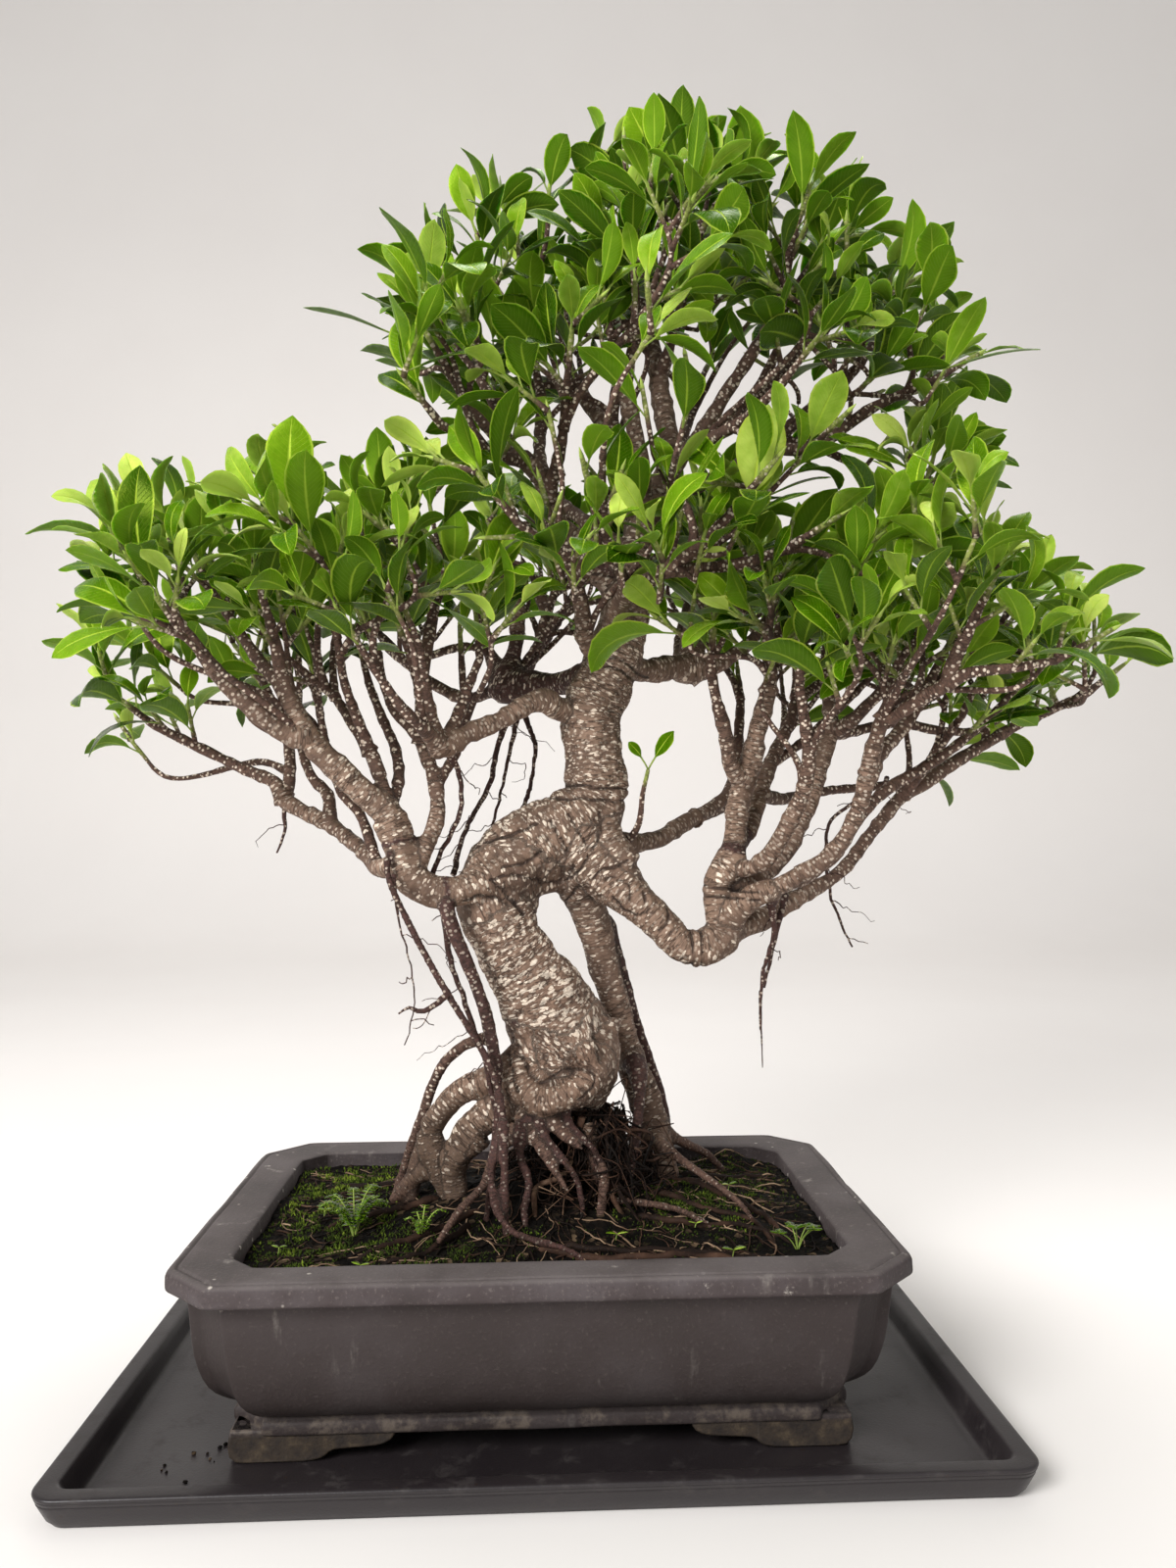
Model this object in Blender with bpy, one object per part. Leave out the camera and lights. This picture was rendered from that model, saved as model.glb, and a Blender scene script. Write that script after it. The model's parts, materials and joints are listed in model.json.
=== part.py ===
"""Ficus bonsai in an unglazed clay pot that stands on a plastic drip tray.

Sizes in this script are millimetres and the meshes are made in metres. +X is right, +Y is away from
the viewer and +Z is up. The origin lies on the table, under the middle of the pot. The tree is one
grown piece of wood with leafy sprays around it. Its limbs and roots follow routes chosen by hand, and
its twigs and leaves are placed by a rule with seeded random draws.
"""

import math
import random

import bmesh
import bpy
from mathutils import Matrix, Vector
from mathutils.bvhtree import BVHTree
from mathutils.kdtree import KDTree

MM = 0.001
GAP = 0.3            # clearance between pieces that touch

# Drip tray
TRAY_WIDTH = 565
TRAY_DEPTH = 400
TRAY_HEIGHT = 20
TRAY_FLOOR = 5
TRAY_RIM = 13
TRAY_CORNER = 16
TRAY_SHIFT_Y = 20    # the pot stands forward of the tray's middle
TRAY_LEVELS = [      # height, inset from the widest outline, cut of the corner radius
    (0, 9, 6), (4, 6, 4), (TRAY_HEIGHT - 3, 0.8, 1), (TRAY_HEIGHT - 1, 0, 0), (TRAY_HEIGHT, 1.2, 1),
    (TRAY_HEIGHT, TRAY_RIM - 1, 7), (TRAY_HEIGHT - 1.5, TRAY_RIM, 8), (TRAY_FLOOR + 2, TRAY_RIM + 5, 8),
    (TRAY_FLOOR, TRAY_RIM + 8, 8)]

# Pot
POT_WIDTH = 450
POT_DEPTH = 315
POT_TOP = 122
LIP_HEIGHT = 13
LEDGE = 35           # flat width of the rim
CANT = 30            # corner cut of the rim
FOOT_HEIGHT = 16
UNDERSIDE = TRAY_FLOOR + GAP + FOOT_HEIGHT
LEG_THICK = 26
LEG_INSETS = {"front": 1.6, "side": 2.4}      # how far the legs stand back from the base's edge
LEG_LENGTHS = {"front": 100, "side": 70}
BASE_WIDTH = 380
BASE_DEPTH = 245
BASE_CUT = 22        # corner cut of the base
BASE_NOTCH = 3
WALL_NOTCH = 5       # depth of the inward cut at each wall corner
WALL_LEVELS = [      # height over the underside, growth over the base, corner cut, notch
    (0, 0, BASE_CUT, BASE_NOTCH), (8, 0, BASE_CUT, BASE_NOTCH), (10, -6, 20, BASE_NOTCH),
    (13, 6, 24, WALL_NOTCH), (24, 26, 26, WALL_NOTCH), (46, 40, 27, WALL_NOTCH)]
WALL_UNDER_LIP = 20  # how much narrower the wall is than the lip
LIP_ROUND = 3.5
DRAIN_RADIUS = 10
DRAIN_X = 95
DRAIN_DEPTH = 40
POT_FLOOR = 33

# Soil
SOIL_EDGE = 111
POT_INSIDE = [       # height, width, depth and corner cut of the pot's inside
    (POT_FLOOR, 352, 220, 22), (62, 370, 237, 20), (SOIL_EDGE - 1, 378, 245, 18),
    (POT_TOP - 2, 380, 247, 18)]
SOIL_STEPS = (1.0, 0.78, 0.56, 0.36, 0.18)    # rings of the soil's top, as shares of its edge
SOIL_MOUND = 28
MOUND_X = 10
MOUND_Y = 5
SOIL_WAVE = 1.2
MOUND_REACH_X = 110
MOUND_REACH_Y = 80
HOLE_ROOM = 0.4      # clearance of the plain holes that roots and seedlings stand in
STEM_RADIUS = 0.9
STEM_DEPTH = 10      # how far a seedling's stem goes into the soil

# Tree
TREE_SEED = 21
ROUTE_STEP = 12      # spacing of the points along limbs and twigs
LEAFY_LENGTH = 40    # leafy end of a shoot
SHOOT_RADIUS = 1.5
TWIG_TAPER = 0.006   # growth of a twig's radius for each millimetre back from its tip
PIPE_POWER = 2.3     # how the radii of twigs add up where they join
TIP_SPACING = 38
SEARCH_REACH = 50    # how far wood is looked for around a place
TWIG_ROOM = 6.0      # least room between two twigs that grow past each other
SPRAY_SHOOTS = 7     # most shoots in one spray
THICK_RADIUS = 9     # limbs thicker than this carry no twigs
SHORTEST_TWIG = 24
LONGEST_TWIG = 190
LEAST_FORWARD = 0.1  # cosine between a limb and the flattest twig that may leave it
JOINT_TRIES = 8      # branching points that are tried for a new twig
SAMPLE_STEP = 5      # spacing of the places where a twig's room is tested
THIN_RADIUS = 4.6    # a thinner tube has three sides, drawn this much wider to keep its girth
THIN_SWELL = 1.25
SIDE_LIMITS = (9, 16, 26)    # a tube wider than each of these gets two more sides than four
CUT_ROOM = 2.8       # least room between a spray's lower end and the wood around it
CUT_REACH = 60       # furthest that a spray starts from its branching point
CUT_STEP = 2
CUT_MARGIN = 4       # least way between a spray's lower end and a corner of its path
WOOD_SLIM = 3.0      # how far slimmed routes may stray from the smooth ones
TWIG_SLIM = 4.6

# Leaves
LEAVES_A_SHOOT = 9
CAD_LEAVES = ((1, 4, 7), (2, 5), (3, 6))    # leaves kept on the first, second, third shoot and so on
GOLDEN_TURN = 137.5
LEAF_LENGTH = 46
PETIOLE = 9
LEAF_ROOM = 2.4      # least room between a blade and wood it does not grow from
LEAF_CLEAR = 0.8     # how much a blade is grown while it is tested against others
LEAF_TRIES = 9
BLADE_THICK = 1.3    # at the keel under the midrib
BLADE_HALF = 0.24    # half width of a blade as a share of its length
PETIOLE_HALF = 0.9

# Routes of the trunk and limbs: x, y, z and radius of each point, from the thick end on
TRUNK = [
    (29, 10, 100, 36), (29, 8, 136, 33), (27, 5, 179, 33), (24, 0, 214, 35), (9, -5, 246, 35),
    (-5, -8, 277, 30), (-24, -10, 308, 27), (-33, -8, 331, 28), (-22, -3, 359, 28), (5, 2, 377, 28),
    (27, 5, 389, 27), (39, 6, 406, 24), (39, 5, 434, 21), (37, 4, 465, 22), (49, 3, 497, 21),
    (61, 2, 529, 19), (62, 2, 558, 17), (69, 6, 583, 13), (78, 6, 610, 11), (88, 6, 632, 9.5),
    (98, 8, 655, 8.5), (96, 14, 679, 7.5), (92, 18, 701, 7.5), (90, 22, 723, 7), (87, 28, 750, 5),
    (82, 34, 778, 3.8), (79, 40, 811, 3), (81, 44, 838, 3)]

LIMBS = {
    "left": [(-8, -12, 355, 16), (-29, -26, 349, 12), (-55, -34, 340, 10.5), (-75, -38, 340, 11),
             (-89, -40, 349, 12), (-96, -40, 370, 12), (-103, -40, 390, 13), (-127, -48, 413, 9.5),
             (-142, -52, 428, 8.5), (-155, -56, 444, 8), (-164, -60, 463, 6.5), (-171, -62, 482, 5),
             (-174, -64, 500, 4), (-180, -62, 522, 3)],
    "left_second": [(-160, -56, 441, 6.5), (-177, -66, 451, 5.8), (-198, -74, 470, 5.5),
                    (-209, -76, 482, 5), (-221, -78, 499, 4), (-233, -80, 515, 3)],
    "left_third": [(-170, -60, 475, 4.5), (-193, -44, 500, 4), (-210, -36, 524, 3.4),
                   (-226, -30, 546, 2.7)],
    "left_low": [(-99, -36, 358, 8), (-113, -20, 355, 6.5), (-122, 0, 362, 5.6), (-141, 22, 376, 5.7),
                 (-157, 36, 386, 5.8), (-176, 46, 395, 5.9), (-194, 54, 406, 6.5), (-203, 58, 419, 5),
                 (-226, 62, 429, 4), (-263, 62, 447, 3.8), (-292, 56, 462, 3)],
    "left_low_up": [(-193, 54, 406, 6), (-192, 62, 426, 4.5), (-196, 74, 452, 3.8),
                    (-208, 84, 479, 3.1), (-221, 92, 502, 3)],
    "left_stub": [(-157, 36, 388, 5), (-160, 46, 409, 4.4), (-171, 54, 419, 3.8), (-182, 66, 438, 3.6),
                  (-188, 82, 466, 3.1)],
    "left_cross": [(-113, -20, 356, 4.4), (-128, -4, 392, 3.5), (-142, 8, 406, 3), (-153, 20, 428, 3),
                   (-161, 30, 456, 3), (-166, 34, 480, 2.9)],
    "left_up_a": [(-104, -40, 395, 8), (-110, -34, 417, 5.6), (-118, -28, 436, 4.4), (-132, -20, 456, 3.6),
                  (-145, -10, 475, 3.2), (-168, -4, 494, 2.8)],
    "left_up_b": [(-118, -28, 437, 4.4), (-127, -42, 463, 3.4), (-133, -50, 484, 2.9),
                  (-136, -56, 510, 2.6)],
    "left_up_c": [(-103, -40, 392, 7), (-99, -20, 418, 4.2), (-104, -6, 441, 3.6), (-114, 6, 462, 3.4),
                  (-126, 20, 490, 2.8)],
    "left_right": [(-89, -40, 352, 8), (-78, -36, 372, 6.2), (-72, -32, 388, 6.2), (-73, -26, 411, 5.6),
                   (-80, -20, 434, 4.8), (-89, -14, 451, 4.4), (-103, -10, 465, 3.5),
                   (-112, -6, 487, 3), (-116, -2, 508, 2.8)],
    "left_right_b": [(-86, -16, 446, 4.2), (-84, -28, 474, 3), (-88, -38, 496, 2.7)],
    "left_right_c": [(-73, -26, 411, 4.4), (-60, -14, 436, 3.4), (-54, -6, 462, 2.9), (-56, 0, 490, 2.7)],
    "second": [(30, 0, 466, 14), (14, -8, 467, 11), (2, -20, 472, 8.5), (-9, -28, 469, 7),
               (-27, -36, 457, 6.3), (-50, -44, 447, 6.7), (-68, -50, 438, 9), (-73, -56, 452, 5),
               (-76, -66, 475, 3.5), (-79, -74, 500, 2.8)],
    "second_b": [(-66, -50, 439, 6.6), (-58, -44, 456, 4), (-50, -40, 478, 3.4), (-42, -34, 500, 2.8)],
    "second_c": [(-69, -52, 440, 6.6), (-78, -72, 448, 4), (-92, -88, 463, 3.3), (-106, -98, 484, 2.6)],
    "back": [(40, 6, 494, 14), (26, 22, 492, 10), (10, 42, 492, 9), (-9, 58, 493, 13),
             (-26, 70, 498, 19), (-20, 72, 522, 8), (-17, 78, 549, 6.2), (-22, 84, 573, 5.5),
             (-28, 90, 596, 4.5)],
    "back_b": [(-26, 70, 498, 10), (-4, 84, 521, 4.8), (2, 94, 544, 4), (12, 106, 574, 3.2)],
    "back_c": [(-26, 70, 498, 10), (-41, 90, 525, 4.8), (-48, 106, 553, 4), (-58, 122, 583, 3.2)],
    "back_d": [(-26, 70, 496, 10), (-54, 84, 486, 5.4), (-76, 98, 494, 4.7), (-101, 112, 512, 4),
               (-124, 122, 532, 3.8)],
    "back_e": [(-26, 70, 498, 10), (-14, 96, 506, 6.3), (-2, 122, 530, 4.9), (18, 146, 561, 4)],
    "right": [(30, 2, 372, 22), (43, -2, 354, 21), (57, -6, 340, 18), (72, -10, 326, 14),
              (88, -12, 311, 12), (102, -12, 299, 12.5), (115, -10, 297, 14), (129, -8, 304, 13.5),
              (127, -8, 326, 11), (127, -6, 344, 11), (135, -4, 354, 12.5), (140, -2, 374, 9),
              (143, 0, 396, 8), (148, 2, 415, 8), (153, -2, 432, 8), (156, -6, 450, 7),
              (162, -10, 471, 6), (165, -14, 489, 4.6), (161, -20, 512, 3.6)],
    "right_up_left": [(147, 2, 413, 6), (136, -10, 430, 5.6), (131, -20, 449, 4.8), (124, -28, 470, 4.1),
                      (119, -34, 492, 3.4)],
    "right_middle": [(163, -12, 482, 4.4), (172, 0, 506, 3.6), (176, 8, 530, 3.2)],
    "right_dark": [(138, -2, 365, 8), (155, 18, 383, 6.5), (166, 34, 408, 5.9), (178, 48, 434, 5.3),
                   (192, 58, 458, 4.6), (202, 68, 484, 3.9), (204, 76, 512, 3.1)],
    "right_diag": [(177, 48, 431, 4), (200, 62, 445, 3.3), (226, 72, 466, 3.2), (252, 76, 490, 3.1)],
    "right_b0": [(137, -6, 352, 8), (151, -20, 354, 5.8), (163, -30, 367, 6.2), (173, -38, 388, 6),
                 (180, -46, 405, 5.4), (182, -54, 426, 4.7), (179, -62, 447, 4), (173, -70, 474, 3.3)],
    "right_b1": [(132, -6, 340, 9), (149, 2, 343, 6.6), (169, 6, 353, 5.8), (182, 8, 368, 5.8),
                 (192, 12, 388, 6.4), (202, 16, 409, 7.2), (209, 20, 431, 7.2), (218, 24, 455, 6.4),
                 (218, 28, 478, 5), (216, 32, 503, 3.7)],
    "right_b2": [(217, 24, 452, 5.2), (230, 12, 460, 5), (240, 4, 471, 4.6), (250, -2, 482, 4),
                 (262, -10, 504, 3.3)],
    "right_b3": [(217, 24, 452, 5), (238, 36, 455, 4), (259, 44, 460, 3.8), (282, 52, 463, 3.8),
                 (310, 60, 458, 3.6), (345, 70, 457, 3.1)],
    "right_b4": [(130, -8, 318, 12), (146, -20, 331, 9), (161, -26, 338, 7.6), (178, -32, 348, 6.8),
                 (195, -38, 358, 5.6), (209, -42, 374, 5.4), (219, -46, 395, 5.4), (224, -50, 417, 6.6),
                 (227, -56, 437, 5.4), (231, -62, 454, 4.7), (238, -68, 472, 3.8)],
    "right_b4b": [(225, -50, 420, 5), (239, -38, 436, 4.8), (252, -32, 448, 4.8), (265, -28, 464, 4.2),
                  (280, -24, 490, 3.4)],
    "right_b5": [(128, -8, 306, 13), (150, 4, 311, 8.6), (169, 14, 319, 7.2), (191, 22, 330, 6.5),
                 (212, 28, 340, 5.3), (231, 34, 353, 5.2), (248, 38, 373, 4.8), (266, 42, 393, 5.2),
                 (279, 46, 406, 5.3), (298, 50, 416, 5.3), (315, 54, 427, 5), (333, 56, 438, 4.6),
                 (350, 60, 447, 4.6), (377, 62, 462, 4), (404, 60, 474, 3.6), (430, 56, 486, 3.1)],
    "right_b5b": [(278, 46, 405, 4.6), (290, 32, 424, 3.6), (300, 20, 442, 3.2), (312, 8, 464, 2.9)],
    "right_b6": [(161, -26, 338, 6.5), (188, -12, 347, 5.6), (211, -6, 362, 4.9), (227, 0, 383, 4.3),
                 (246, 4, 403, 4.3), (264, 2, 416, 4.2), (284, -4, 428, 3.7), (306, -8, 444, 3.4),
                 (332, -8, 466, 3)],
    "right_far": [(166, 34, 407, 6), (186, 54, 404, 4.4), (206, 76, 408, 3.8), (234, 94, 412, 3.6),
                  (265, 106, 415, 3.4), (292, 114, 418, 3.4), (320, 122, 425, 3.3)],
    "right_stub": [(200, 66, 479, 4.2), (223, 86, 496, 3.9), (249, 104, 508, 4), (278, 116, 522, 3.3)],
    "right_high": [(230, -60, 450, 4.8), (248, -84, 464, 4), (262, -98, 474, 4.4), (275, -106, 480, 3.8),
                   (300, -114, 482, 3.2), (326, -118, 486, 2.6)],
    "right_high_b": [(262, -98, 475, 4.4), (266, -106, 490, 4.8), (273, -114, 508, 3.4)],
    "back_right": [(46, 8, 382, 13), (58, 24, 372, 8), (87, 46, 373, 6.7), (110, 62, 385, 6.8),
                   (132, 76, 396, 5.4), (150, 88, 409, 5.5), (160, 100, 430, 4.8), (164, 112, 459, 4),
                   (168, 124, 489, 3.6)],
    "back_right_b": [(118, 66, 389, 4.4), (142, 92, 396, 3.6), (163, 114, 408, 3.4), (186, 132, 430, 3.3),
                     (206, 146, 458, 3.2)],
    "upper_right": [(52, 4, 500, 14), (66, 8, 500, 10.5), (82, 22, 499, 8.5), (99, 34, 504, 9),
                    (117, 44, 505, 13), (116, 50, 527, 8), (122, 58, 551, 5.4), (129, 66, 578, 4.4)],
    "upper_right_b": [(117, 44, 505, 10), (138, 46, 508, 6), (150, 48, 516, 5.3), (166, 54, 529, 4.6),
                      (182, 60, 552, 3.6)],
    "upper_right_c": [(117, 46, 508, 9), (112, 72, 520, 6), (116, 96, 542, 4.7), (124, 118, 569, 4)],
    "centre": [(47, 0, 496, 12), (33, -18, 512, 6.6), (30, -27, 529, 5.6), (27, -35, 545, 5),
               (20, -46, 563, 4.6), (10, -56, 580, 3.8)],
    "centre_b": [(26, -38, 550, 4.6), (35, -54, 566, 3.6), (42, -68, 584, 3.2)],
    "apex_left": [(61, 2, 552, 16), (41, -8, 572, 12), (27, -14, 585, 10), (13, -20, 596, 8.6),
                  (5, -26, 613, 7), (1, -32, 628, 6.4), (-10, -38, 638, 5.6), (-22, -42, 645, 5.4),
                  (-34, -48, 656, 4.7), (-47, -54, 670, 4), (-60, -58, 690, 3.2)],
    "apex_left_low": [(-10, -38, 638, 4.6), (-26, -58, 633, 3.6), (-43, -74, 637, 3.3),
                      (-64, -90, 644, 2.7)],
    "apex_left_c": [(-20, -41, 644, 4.2), (-28, -32, 667, 3.5), (-35, -24, 688, 3.4), (-48, -18, 712, 2.8)],
    "apex_left_d": [(1, -32, 628, 5), (0, -16, 653, 4.3), (1, -2, 677, 4.2), (2, 6, 699, 3.7),
                    (-3, 12, 724, 3), (-8, 18, 752, 2.8)],
    "apex_front": [(5, -26, 614, 5), (12, -46, 633, 4.2), (16, -60, 652, 3.4), (18, -72, 676, 2.8)],
    "apex_back": [(70, 6, 586, 11.5), (68, 12, 617, 8.7), (62, 18, 648, 7.3), (56, 24, 673, 6.6),
                  (46, 32, 694, 5.9), (34, 40, 714, 5.2), (24, 46, 738, 3.8), (18, 52, 768, 3)],
    "apex_back_b": [(60, 20, 656, 6), (54, 0, 682, 4.4), (56, -10, 706, 3.6), (52, -18, 734, 2.9)],
    "apex_mid": [(76, 6, 603, 8), (75, -14, 624, 6.4), (70, -30, 648, 5.8), (64, -40, 668, 6.2),
                 (60, -47, 686, 5.2), (64, -56, 712, 3.4), (66, -64, 740, 2.8)],
    "apex_tip_b": [(91, 20, 718, 6), (98, 4, 742, 3.8), (104, -6, 764, 3.1), (110, -16, 796, 2.8)],
    "apex_right": [(92, 7, 640, 8), (108, -6, 658, 5.8), (123, -16, 676, 5), (133, -24, 692, 4.9),
                   (143, -30, 706, 4.4), (154, -36, 722, 4.2), (166, -42, 740, 4.6), (172, -46, 760, 3.4),
                   (175, -50, 786, 2.8)],
    "apex_right_b": [(96, 8, 652, 7), (130, 18, 678, 4.8), (153, 32, 700, 4), (176, 44, 722, 3.8),
                     (196, 54, 744, 3.2), (214, 62, 770, 3)],
    "apex_right_front": [(108, -6, 658, 5.4), (126, -36, 658, 4.2), (145, -60, 665, 3.5),
                         (162, -80, 678, 2.9)],
    "apex_low_right": [(84, 6, 624, 9), (108, 18, 634, 6.4), (134, 24, 647, 5.9), (162, 32, 665, 5.3),
                       (190, 40, 687, 5.2), (213, 46, 708, 4.6), (238, 52, 730, 4.4), (260, 58, 756, 3.6)],
    "apex_far_right": [(174, 36, 674, 5.3), (203, 20, 668, 4.6), (230, 10, 682, 4.4), (248, 4, 694, 3.8),
                       (270, -4, 702, 3.4), (290, -8, 710, 3)],
    "apex_rear": [(78, 6, 606, 7), (92, 40, 640, 5), (108, 66, 676, 4.3), (122, 88, 712, 3.6),
                  (132, 104, 748, 3)],
    "rear_left": [(69, 6, 580, 9), (48, 36, 606, 5.8), (26, 62, 630, 4.8), (4, 84, 656, 3.8),
                  (-16, 100, 684, 3)],
    "front": [(56, 0, 520, 14), (54, -34, 536, 7.8), (64, -54, 544, 6.2), (76, -72, 549, 5.2),
              (90, -88, 556, 4.5), (108, -104, 568, 3.7), (124, -116, 584, 3)],
    "front_b": [(60, -46, 541, 5.4), (54, -70, 552, 4.6), (46, -90, 563, 3.8), (36, -108, 580, 2.9)],
    "front_c": [(82, -79, 551, 4.6), (106, -84, 552, 3.9), (132, -90, 554, 3.7), (160, -96, 562, 3.1)],
    "front_d": [(55, -66, 551, 4.2), (30, -84, 558, 3.4), (8, -98, 562, 3.1), (-14, -110, 574, 2.7)]}

# Roots that leave the trunk or the limbs and end in the soil
ROOTS = {
    "column": [(22, 8, 352, 18), (31, 14, 336, 15), (37, 22, 318, 13), (45, 28, 289, 11.6),
               (56, 32, 247, 10.4), (65, 34, 212, 11), (76, 35, 182, 12.6), (84, 36, 152, 11.5),
               (88, 37, 122, 14)],
    "column_strand": [(47, 30, 324, 5), (71, 48, 238, 4.5), (83, 52, 201, 4.5), (92, 54, 169, 5),
                      (98, 56, 122, 4.5)],
    "aerial_left": [(-98, -40, 374, 5), (-103, -56, 356, 4), (-98, -60, 341, 4), (-87, -60, 318, 4),
                    (-73, -58, 291, 4), (-58, -57, 265, 4), (-42, -56, 239, 4), (-32, -56, 218, 4.6),
                    (-27, -60, 197, 4.5), (-25, -66, 165, 4), (-24, -74, 118, 3.8)],
    "aerial_left_b": [(-66, -36, 340, 6.5), (-63, -46, 325, 5.3), (-56, -48, 305, 5.2),
                      (-46, -46, 282, 4.8), (-36, -43, 249, 4.8), (-30, -42, 208, 4.6),
                      (-33, -46, 160, 4), (-38, -54, 118, 3.6)],
    "arch": [(-20, -20, 232, 7), (-36, -20, 236, 5), (-54, -14, 231, 4.4), (-66, -8, 221, 4),
             (-76, -2, 204, 4), (-86, 6, 176, 4), (-96, 12, 148, 4), (-106, 18, 116, 4)],
    "left_a": [(-8, -16, 220, 14), (-36, -20, 209, 8), (-52, -16, 202, 7), (-67, -12, 190, 6.8),
               (-78, -8, 172, 6.4), (-88, -4, 148, 6), (-94, 0, 116, 5.4)],
    "left_b": [(0, -14, 200, 18), (-26, -18, 190, 13), (-44, -18, 178, 11), (-56, -16, 162, 10.5),
               (-62, -14, 146, 10), (-58, -12, 116, 9)],
    "front_a": [(0, -24, 190, 14), (-12, -40, 182, 6.5), (-15, -50, 162, 4.5), (-9, -56, 148, 4),
                (-12, -62, 134, 4), (-10, -68, 112, 3.4)],
    "front_c": [(0, -22, 204, 14), (-4, -40, 184, 6), (6, -48, 170, 4.2), (22, -56, 150, 3.6),
                (28, -60, 118, 3.4)],
    "front_d": [(12, -22, 200, 12), (16, -32, 184, 5.4), (24, -36, 174, 4.4), (35, -38, 164, 3.8),
                (45, -40, 120, 3.6)],
    "front_wrap": [(-27, -60, 190, 5.5), (-34, -64, 160, 4.2), (-30, -76, 136, 4), (-20, -84, 126, 4),
                   (-2, -94, 122, 3.8), (16, -101, 119, 3.4), (34, -106, 107, 3.2)],
    "right_b": [(68, 24, 216, 10), (70, 4, 192, 4.6), (66, -8, 166, 4), (58, -18, 122, 3.8)],
    "right_c": [(80, 36, 162, 12), (104, 48, 146, 6), (128, 68, 130, 5), (148, 88, 106, 4)],
    "right_d": [(76, 30, 156, 14), (98, 0, 146, 6), (116, -20, 137, 4.8), (134, -38, 126, 4),
                (150, -54, 106, 3.4)]}

# Thin aerial roots that hang free or grow back into the wood
STRANDS = {
    "ball_strand": [(-18, 68, 490, 5), (-10, 64, 465, 2.6), (-4, 58, 448, 2.4), (-5, 50, 431, 2.4),
                    (-9, 40, 409, 2.4), (-16, 28, 392, 2.4), (-24, 16, 376, 3)],
    "pair": [(160, -24, 336, 4), (166, -10, 306, 2.4), (159, -6, 280, 2.2), (157, -4, 251, 2),
             (158, -4, 209, 1.6)]}

# Leaf pads: middle and half sizes of the ellipsoid that shoot tips lie on, and the count of tips
PADS = [
    ("top", (95, 0, 790), (105, 105, 75), 6),
    ("upper_left", (-20, -10, 735), (95, 100, 75), 4),
    ("upper_right", (235, 10, 735), (85, 100, 70), 4),
    ("far_right", (290, 5, 655), (55, 80, 45), 2),
    ("front", (95, -105, 615), (120, 60, 50), 4),
    ("left_outer", (-258, 0, 540), (75, 100, 65), 4),
    ("left_middle", (-150, -30, 580), (70, 110, 60), 3),
    ("left_inner", (-75, -35, 585), (60, 90, 55), 2),
    ("right", (295, 0, 535), (100, 115, 50), 4),
    ("right_outer", (395, 10, 505), (60, 80, 40), 3),
    ("right_middle", (190, -50, 575), (75, 90, 50), 3),
    ("back", (40, 140, 620), (150, 60, 70), 5),
    ("left_back", (-150, 120, 560), (90, 60, 50), 3),
    ("right_back", (230, 130, 560), (90, 60, 50), 3)]

# Seedlings in the moss: x, y, height and count of leaflet pairs
SEEDLINGS = {
    "seedling_left": (-124, -54, 30, 2),
    "seedling_middle": (-78, -72, 20, 1),
    "seedling_right": (162, -90, 20, 1)}


def clear_scene():
    """Remove every object so that the script can run twice."""
    for item in list(bpy.data.objects):
        bpy.data.objects.remove(item, do_unlink=True)


def make_collection(name):
    collection = bpy.data.collections.new(name)
    bpy.context.scene.collection.children.link(collection)
    return collection


def make_material(name, colour, roughness, metallic=0.0):
    material = bpy.data.materials.new(name)
    material.use_nodes = True
    shader = material.node_tree.nodes["Principled BSDF"]
    shader.inputs["Base Color"].default_value = (*colour, 1.0)
    shader.inputs["Roughness"].default_value = roughness
    shader.inputs["Metallic"].default_value = metallic
    material.diffuse_color = (*colour, 1.0)
    return material


def add_object(name, mesh, material, collection):
    item = bpy.data.objects.new(name, mesh)
    mesh.materials.clear()
    mesh.materials.append(material)
    collection.objects.link(item)
    return item


def baked_mesh(item):
    """Mesh of an object with its modifiers applied; the object itself is removed."""
    depsgraph = bpy.context.evaluated_depsgraph_get()
    mesh = bpy.data.meshes.new_from_object(item.evaluated_get(depsgraph))
    mesh.transform(item.matrix_world)
    bpy.data.objects.remove(item, do_unlink=True)
    return mesh


def cutter_objects(meshes, cutters):
    items = []
    for mesh in meshes:
        item = bpy.data.objects.new("piece", mesh)
        cutters.objects.link(item)
        item.display_type = "WIRE"
        item.hide_render = True
        items.append(item)
    return items


def boolean(base_mesh, meshes, operation, cutters):
    """One Boolean of a mesh with a whole collection of meshes."""
    items = cutter_objects(meshes, cutters)
    base = bpy.data.objects.new("base", base_mesh)
    bpy.context.scene.collection.objects.link(base)
    modifier = base.modifiers.new(operation.lower(), "BOOLEAN")
    modifier.operation = operation
    modifier.operand_type = "COLLECTION"
    modifier.collection = cutters
    modifier.solver = "MANIFOLD"
    result = baked_mesh(base)
    for item in items:
        bpy.data.objects.remove(item, do_unlink=True)
    return result


def main_body(mesh):
    """Keep the largest connected body, so that no scrap or sealed hollow is left."""
    work = bmesh.new()
    work.from_mesh(mesh)
    unseen = set(work.verts)
    bodies = []
    while unseen:
        front = [unseen.pop()]
        body = list(front)
        while front:
            for edge in front.pop().link_edges:
                for vertex in edge.verts:
                    if vertex in unseen:
                        unseen.remove(vertex)
                        front.append(vertex)
                        body.append(vertex)
        bodies.append(body)
    bodies.sort(key=len)
    for body in bodies[:-1]:
        bmesh.ops.delete(work, geom=body, context="VERTS")
    work.to_mesh(mesh)
    work.free()
    return mesh


def fused(meshes, cutters):
    if len(meshes) == 1:
        return meshes[0]
    return main_body(boolean(meshes[0], meshes[1:], "UNION", cutters))


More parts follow.
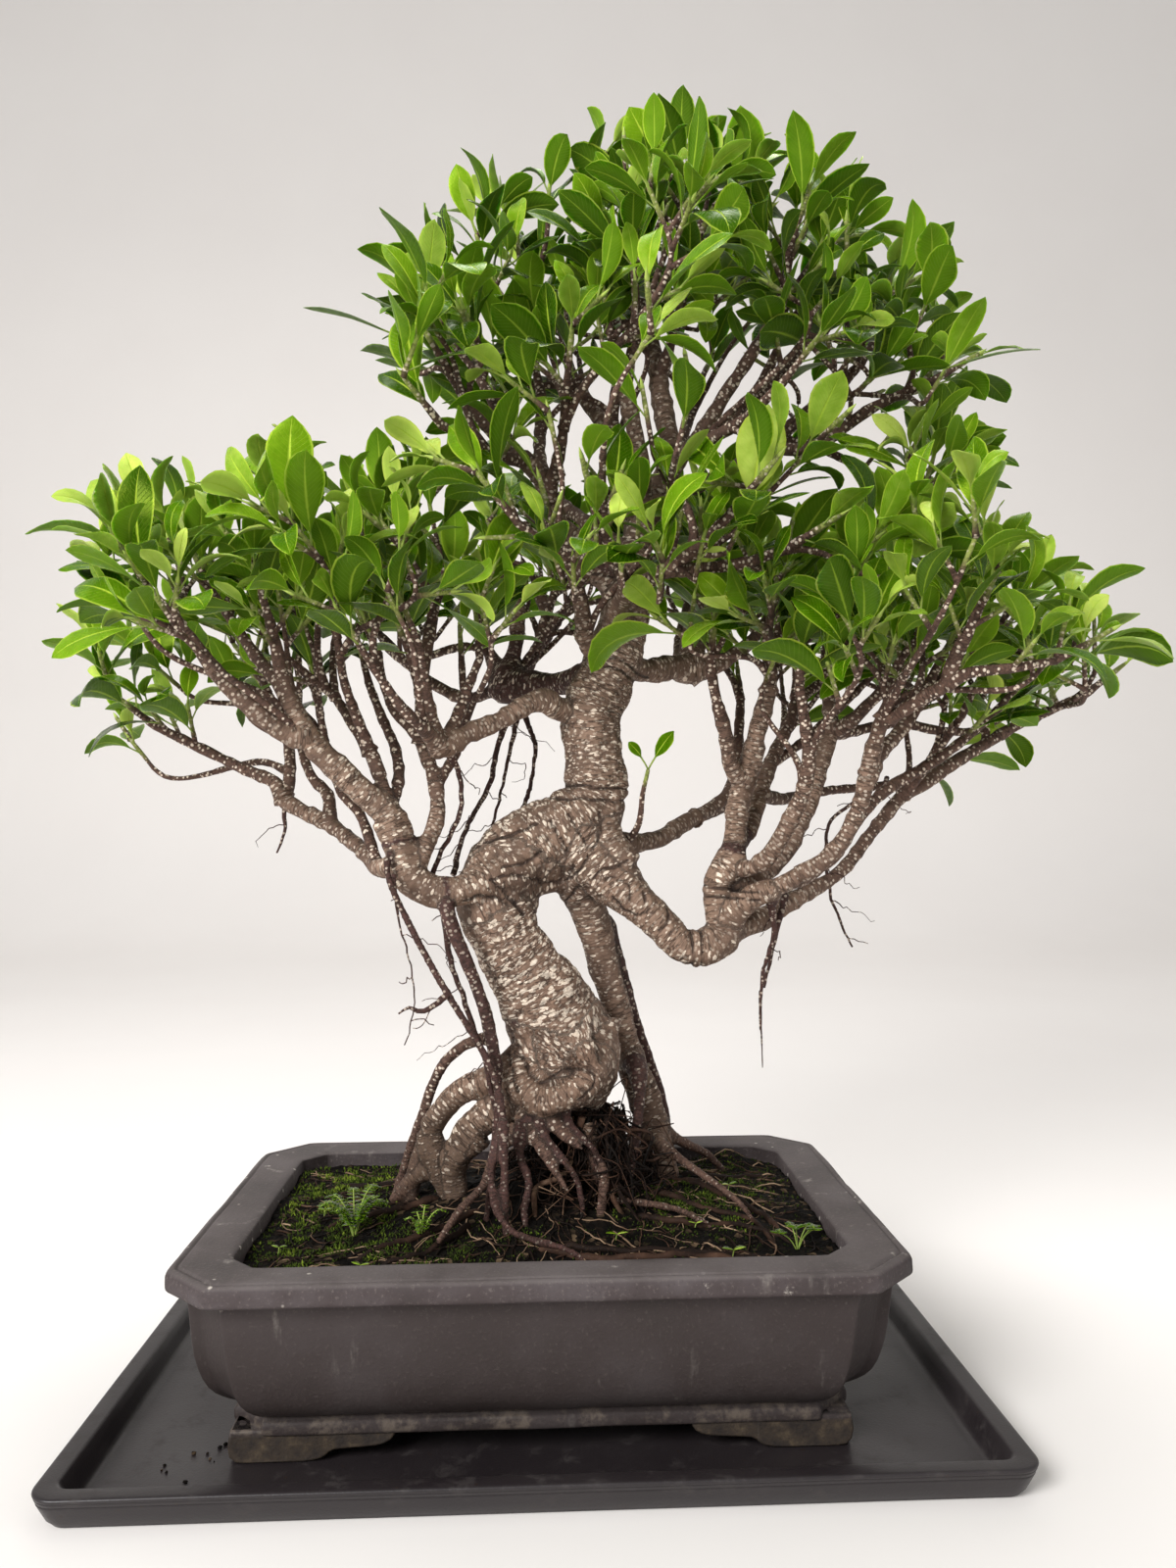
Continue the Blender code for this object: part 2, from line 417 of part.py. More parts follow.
def corner_ring(width, depth, cut, notch=0.0):
    """Outline of a rectangle with cut corners, four points a corner, with an inward notch."""
    ring = []
    for sign_x, sign_y in ((1, 1), (-1, 1), (-1, -1), (1, -1)):
        start = Vector((sign_x * (width / 2 - cut), sign_y * depth / 2))
        end = Vector((sign_x * width / 2, sign_y * (depth / 2 - cut)))
        inward = Vector((-sign_x, -sign_y)).normalized() * notch
        corner = [start, start.lerp(end, 0.16) + inward, start.lerp(end, 0.84) + inward, end]
        ring += corner if sign_x * sign_y < 0 else corner[::-1]
    return ring


def round_ring(width, depth, radius, steps=3):
    """Outline of a rectangle with round corners."""
    ring = []
    for quarter, (sign_x, sign_y) in enumerate(((1, 1), (-1, 1), (-1, -1), (1, -1))):
        middle = Vector((sign_x * (width / 2 - radius), sign_y * (depth / 2 - radius)))
        for step in range(steps + 1):
            angle = math.pi / 2 * (quarter + step / steps)
            ring.append(middle + radius * Vector((math.cos(angle), math.sin(angle))))
    return ring


def loft(levels, peak=None):
    """Closed body through rings of points; the last ring closes flat or rises to a peak."""
    work = bmesh.new()
    rings = [[work.verts.new(Vector(point) * MM) for point in ring] for ring in levels]
    for low, high in zip(rings, rings[1:]):
        for index in range(len(low)):
            after = (index + 1) % len(low)
            work.faces.new((low[index], low[after], high[after], high[index]))
    work.faces.new(rings[0][::-1])
    if peak is None:
        work.faces.new(rings[-1])
    else:
        top = work.verts.new(Vector(peak) * MM)
        for index in range(len(rings[-1])):
            work.faces.new((rings[-1][index], rings[-1][(index + 1) % len(rings[-1])], top))
    bmesh.ops.recalc_face_normals(work, faces=work.faces)
    mesh = bpy.data.meshes.new("loft")
    work.to_mesh(mesh)
    work.free()
    return mesh


def at_height(ring, height):
    return [(x, y, height) for x, y in ring]


def make_tray(material, collection):
    levels = []
    for height, inset, corner_cut in TRAY_LEVELS:
        ring = round_ring(TRAY_WIDTH - 2 * inset, TRAY_DEPTH - 2 * inset, TRAY_CORNER - corner_cut)
        levels.append([(x, y + TRAY_SHIFT_Y, height) for x, y in ring])
    return add_object("tray", loft(levels), material, collection)


def foot_leg(length, height, thick):
    """Bracket foot leg along +X from the origin: a deep outer lobe, then a thin inner ledge."""
    sunk = -4
    outline = [(0, sunk), (0, height), (length * 0.55, height), (length * 0.64, height - 6),
               (length * 0.9, height - 9), (length, height - 13), (length, sunk)]
    curve = bpy.data.curves.new("leg", "CURVE")
    curve.dimensions = "2D"
    curve.fill_mode = "BOTH"
    curve.extrude = thick / 2 * MM
    spline = curve.splines.new("POLY")
    spline.points.add(len(outline) - 1)
    for point, (x, z) in zip(spline.points, outline):
        point.co = (x * MM, -z * MM, 0, 1)
    spline.use_cyclic_u = True
    item = bpy.data.objects.new("leg", curve)
    bpy.context.scene.collection.objects.link(item)
    mesh = baked_mesh(item)
    mesh.transform(Matrix.Rotation(math.pi / 2, 4, "X"))
    return welded(mesh)


def welded(mesh):
    """The mesh with its doubled points joined and its faces turned outward."""
    work = bmesh.new()
    work.from_mesh(mesh)
    bmesh.ops.remove_doubles(work, verts=work.verts, dist=1e-6)
    bmesh.ops.recalc_face_normals(work, faces=work.faces)
    if work.calc_volume(signed=True) < 0:
        bmesh.ops.reverse_faces(work, faces=work.faces)
    work.to_mesh(mesh)
    work.free()
    return mesh


def foot_legs():
    """Two legs at each corner of the base, along the front and along the side."""
    legs = []
    for sign_x in (-1, 1):
        for sign_y in (-1, 1):
            for edge in ("front", "side"):
                leg = foot_leg(LEG_LENGTHS[edge], FOOT_HEIGHT, LEG_THICK)
                x = BASE_WIDTH / 2 - LEG_INSETS[edge]
                y = BASE_DEPTH / 2 - LEG_INSETS[edge]
                if edge == "front":
                    turn = Matrix.Scale(-sign_x, 4, (1, 0, 0))
                    y -= LEG_THICK / 2
                else:
                    turn = Matrix.Scale(-sign_y, 4, (0, 1, 0)) @ Matrix.Rotation(math.pi / 2, 4, "Z")
                    x -= LEG_THICK / 2
                place = Vector((sign_x * x, sign_y * y, UNDERSIDE)) * MM
                leg.transform(Matrix.Translation(place) @ turn)
                legs.append(welded(leg))
    return legs


def drain_cutters():
    cutters = []
    for sign in (-1, 1):
        work = bmesh.new()
        bmesh.ops.create_cone(work, cap_ends=True, segments=16, radius1=DRAIN_RADIUS * MM,
                              radius2=DRAIN_RADIUS * MM, depth=DRAIN_DEPTH * MM)
        bmesh.ops.translate(work, verts=work.verts, vec=Vector((sign * DRAIN_X, 0, UNDERSIDE)) * MM)
        mesh = bpy.data.meshes.new("drain")
        work.to_mesh(mesh)
        work.free()
        cutters.append(mesh)
    return cutters


def lip_ring(height, inset, cut=CANT, notch=0.0):
    """Outline of the lip at a height, set in from its widest by an inset."""
    ring = corner_ring(POT_WIDTH - 2 * inset, POT_DEPTH - 2 * inset, cut, notch)
    return at_height(ring, height)


def make_pot(material, collection, cutters):
    levels = []
    for rise, growth, cut, notch in WALL_LEVELS:
        ring = corner_ring(BASE_WIDTH + growth, BASE_DEPTH + growth, cut, notch)
        levels.append(at_height(ring, UNDERSIDE + rise))
    lip_under = POT_TOP - LIP_HEIGHT
    levels += [
        lip_ring(lip_under, WALL_UNDER_LIP / 2, CANT - 2, WALL_NOTCH),
        lip_ring(lip_under + 1, 0),
        lip_ring(POT_TOP - LIP_ROUND, 0),
        lip_ring(POT_TOP, LIP_ROUND + 0.5),
        lip_ring(POT_TOP, LEDGE - 2, POT_INSIDE[-1][3] + 1)]
    for height, width, depth, cut in reversed(POT_INSIDE):
        levels.append(at_height(corner_ring(width, depth, cut), height))
    shell = boolean(loft(levels), foot_legs(), "UNION", cutters)
    mesh = main_body(boolean(shell, drain_cutters(), "DIFFERENCE", cutters))
    return add_object("pot", mesh, material, collection)


def soil_height(x, y):
    """Top of the soil: a mound around the trunk and small waves."""
    mound = math.exp(-((x - MOUND_X) / MOUND_REACH_X) ** 2 - ((y - MOUND_Y) / MOUND_REACH_Y) ** 2)
    return SOIL_EDGE + SOIL_MOUND * mound + SOIL_WAVE * math.sin(x / 17) * math.sin(y / 13)


def soil_body():
    """Soil that fills the pot up to the mound, with a ring of points for each step to the middle."""
    levels = []
    for height, width, depth, cut in POT_INSIDE[:-1]:
        edge = fine_ring(width - 2 * GAP, depth - 2 * GAP, cut)
        levels.append(at_height(edge, height))
    levels[0] = at_height([point[:2] for point in levels[0]], POT_FLOOR + GAP)
    for share in SOIL_STEPS:
        row = []
        for x, y in edge:
            height = max(soil_height(x * share, y * share), SOIL_EDGE - 0.5)
            row.append((x * share, y * share, height))
        levels.append(row)
    return loft(levels, (0, 0, soil_height(0, 0)))


def fine_ring(width, depth, cut):
    """Outline of the opening with extra points along its straight sides."""
    ring = corner_ring(width, depth, cut)
    fine = []
    for index, point in enumerate(ring):
        after = ring[(index + 1) % len(ring)]
        parts = 4 if (after - point).length > 60 else 1
        fine += [point.lerp(after, part / parts) for part in range(parts)]
    return fine


class Tree:
    """Points of the tree, each with its parent point, its radius and the kind of growth."""

    def __init__(self):
        self.place = []
        self.parent = []
        self.radius = []
        self.kind = []
        self.tips = []       # last point of each leafy shoot

    def add(self, place, parent, radius, kind):
        self.place.append(place)
        self.parent.append(parent)
        self.radius.append(radius)
        self.kind.append(kind)
        return len(self.place) - 1

    def nearest(self, place):
        return min(range(len(self.place)), key=lambda index: (self.place[index] - place).length)

    def heading(self, index):
        before = self.parent[index]
        if before is None:
            return Vector((0, 0, 1))
        return (self.place[index] - self.place[before]).normalized()

    def children(self):
        below = [[] for _ in self.place]
        for index, before in enumerate(self.parent):
            if before is not None:
                below[before].append(index)
        return below


def smooth_route(route, step=ROUTE_STEP):
    """Points and radii along a smooth curve through the route's own points."""
    points = [Vector(point[:3]) for point in route]
    radii = [point[3] for point in route]
    points = [points[0] * 2 - points[1]] + points + [points[-1] * 2 - points[-2]]
    found = [(points[1], radii[0])]
    for index in range(1, len(points) - 2):
        before, start, end, after = points[index - 1:index + 3]
        parts = max(1, round((end - start).length / step))
        for part in range(1, parts + 1):
            t = part / parts
            place = 0.5 * (2 * start + (end - before) * t
                           + (2 * before - 5 * start + 4 * end - after) * t * t
                           + (3 * start - before - 3 * end + after) * t ** 3)
            radius = radii[index - 1] + (radii[index] - radii[index - 1]) * t
            found.append((place, radius))
    return found


def add_route(tree, route, kind):
    """Grow a route from the tree's point that is nearest to the route's start."""
    points = smooth_route(route)
    if tree.place:
        last = tree.nearest(points[0][0])
    else:
        last = tree.add(points[0][0], None, points[0][1], kind)
    for place, radius in points[1:]:
        last = tree.add(place, last, radius, kind)
    return last


def add_leafy_end(tree, last, draw):
    """Lengthen a limb's end by a leafy shoot that turns up and outward."""
    heading = tree.heading(last)
    outward = Vector((tree.place[last].x - 60, tree.place[last].y, 0)).normalized()
    lean = Vector((draw.uniform(-0.3, 0.3), draw.uniform(-0.3, 0.3), 0))
    heading = (heading + 0.45 * Vector((0, 0, 1)) + 0.25 * outward + lean).normalized()
    tree.tips.append(tree.add(tree.place[last] + heading * LEAFY_LENGTH, last, SHOOT_RADIUS, "shoot"))


def wanted_tips(draw):
    """Tips on the upper and outer shell of each leaf pad, with the way each shoot heads."""
    wanted = []
    for _, middle, half, count in PADS:
        for _ in range(count * 6):
            way = Vector((draw.gauss(0, 1), draw.gauss(0, 1), draw.gauss(0, 1))).normalized()
            if way.z < -0.3:
                continue
            depth = draw.uniform(0.72, 1.0)
            place = Vector(middle) + Vector([way[axis] * half[axis] * depth for axis in range(3)])
            lean = Vector((draw.uniform(-0.25, 0.25), draw.uniform(-0.25, 0.25), 0))
            heading = (way * 0.6 + Vector((0, 0, 0.55)) + lean).normalized()
            wanted.append((place, heading))
    return wanted


def joint_cost(tree, index, base, heading):
    """Cost of a twig from a tree point to a shoot's base: short, forward-going twigs are cheap."""
    way = base - tree.place[index]
    reach = way.length
    if not SHORTEST_TWIG <= reach <= LONGEST_TWIG:
        return None
    way /= reach
    forward = way.dot(tree.heading(index))
    if forward < LEAST_FORWARD:
        return None
    return reach * (1.7 - 0.4 * forward - 0.3 * way.dot(heading))


def twig_path(tree, index, base, heading):
    """Curved path from a tree point to a shoot's base, straight where it leaves its parent."""
    start = tree.place[index]
    way = (base - start).normalized()
    leave = (way + 0.5 * tree.heading(index)).normalized()
    first = start + leave * (tree.radius[index] + 10)
    reach = (base - first).length
    pull = reach * 0.9
    steps = max(1, round(reach / ROUTE_STEP))
    path = [first]
    for step in range(1, steps + 1):
        t = step / steps
        a, b = 2 * t ** 3 - 3 * t * t + 1, t ** 3 - 2 * t * t + t
        c, d = -2 * t ** 3 + 3 * t * t, t ** 3 - t * t
        path.append(a * first + b * pull * leave + c * base + d * pull * heading)
    return path


def path_is_clear(tree, index, path, lookup, samples):
    """True if the path keeps its room from all wood but the parent it leaves."""
    start = tree.place[index]
    own = tree.radius[index] + 14
    places = [start.lerp(path[0], 0.7)] + path
    for first, second in zip(places, places[1:]):
        parts = max(1, round((second - first).length / SAMPLE_STEP))
        for part in range(1, parts + 1):
            place = first.lerp(second, part / parts)
            if (place - start).length < own:
                continue
            for _, sample, _ in lookup.find_range(place, SEARCH_REACH):
                room = (samples[sample][0] - place).length - samples[sample][1] - SHOOT_RADIUS * 1.6
                if room < TWIG_ROOM:
                    return False
    return True


def wood_samples(tree):
    """Points along all wood, with their radii, and a lookup over them."""
    samples = []
    for index, before in enumerate(tree.parent):
        if before is None:
            continue
        start, end = tree.place[before], tree.place[index]
        parts = max(1, round((end - start).length / SAMPLE_STEP))
        for part in range(parts):
            share = (part + 1) / parts
            radius = tree.radius[before] + (tree.radius[index] - tree.radius[before]) * share
            samples.append((start.lerp(end, share), radius))
    lookup = KDTree(len(samples))
    for number, (place, _) in enumerate(samples):
        lookup.insert(place, number)
    lookup.balance()
    return lookup, samples


def may_branch(tree, busy):
    """Points that a new twig may leave from."""
    found = []
    for index, kind in enumerate(tree.kind):
        if kind == "limb" and tree.radius[index] > THICK_RADIUS:
            continue
        if kind in ("limb", "twig") and index not in busy:
            found.append(index)
    return found


def mark_busy(tree, busy, index):
    """Keep the next junction off this one and its neighbours."""
    busy.add(index)
    if tree.parent[index] is not None:
        busy.add(tree.parent[index])
    for other, before in enumerate(tree.parent):
        if before == index:
            busy.add(other)


def grow_twigs(tree, draw):
    """Join the wanted tips to the tree one after another, the nearest first."""
    wanted = wanted_tips(draw)
    busy = set()
    for index, before in enumerate(tree.parent):
        if before is not None and tree.kind[index] != tree.kind[before]:
            mark_busy(tree, busy, before)
    count = sum(pad[3] for pad in PADS)
    while wanted and count:
        grown = [tree.place[index] for index in may_branch(tree, busy)]
        lookup = KDTree(len(grown))
        for number, place in enumerate(grown):
            lookup.insert(place, number)
        lookup.balance()
        wanted.sort(key=lambda tip: -lookup.find(tip[0])[2])
        place, heading = wanted.pop()
        if any((tree.place[tip] - place).length < TIP_SPACING for tip in tree.tips):
            continue
        if join_tip(tree, place, heading, busy):
            count -= 1


def join_tip(tree, place, heading, busy):
    """Grow a twig and its leafy shoot to a tip, from the cheapest branching point with a clear way."""
    base = place - heading * LEAFY_LENGTH
    costs = []
    for index in may_branch(tree, busy):
        cost = joint_cost(tree, index, base, heading)
        if cost is not None:
            costs.append((cost, index))
    costs.sort()
    lookup, samples = wood_samples(tree)
    for _, index in costs[:JOINT_TRIES]:
        path = twig_path(tree, index, base, heading)
        if not path_is_clear(tree, index, path + [place], lookup, samples):
            continue
        last = index
        for point in path:
            last = tree.add(point, last, SHOOT_RADIUS, "twig")
        tree.tips.append(tree.add(place, last, SHOOT_RADIUS, "shoot"))
        mark_busy(tree, busy, index)
        return True
    return False


def count_shoots(tree, below):
    """Leafy shoots beyond each point; a root counts as more than a spray can hold."""
    shoots = [0] * len(tree.place)
    for end in range(len(tree.place)):
        if below[end]:
            continue
        index = end
        while index is not None:
            shoots[index] += SPRAY_SHOOTS + 1 if tree.kind[end] == "root" else 1
            index = tree.parent[index]
    return shoots


def thicken_twigs(tree, below):
    """Give twigs the radius that their shoots need, from the tips back."""
    for index in range(len(tree.place) - 1, -1, -1):
        if tree.kind[index] not in ("twig", "shoot"):
            continue
        flow = 0.0
        for child in below[index]:
            step = (tree.place[child] - tree.place[index]).length
            flow += (tree.radius[child] + TWIG_TAPER * step) ** PIPE_POWER
        if flow:
            tree.radius[index] = flow ** (1 / PIPE_POWER)


def grow_tree():
    """The whole tree as points: trunk, limbs, roots, strands, twigs and leafy shoots."""
    draw = random.Random(TREE_SEED)
    tree = Tree()
    ends = [add_route(tree, TRUNK, "limb")]
    ends += [add_route(tree, route, "limb") for route in LIMBS.values()]
    for route in ROOTS.values():
        add_route(tree, route, "root")
    for route in STRANDS.values():
        add_route(tree, route, "root")
    for end in ends:
        add_leafy_end(tree, end, draw)
    grow_twigs(tree, draw)
    thicken_twigs(tree, tree.children())
    return tree


def chains(tree, start, below, keep):
    """Split the points under a start point into unbranched runs, the thickest child going on."""
    runs = []
    open_runs = [[start]]
    while open_runs:
        run = open_runs.pop()
        while True:
            after = [child for child in below[run[-1]] if keep(child)]
            if not after:
                break
            after.sort(key=lambda child: -tree.radius[child])
            for child in after[1:]:
                open_runs.append([run[-1], child])
            run.append(after[0])
        if len(run) > 1:
            runs.append(run)
    return runs


def run_points(tree, run):
    """Places and radii of a run, which starts inside its parent no thicker than it goes on."""
    points = [(tree.place[point], tree.radius[point]) for point in run]
    start = min(points[0][1], points[1][1] * 1.2) if tree.parent[run[0]] is not None else points[0][1]
    return [(points[0][0], start)] + points[1:]


def slim(points, tolerance):
    """Drop points that lie within the tolerance of a straight run, but keep the leafy end apart."""
    leafy = (points[-1][0] - points[-2][0]).length > LEAFY_LENGTH - 1
    if leafy and len(points) > 2:
        return slim_stretch(points[:-1], tolerance) + points[-1:]
    return slim_stretch(points, tolerance)


def slim_stretch(points, tolerance):
    """Keep the point furthest from the straight line between the ends, and so on in each half."""
    if len(points) < 3:
        return points
    start, end = points[0][0], points[-1][0]
    line = end - start
    worst, far = 0, 0.0
    for index in range(1, len(points) - 1):
        share = (points[index][0] - start).dot(line) / max(line.length_squared, 1e-9)
        share = min(1.0, max(0.0, share))
        off = (points[index][0] - start - line * share).length
        even = points[0][1] + (points[-1][1] - points[0][1]) * share
        off = max(off, 1.6 * abs(points[index][1] - even))
        if off > far:
            worst, far = index, off
    if far <= tolerance:
        return [points[0], points[-1]]
    return slim_stretch(points[:worst + 1], tolerance)[:-1] + slim_stretch(points[worst:], tolerance)


def triangle_profile():
    """Three-sided outline that thin twigs are bevelled with."""
    curve = bpy.data.curves.new("thin_profile", "CURVE")
    curve.dimensions = "2D"
    spline = curve.splines.new("POLY")
    spline.points.add(2)
    for number, point in enumerate(spline.points):
        turn = math.tau * number / 3
        point.co = (THIN_SWELL * MM * math.cos(turn), THIN_SWELL * MM * math.sin(turn), 0, 1)
    spline.use_cyclic_u = True
    return bpy.data.objects.new("thin_profile", curve)


def tube_meshes(runs, grow=0.0):
    """Closed tubes along runs of (place, radius), made from bevelled curves."""
    profile = triangle_profile()
    bpy.context.scene.collection.objects.link(profile)
    items = []
    for run in runs:
        widest = max(radius for _, radius in run)
        curve = bpy.data.curves.new("tube", "CURVE")
        curve.dimensions = "3D"
        curve.bevel_depth = MM
        curve.bevel_resolution = sum(widest > limit for limit in SIDE_LIMITS)
        if widest < THIN_RADIUS:
            curve.bevel_mode = "OBJECT"
            curve.bevel_object = profile
        curve.use_fill_caps = True
        spline = curve.splines.new("POLY")
        spline.points.add(len(run) - 1)
        for point, (place, radius) in zip(spline.points, run):
            point.co = (*(place * MM), 1)
            point.radius = radius + grow
        item = bpy.data.objects.new("tube", curve)
        bpy.context.scene.collection.objects.link(item)
        items.append(item)
    depsgraph = bpy.context.evaluated_depsgraph_get()
    meshes = [bpy.data.meshes.new_from_object(item.evaluated_get(depsgraph)) for item in items]
    for item in items + [profile]:
        bpy.data.objects.remove(item, do_unlink=True)
    return [welded(mesh) for mesh in meshes]


def cut_place(tree, path, lookup, samples):
    """How far along a path the spray starts, clear of the wood around its branching point."""
    travelled = tree.radius[path[0]] + CUT_MARGIN - 1
    while travelled < CUT_REACH:
        place, heading = along(tree, path, travelled)
        if place is None:
            return None
        room = SEARCH_REACH
        for _, sample, _ in lookup.find_range(place, SEARCH_REACH):
            middle, radius, owner = samples[sample]
            if owner not in path[1:]:
                room = min(room, (middle - place).length - radius)
        if room > tree.radius[path[1]] + CUT_ROOM:
            return travelled
        travelled += CUT_STEP
    return None


def along(tree, path, distance):
    """Place and heading at a distance along a path of points, kept off the path's corners."""
    for before, after in zip(path, path[1:]):
        edge = tree.place[after] - tree.place[before]
        if distance < edge.length - CUT_MARGIN / 2:
            distance = max(distance, CUT_MARGIN)
            return tree.place[before] + edge.normalized() * distance, edge.normalized()
        distance = max(distance - edge.length, 0)
    return None, None


def spray_cuts(tree, before, index, below, lookup, samples):
    """Cut the branch from its wood, or else each branch that leaves it further on."""
    path = single_path(tree, before, index, below)
    distance = cut_place(tree, path, lookup, samples)
    if distance is not None:
        return [(path, distance)]
    cuts = []
    for child in below[path[-1]]:
        cuts += spray_cuts(tree, path[-1], child, below, lookup, samples)
    return cuts


def divide(tree, shoots):
    """Starts of sprays: each child with few enough shoots of a point with more."""
    starts = []
    for index, before in enumerate(tree.parent):
        if before is None or not 0 < shoots[index] <= SPRAY_SHOOTS:
            continue
        if shoots[before] > SPRAY_SHOOTS:
            starts.append((before, index))
    return starts


def single_path(tree, before, index, below):
    """The path from a branching point through a child up to the next branching."""
    path = [before, index]
    while len(below[path[-1]]) == 1:
        path.append(below[path[-1]][0])
    return path


def owned_samples(tree):
    """Places along all wood with their radii and the point each leads to, and a lookup over them."""
    samples = []
    for index, before in enumerate(tree.parent):
        if before is None:
            continue
        start, end = tree.place[before], tree.place[index]
        parts = max(1, round((end - start).length / 3))
        for part in range(parts + 1):
            share = part / parts
            radius = tree.radius[before] + (tree.radius[index] - tree.radius[before]) * share
            samples.append((start.lerp(end, share), min(radius, tree.radius[before]), index))
    lookup = KDTree(len(samples))
    for number, sample in enumerate(samples):
        lookup.insert(sample[0], number)
    lookup.balance()
    return lookup, samples


def split_tree(tree):
    """Runs of (place, radius) for the wood, and for each spray, with its leafy tips."""
    below = tree.children()
    shoots = count_shoots(tree, below)
    lookup, samples = owned_samples(tree)
    cuts = []
    for before, index in divide(tree, shoots):
        cuts += spray_cuts(tree, before, index, below, lookup, samples)
    taken = set()
    stubs = []
    sprays = []
    for path, distance in cuts:
        place, heading = along(tree, path, distance)
        passed = passed_points(tree, path, place)
        radius = tree.radius[path[passed]]
        stub = slim_stretch([(tree.place[point], radius) for point in path[:passed]], 1.0)
        stubs.append(stub + [(place - heading * 2, radius), (place, radius)])
        group = gather(path[passed], below)
        taken |= gather(path[1], below)
        runs = []
        for run in chains(tree, path[passed], below, lambda child: True):
            runs.append(run_points(tree, run))
        if not runs:
            runs = [[(tree.place[path[passed]], radius)]]
        runs[0] = [(place + heading * GAP, radius)] + runs[0]
        sprays.append((runs, [tip for tip in tree.tips if tip in group]))
    wood = []
    for run in chains(tree, 0, below, lambda child: child not in taken):
        wood.append(slim(run_points(tree, run), WOOD_SLIM))
    return wood + stubs, sprays


def passed_points(tree, path, place):
    """Index of the first path point beyond a place on the path."""
    for number, (before, after) in enumerate(zip(path, path[1:])):
        edge = tree.place[after] - tree.place[before]
        share = (place - tree.place[before]).dot(edge) / edge.length_squared
        off = (tree.place[before] + edge * share - place).length
        if off < 0.01 and 0 <= share < 1:
            return number + 1
    return len(path) - 1


def gather(index, below):
    """All points that grow from a point, with the point itself."""
    found = {index}
    front = [index]
    while front:
        for child in below[front.pop()]:
            found.add(child)
            front.append(child)
    return found


def leaf_frame(tree, tip, number, draw):
    """Root, direction, normal and length of one leaf of a shoot, youngest first."""
    axis = tree.heading(tip)
    across = axis.cross(Vector((0.3, 0.2, 1))).normalized()
    turn = math.radians(GOLDEN_TURN * number + draw.uniform(-14, 14) + 77 * tip)
    radial = Matrix.Rotation(turn, 3, axis) @ across
    tilt = math.radians(26 + 6.5 * number + draw.uniform(-8, 8))
    root = tree.place[tip] - axis * (0.8 + 4.6 * number)
    direction = axis * math.cos(tilt) + radial * math.sin(tilt)
    direction = (direction + Vector((0, 0, 0.12))).normalized()
    normal = axis * math.sin(tilt) - radial * math.cos(tilt) + Vector((0, 0, 1.0))
    normal = (normal - direction * normal.dot(direction)).normalized()
    age = min(1.0, 0.55 + number * 0.11)
    length = LEAF_LENGTH * age * draw.uniform(0.88, 1.16)
    return root, direction, normal, length


def blade_point(frame, t, side, face, grow=0.0):
    """Point of a leaf: t from root to tip, side from -1 to 1, face 0 on top and -1 at the keel."""
    root, direction, normal, length = frame
    reach = PETIOLE + length
    across = direction.cross(normal)
    neck = PETIOLE / reach
    droop = 0.10 * reach * t * t
    half = PETIOLE_HALF
    if t > neck:
        share = (t - neck) / (1 - neck)
        half += length * BLADE_HALF * math.sin(math.pi * share ** 0.85) ** 0.8
    if t <= 0 or t >= 1:
        half = thick = 0.0
    else:
        half += grow
        thick = BLADE_THICK + 2 * grow
    place = root + direction * reach * t - normal * droop
    return place + across * side * half + normal * (face * thick + grow)


def blade_template():
    """A sphere of three sides and three rings, which each blade is shaped from."""
    work = bmesh.new()
    bmesh.ops.create_uvsphere(work, u_segments=3, v_segments=4, radius=1)
    mesh = bpy.data.meshes.new("blade")
    work.to_mesh(mesh)
    work.free()
    return mesh


def ring_share(height):
    """Place along the leaf of a template ring at a height from -1 to 1."""
    stops = ((-1.0, 0.0), (-0.71, 0.17), (0.0, 0.52), (0.71, 0.83), (1.0, 1.0))
    return min(stops, key=lambda stop: abs(stop[0] - height))[1]


def blade_places(template, frame, grow=0.0, start=0.0):
    """Places of the template's points on a leaf; with a start, the root moves out along the leaf."""
    places = []
    for vertex in template.vertices:
        x, y, z = vertex.co
        t = max(start, ring_share(z))
        side = math.copysign(1, x) if abs(x) > 0.1 else 0
        face = -1 if y > 0.1 and side == 0 else 0
        places.append(blade_point(frame, t, side, face, grow))
    return places


def box_of(places):
    low = Vector([min(place[axis] for place in places) for axis in range(3)])
    high = Vector([max(place[axis] for place in places) for axis in range(3)])
    return low, high


def boxes_meet(first, second):
    return all(first[0][axis] <= second[1][axis] and second[0][axis] <= first[1][axis]
               for axis in range(3))


def tube_tree(tree):
    """Lookup over all wood as thin prisms, to keep leaves clear of it."""
    places = []
    faces = []
    for index, before in enumerate(tree.parent):
        if before is None:
            continue
        start, end = tree.place[before], tree.place[index]
        axis = (end - start).normalized()
        across = axis.orthogonal().normalized()
        up = axis.cross(across)
        first = len(places)
        for place, radius in ((start, tree.radius[before]), (end, tree.radius[index])):
            radius = min(radius, tree.radius[index] * 1.3) + LEAF_ROOM
            for a, b in ((1, 0), (0, 1), (-1, 0), (0, -1)):
                places.append(place + (across * a + up * b) * radius * 1.2)
        for corner in range(4):
            after = (corner + 1) % 4
            faces.append((first + corner, first + after, first + 4 + after, first + 4 + corner))
    return BVHTree.FromPolygons(places, faces)


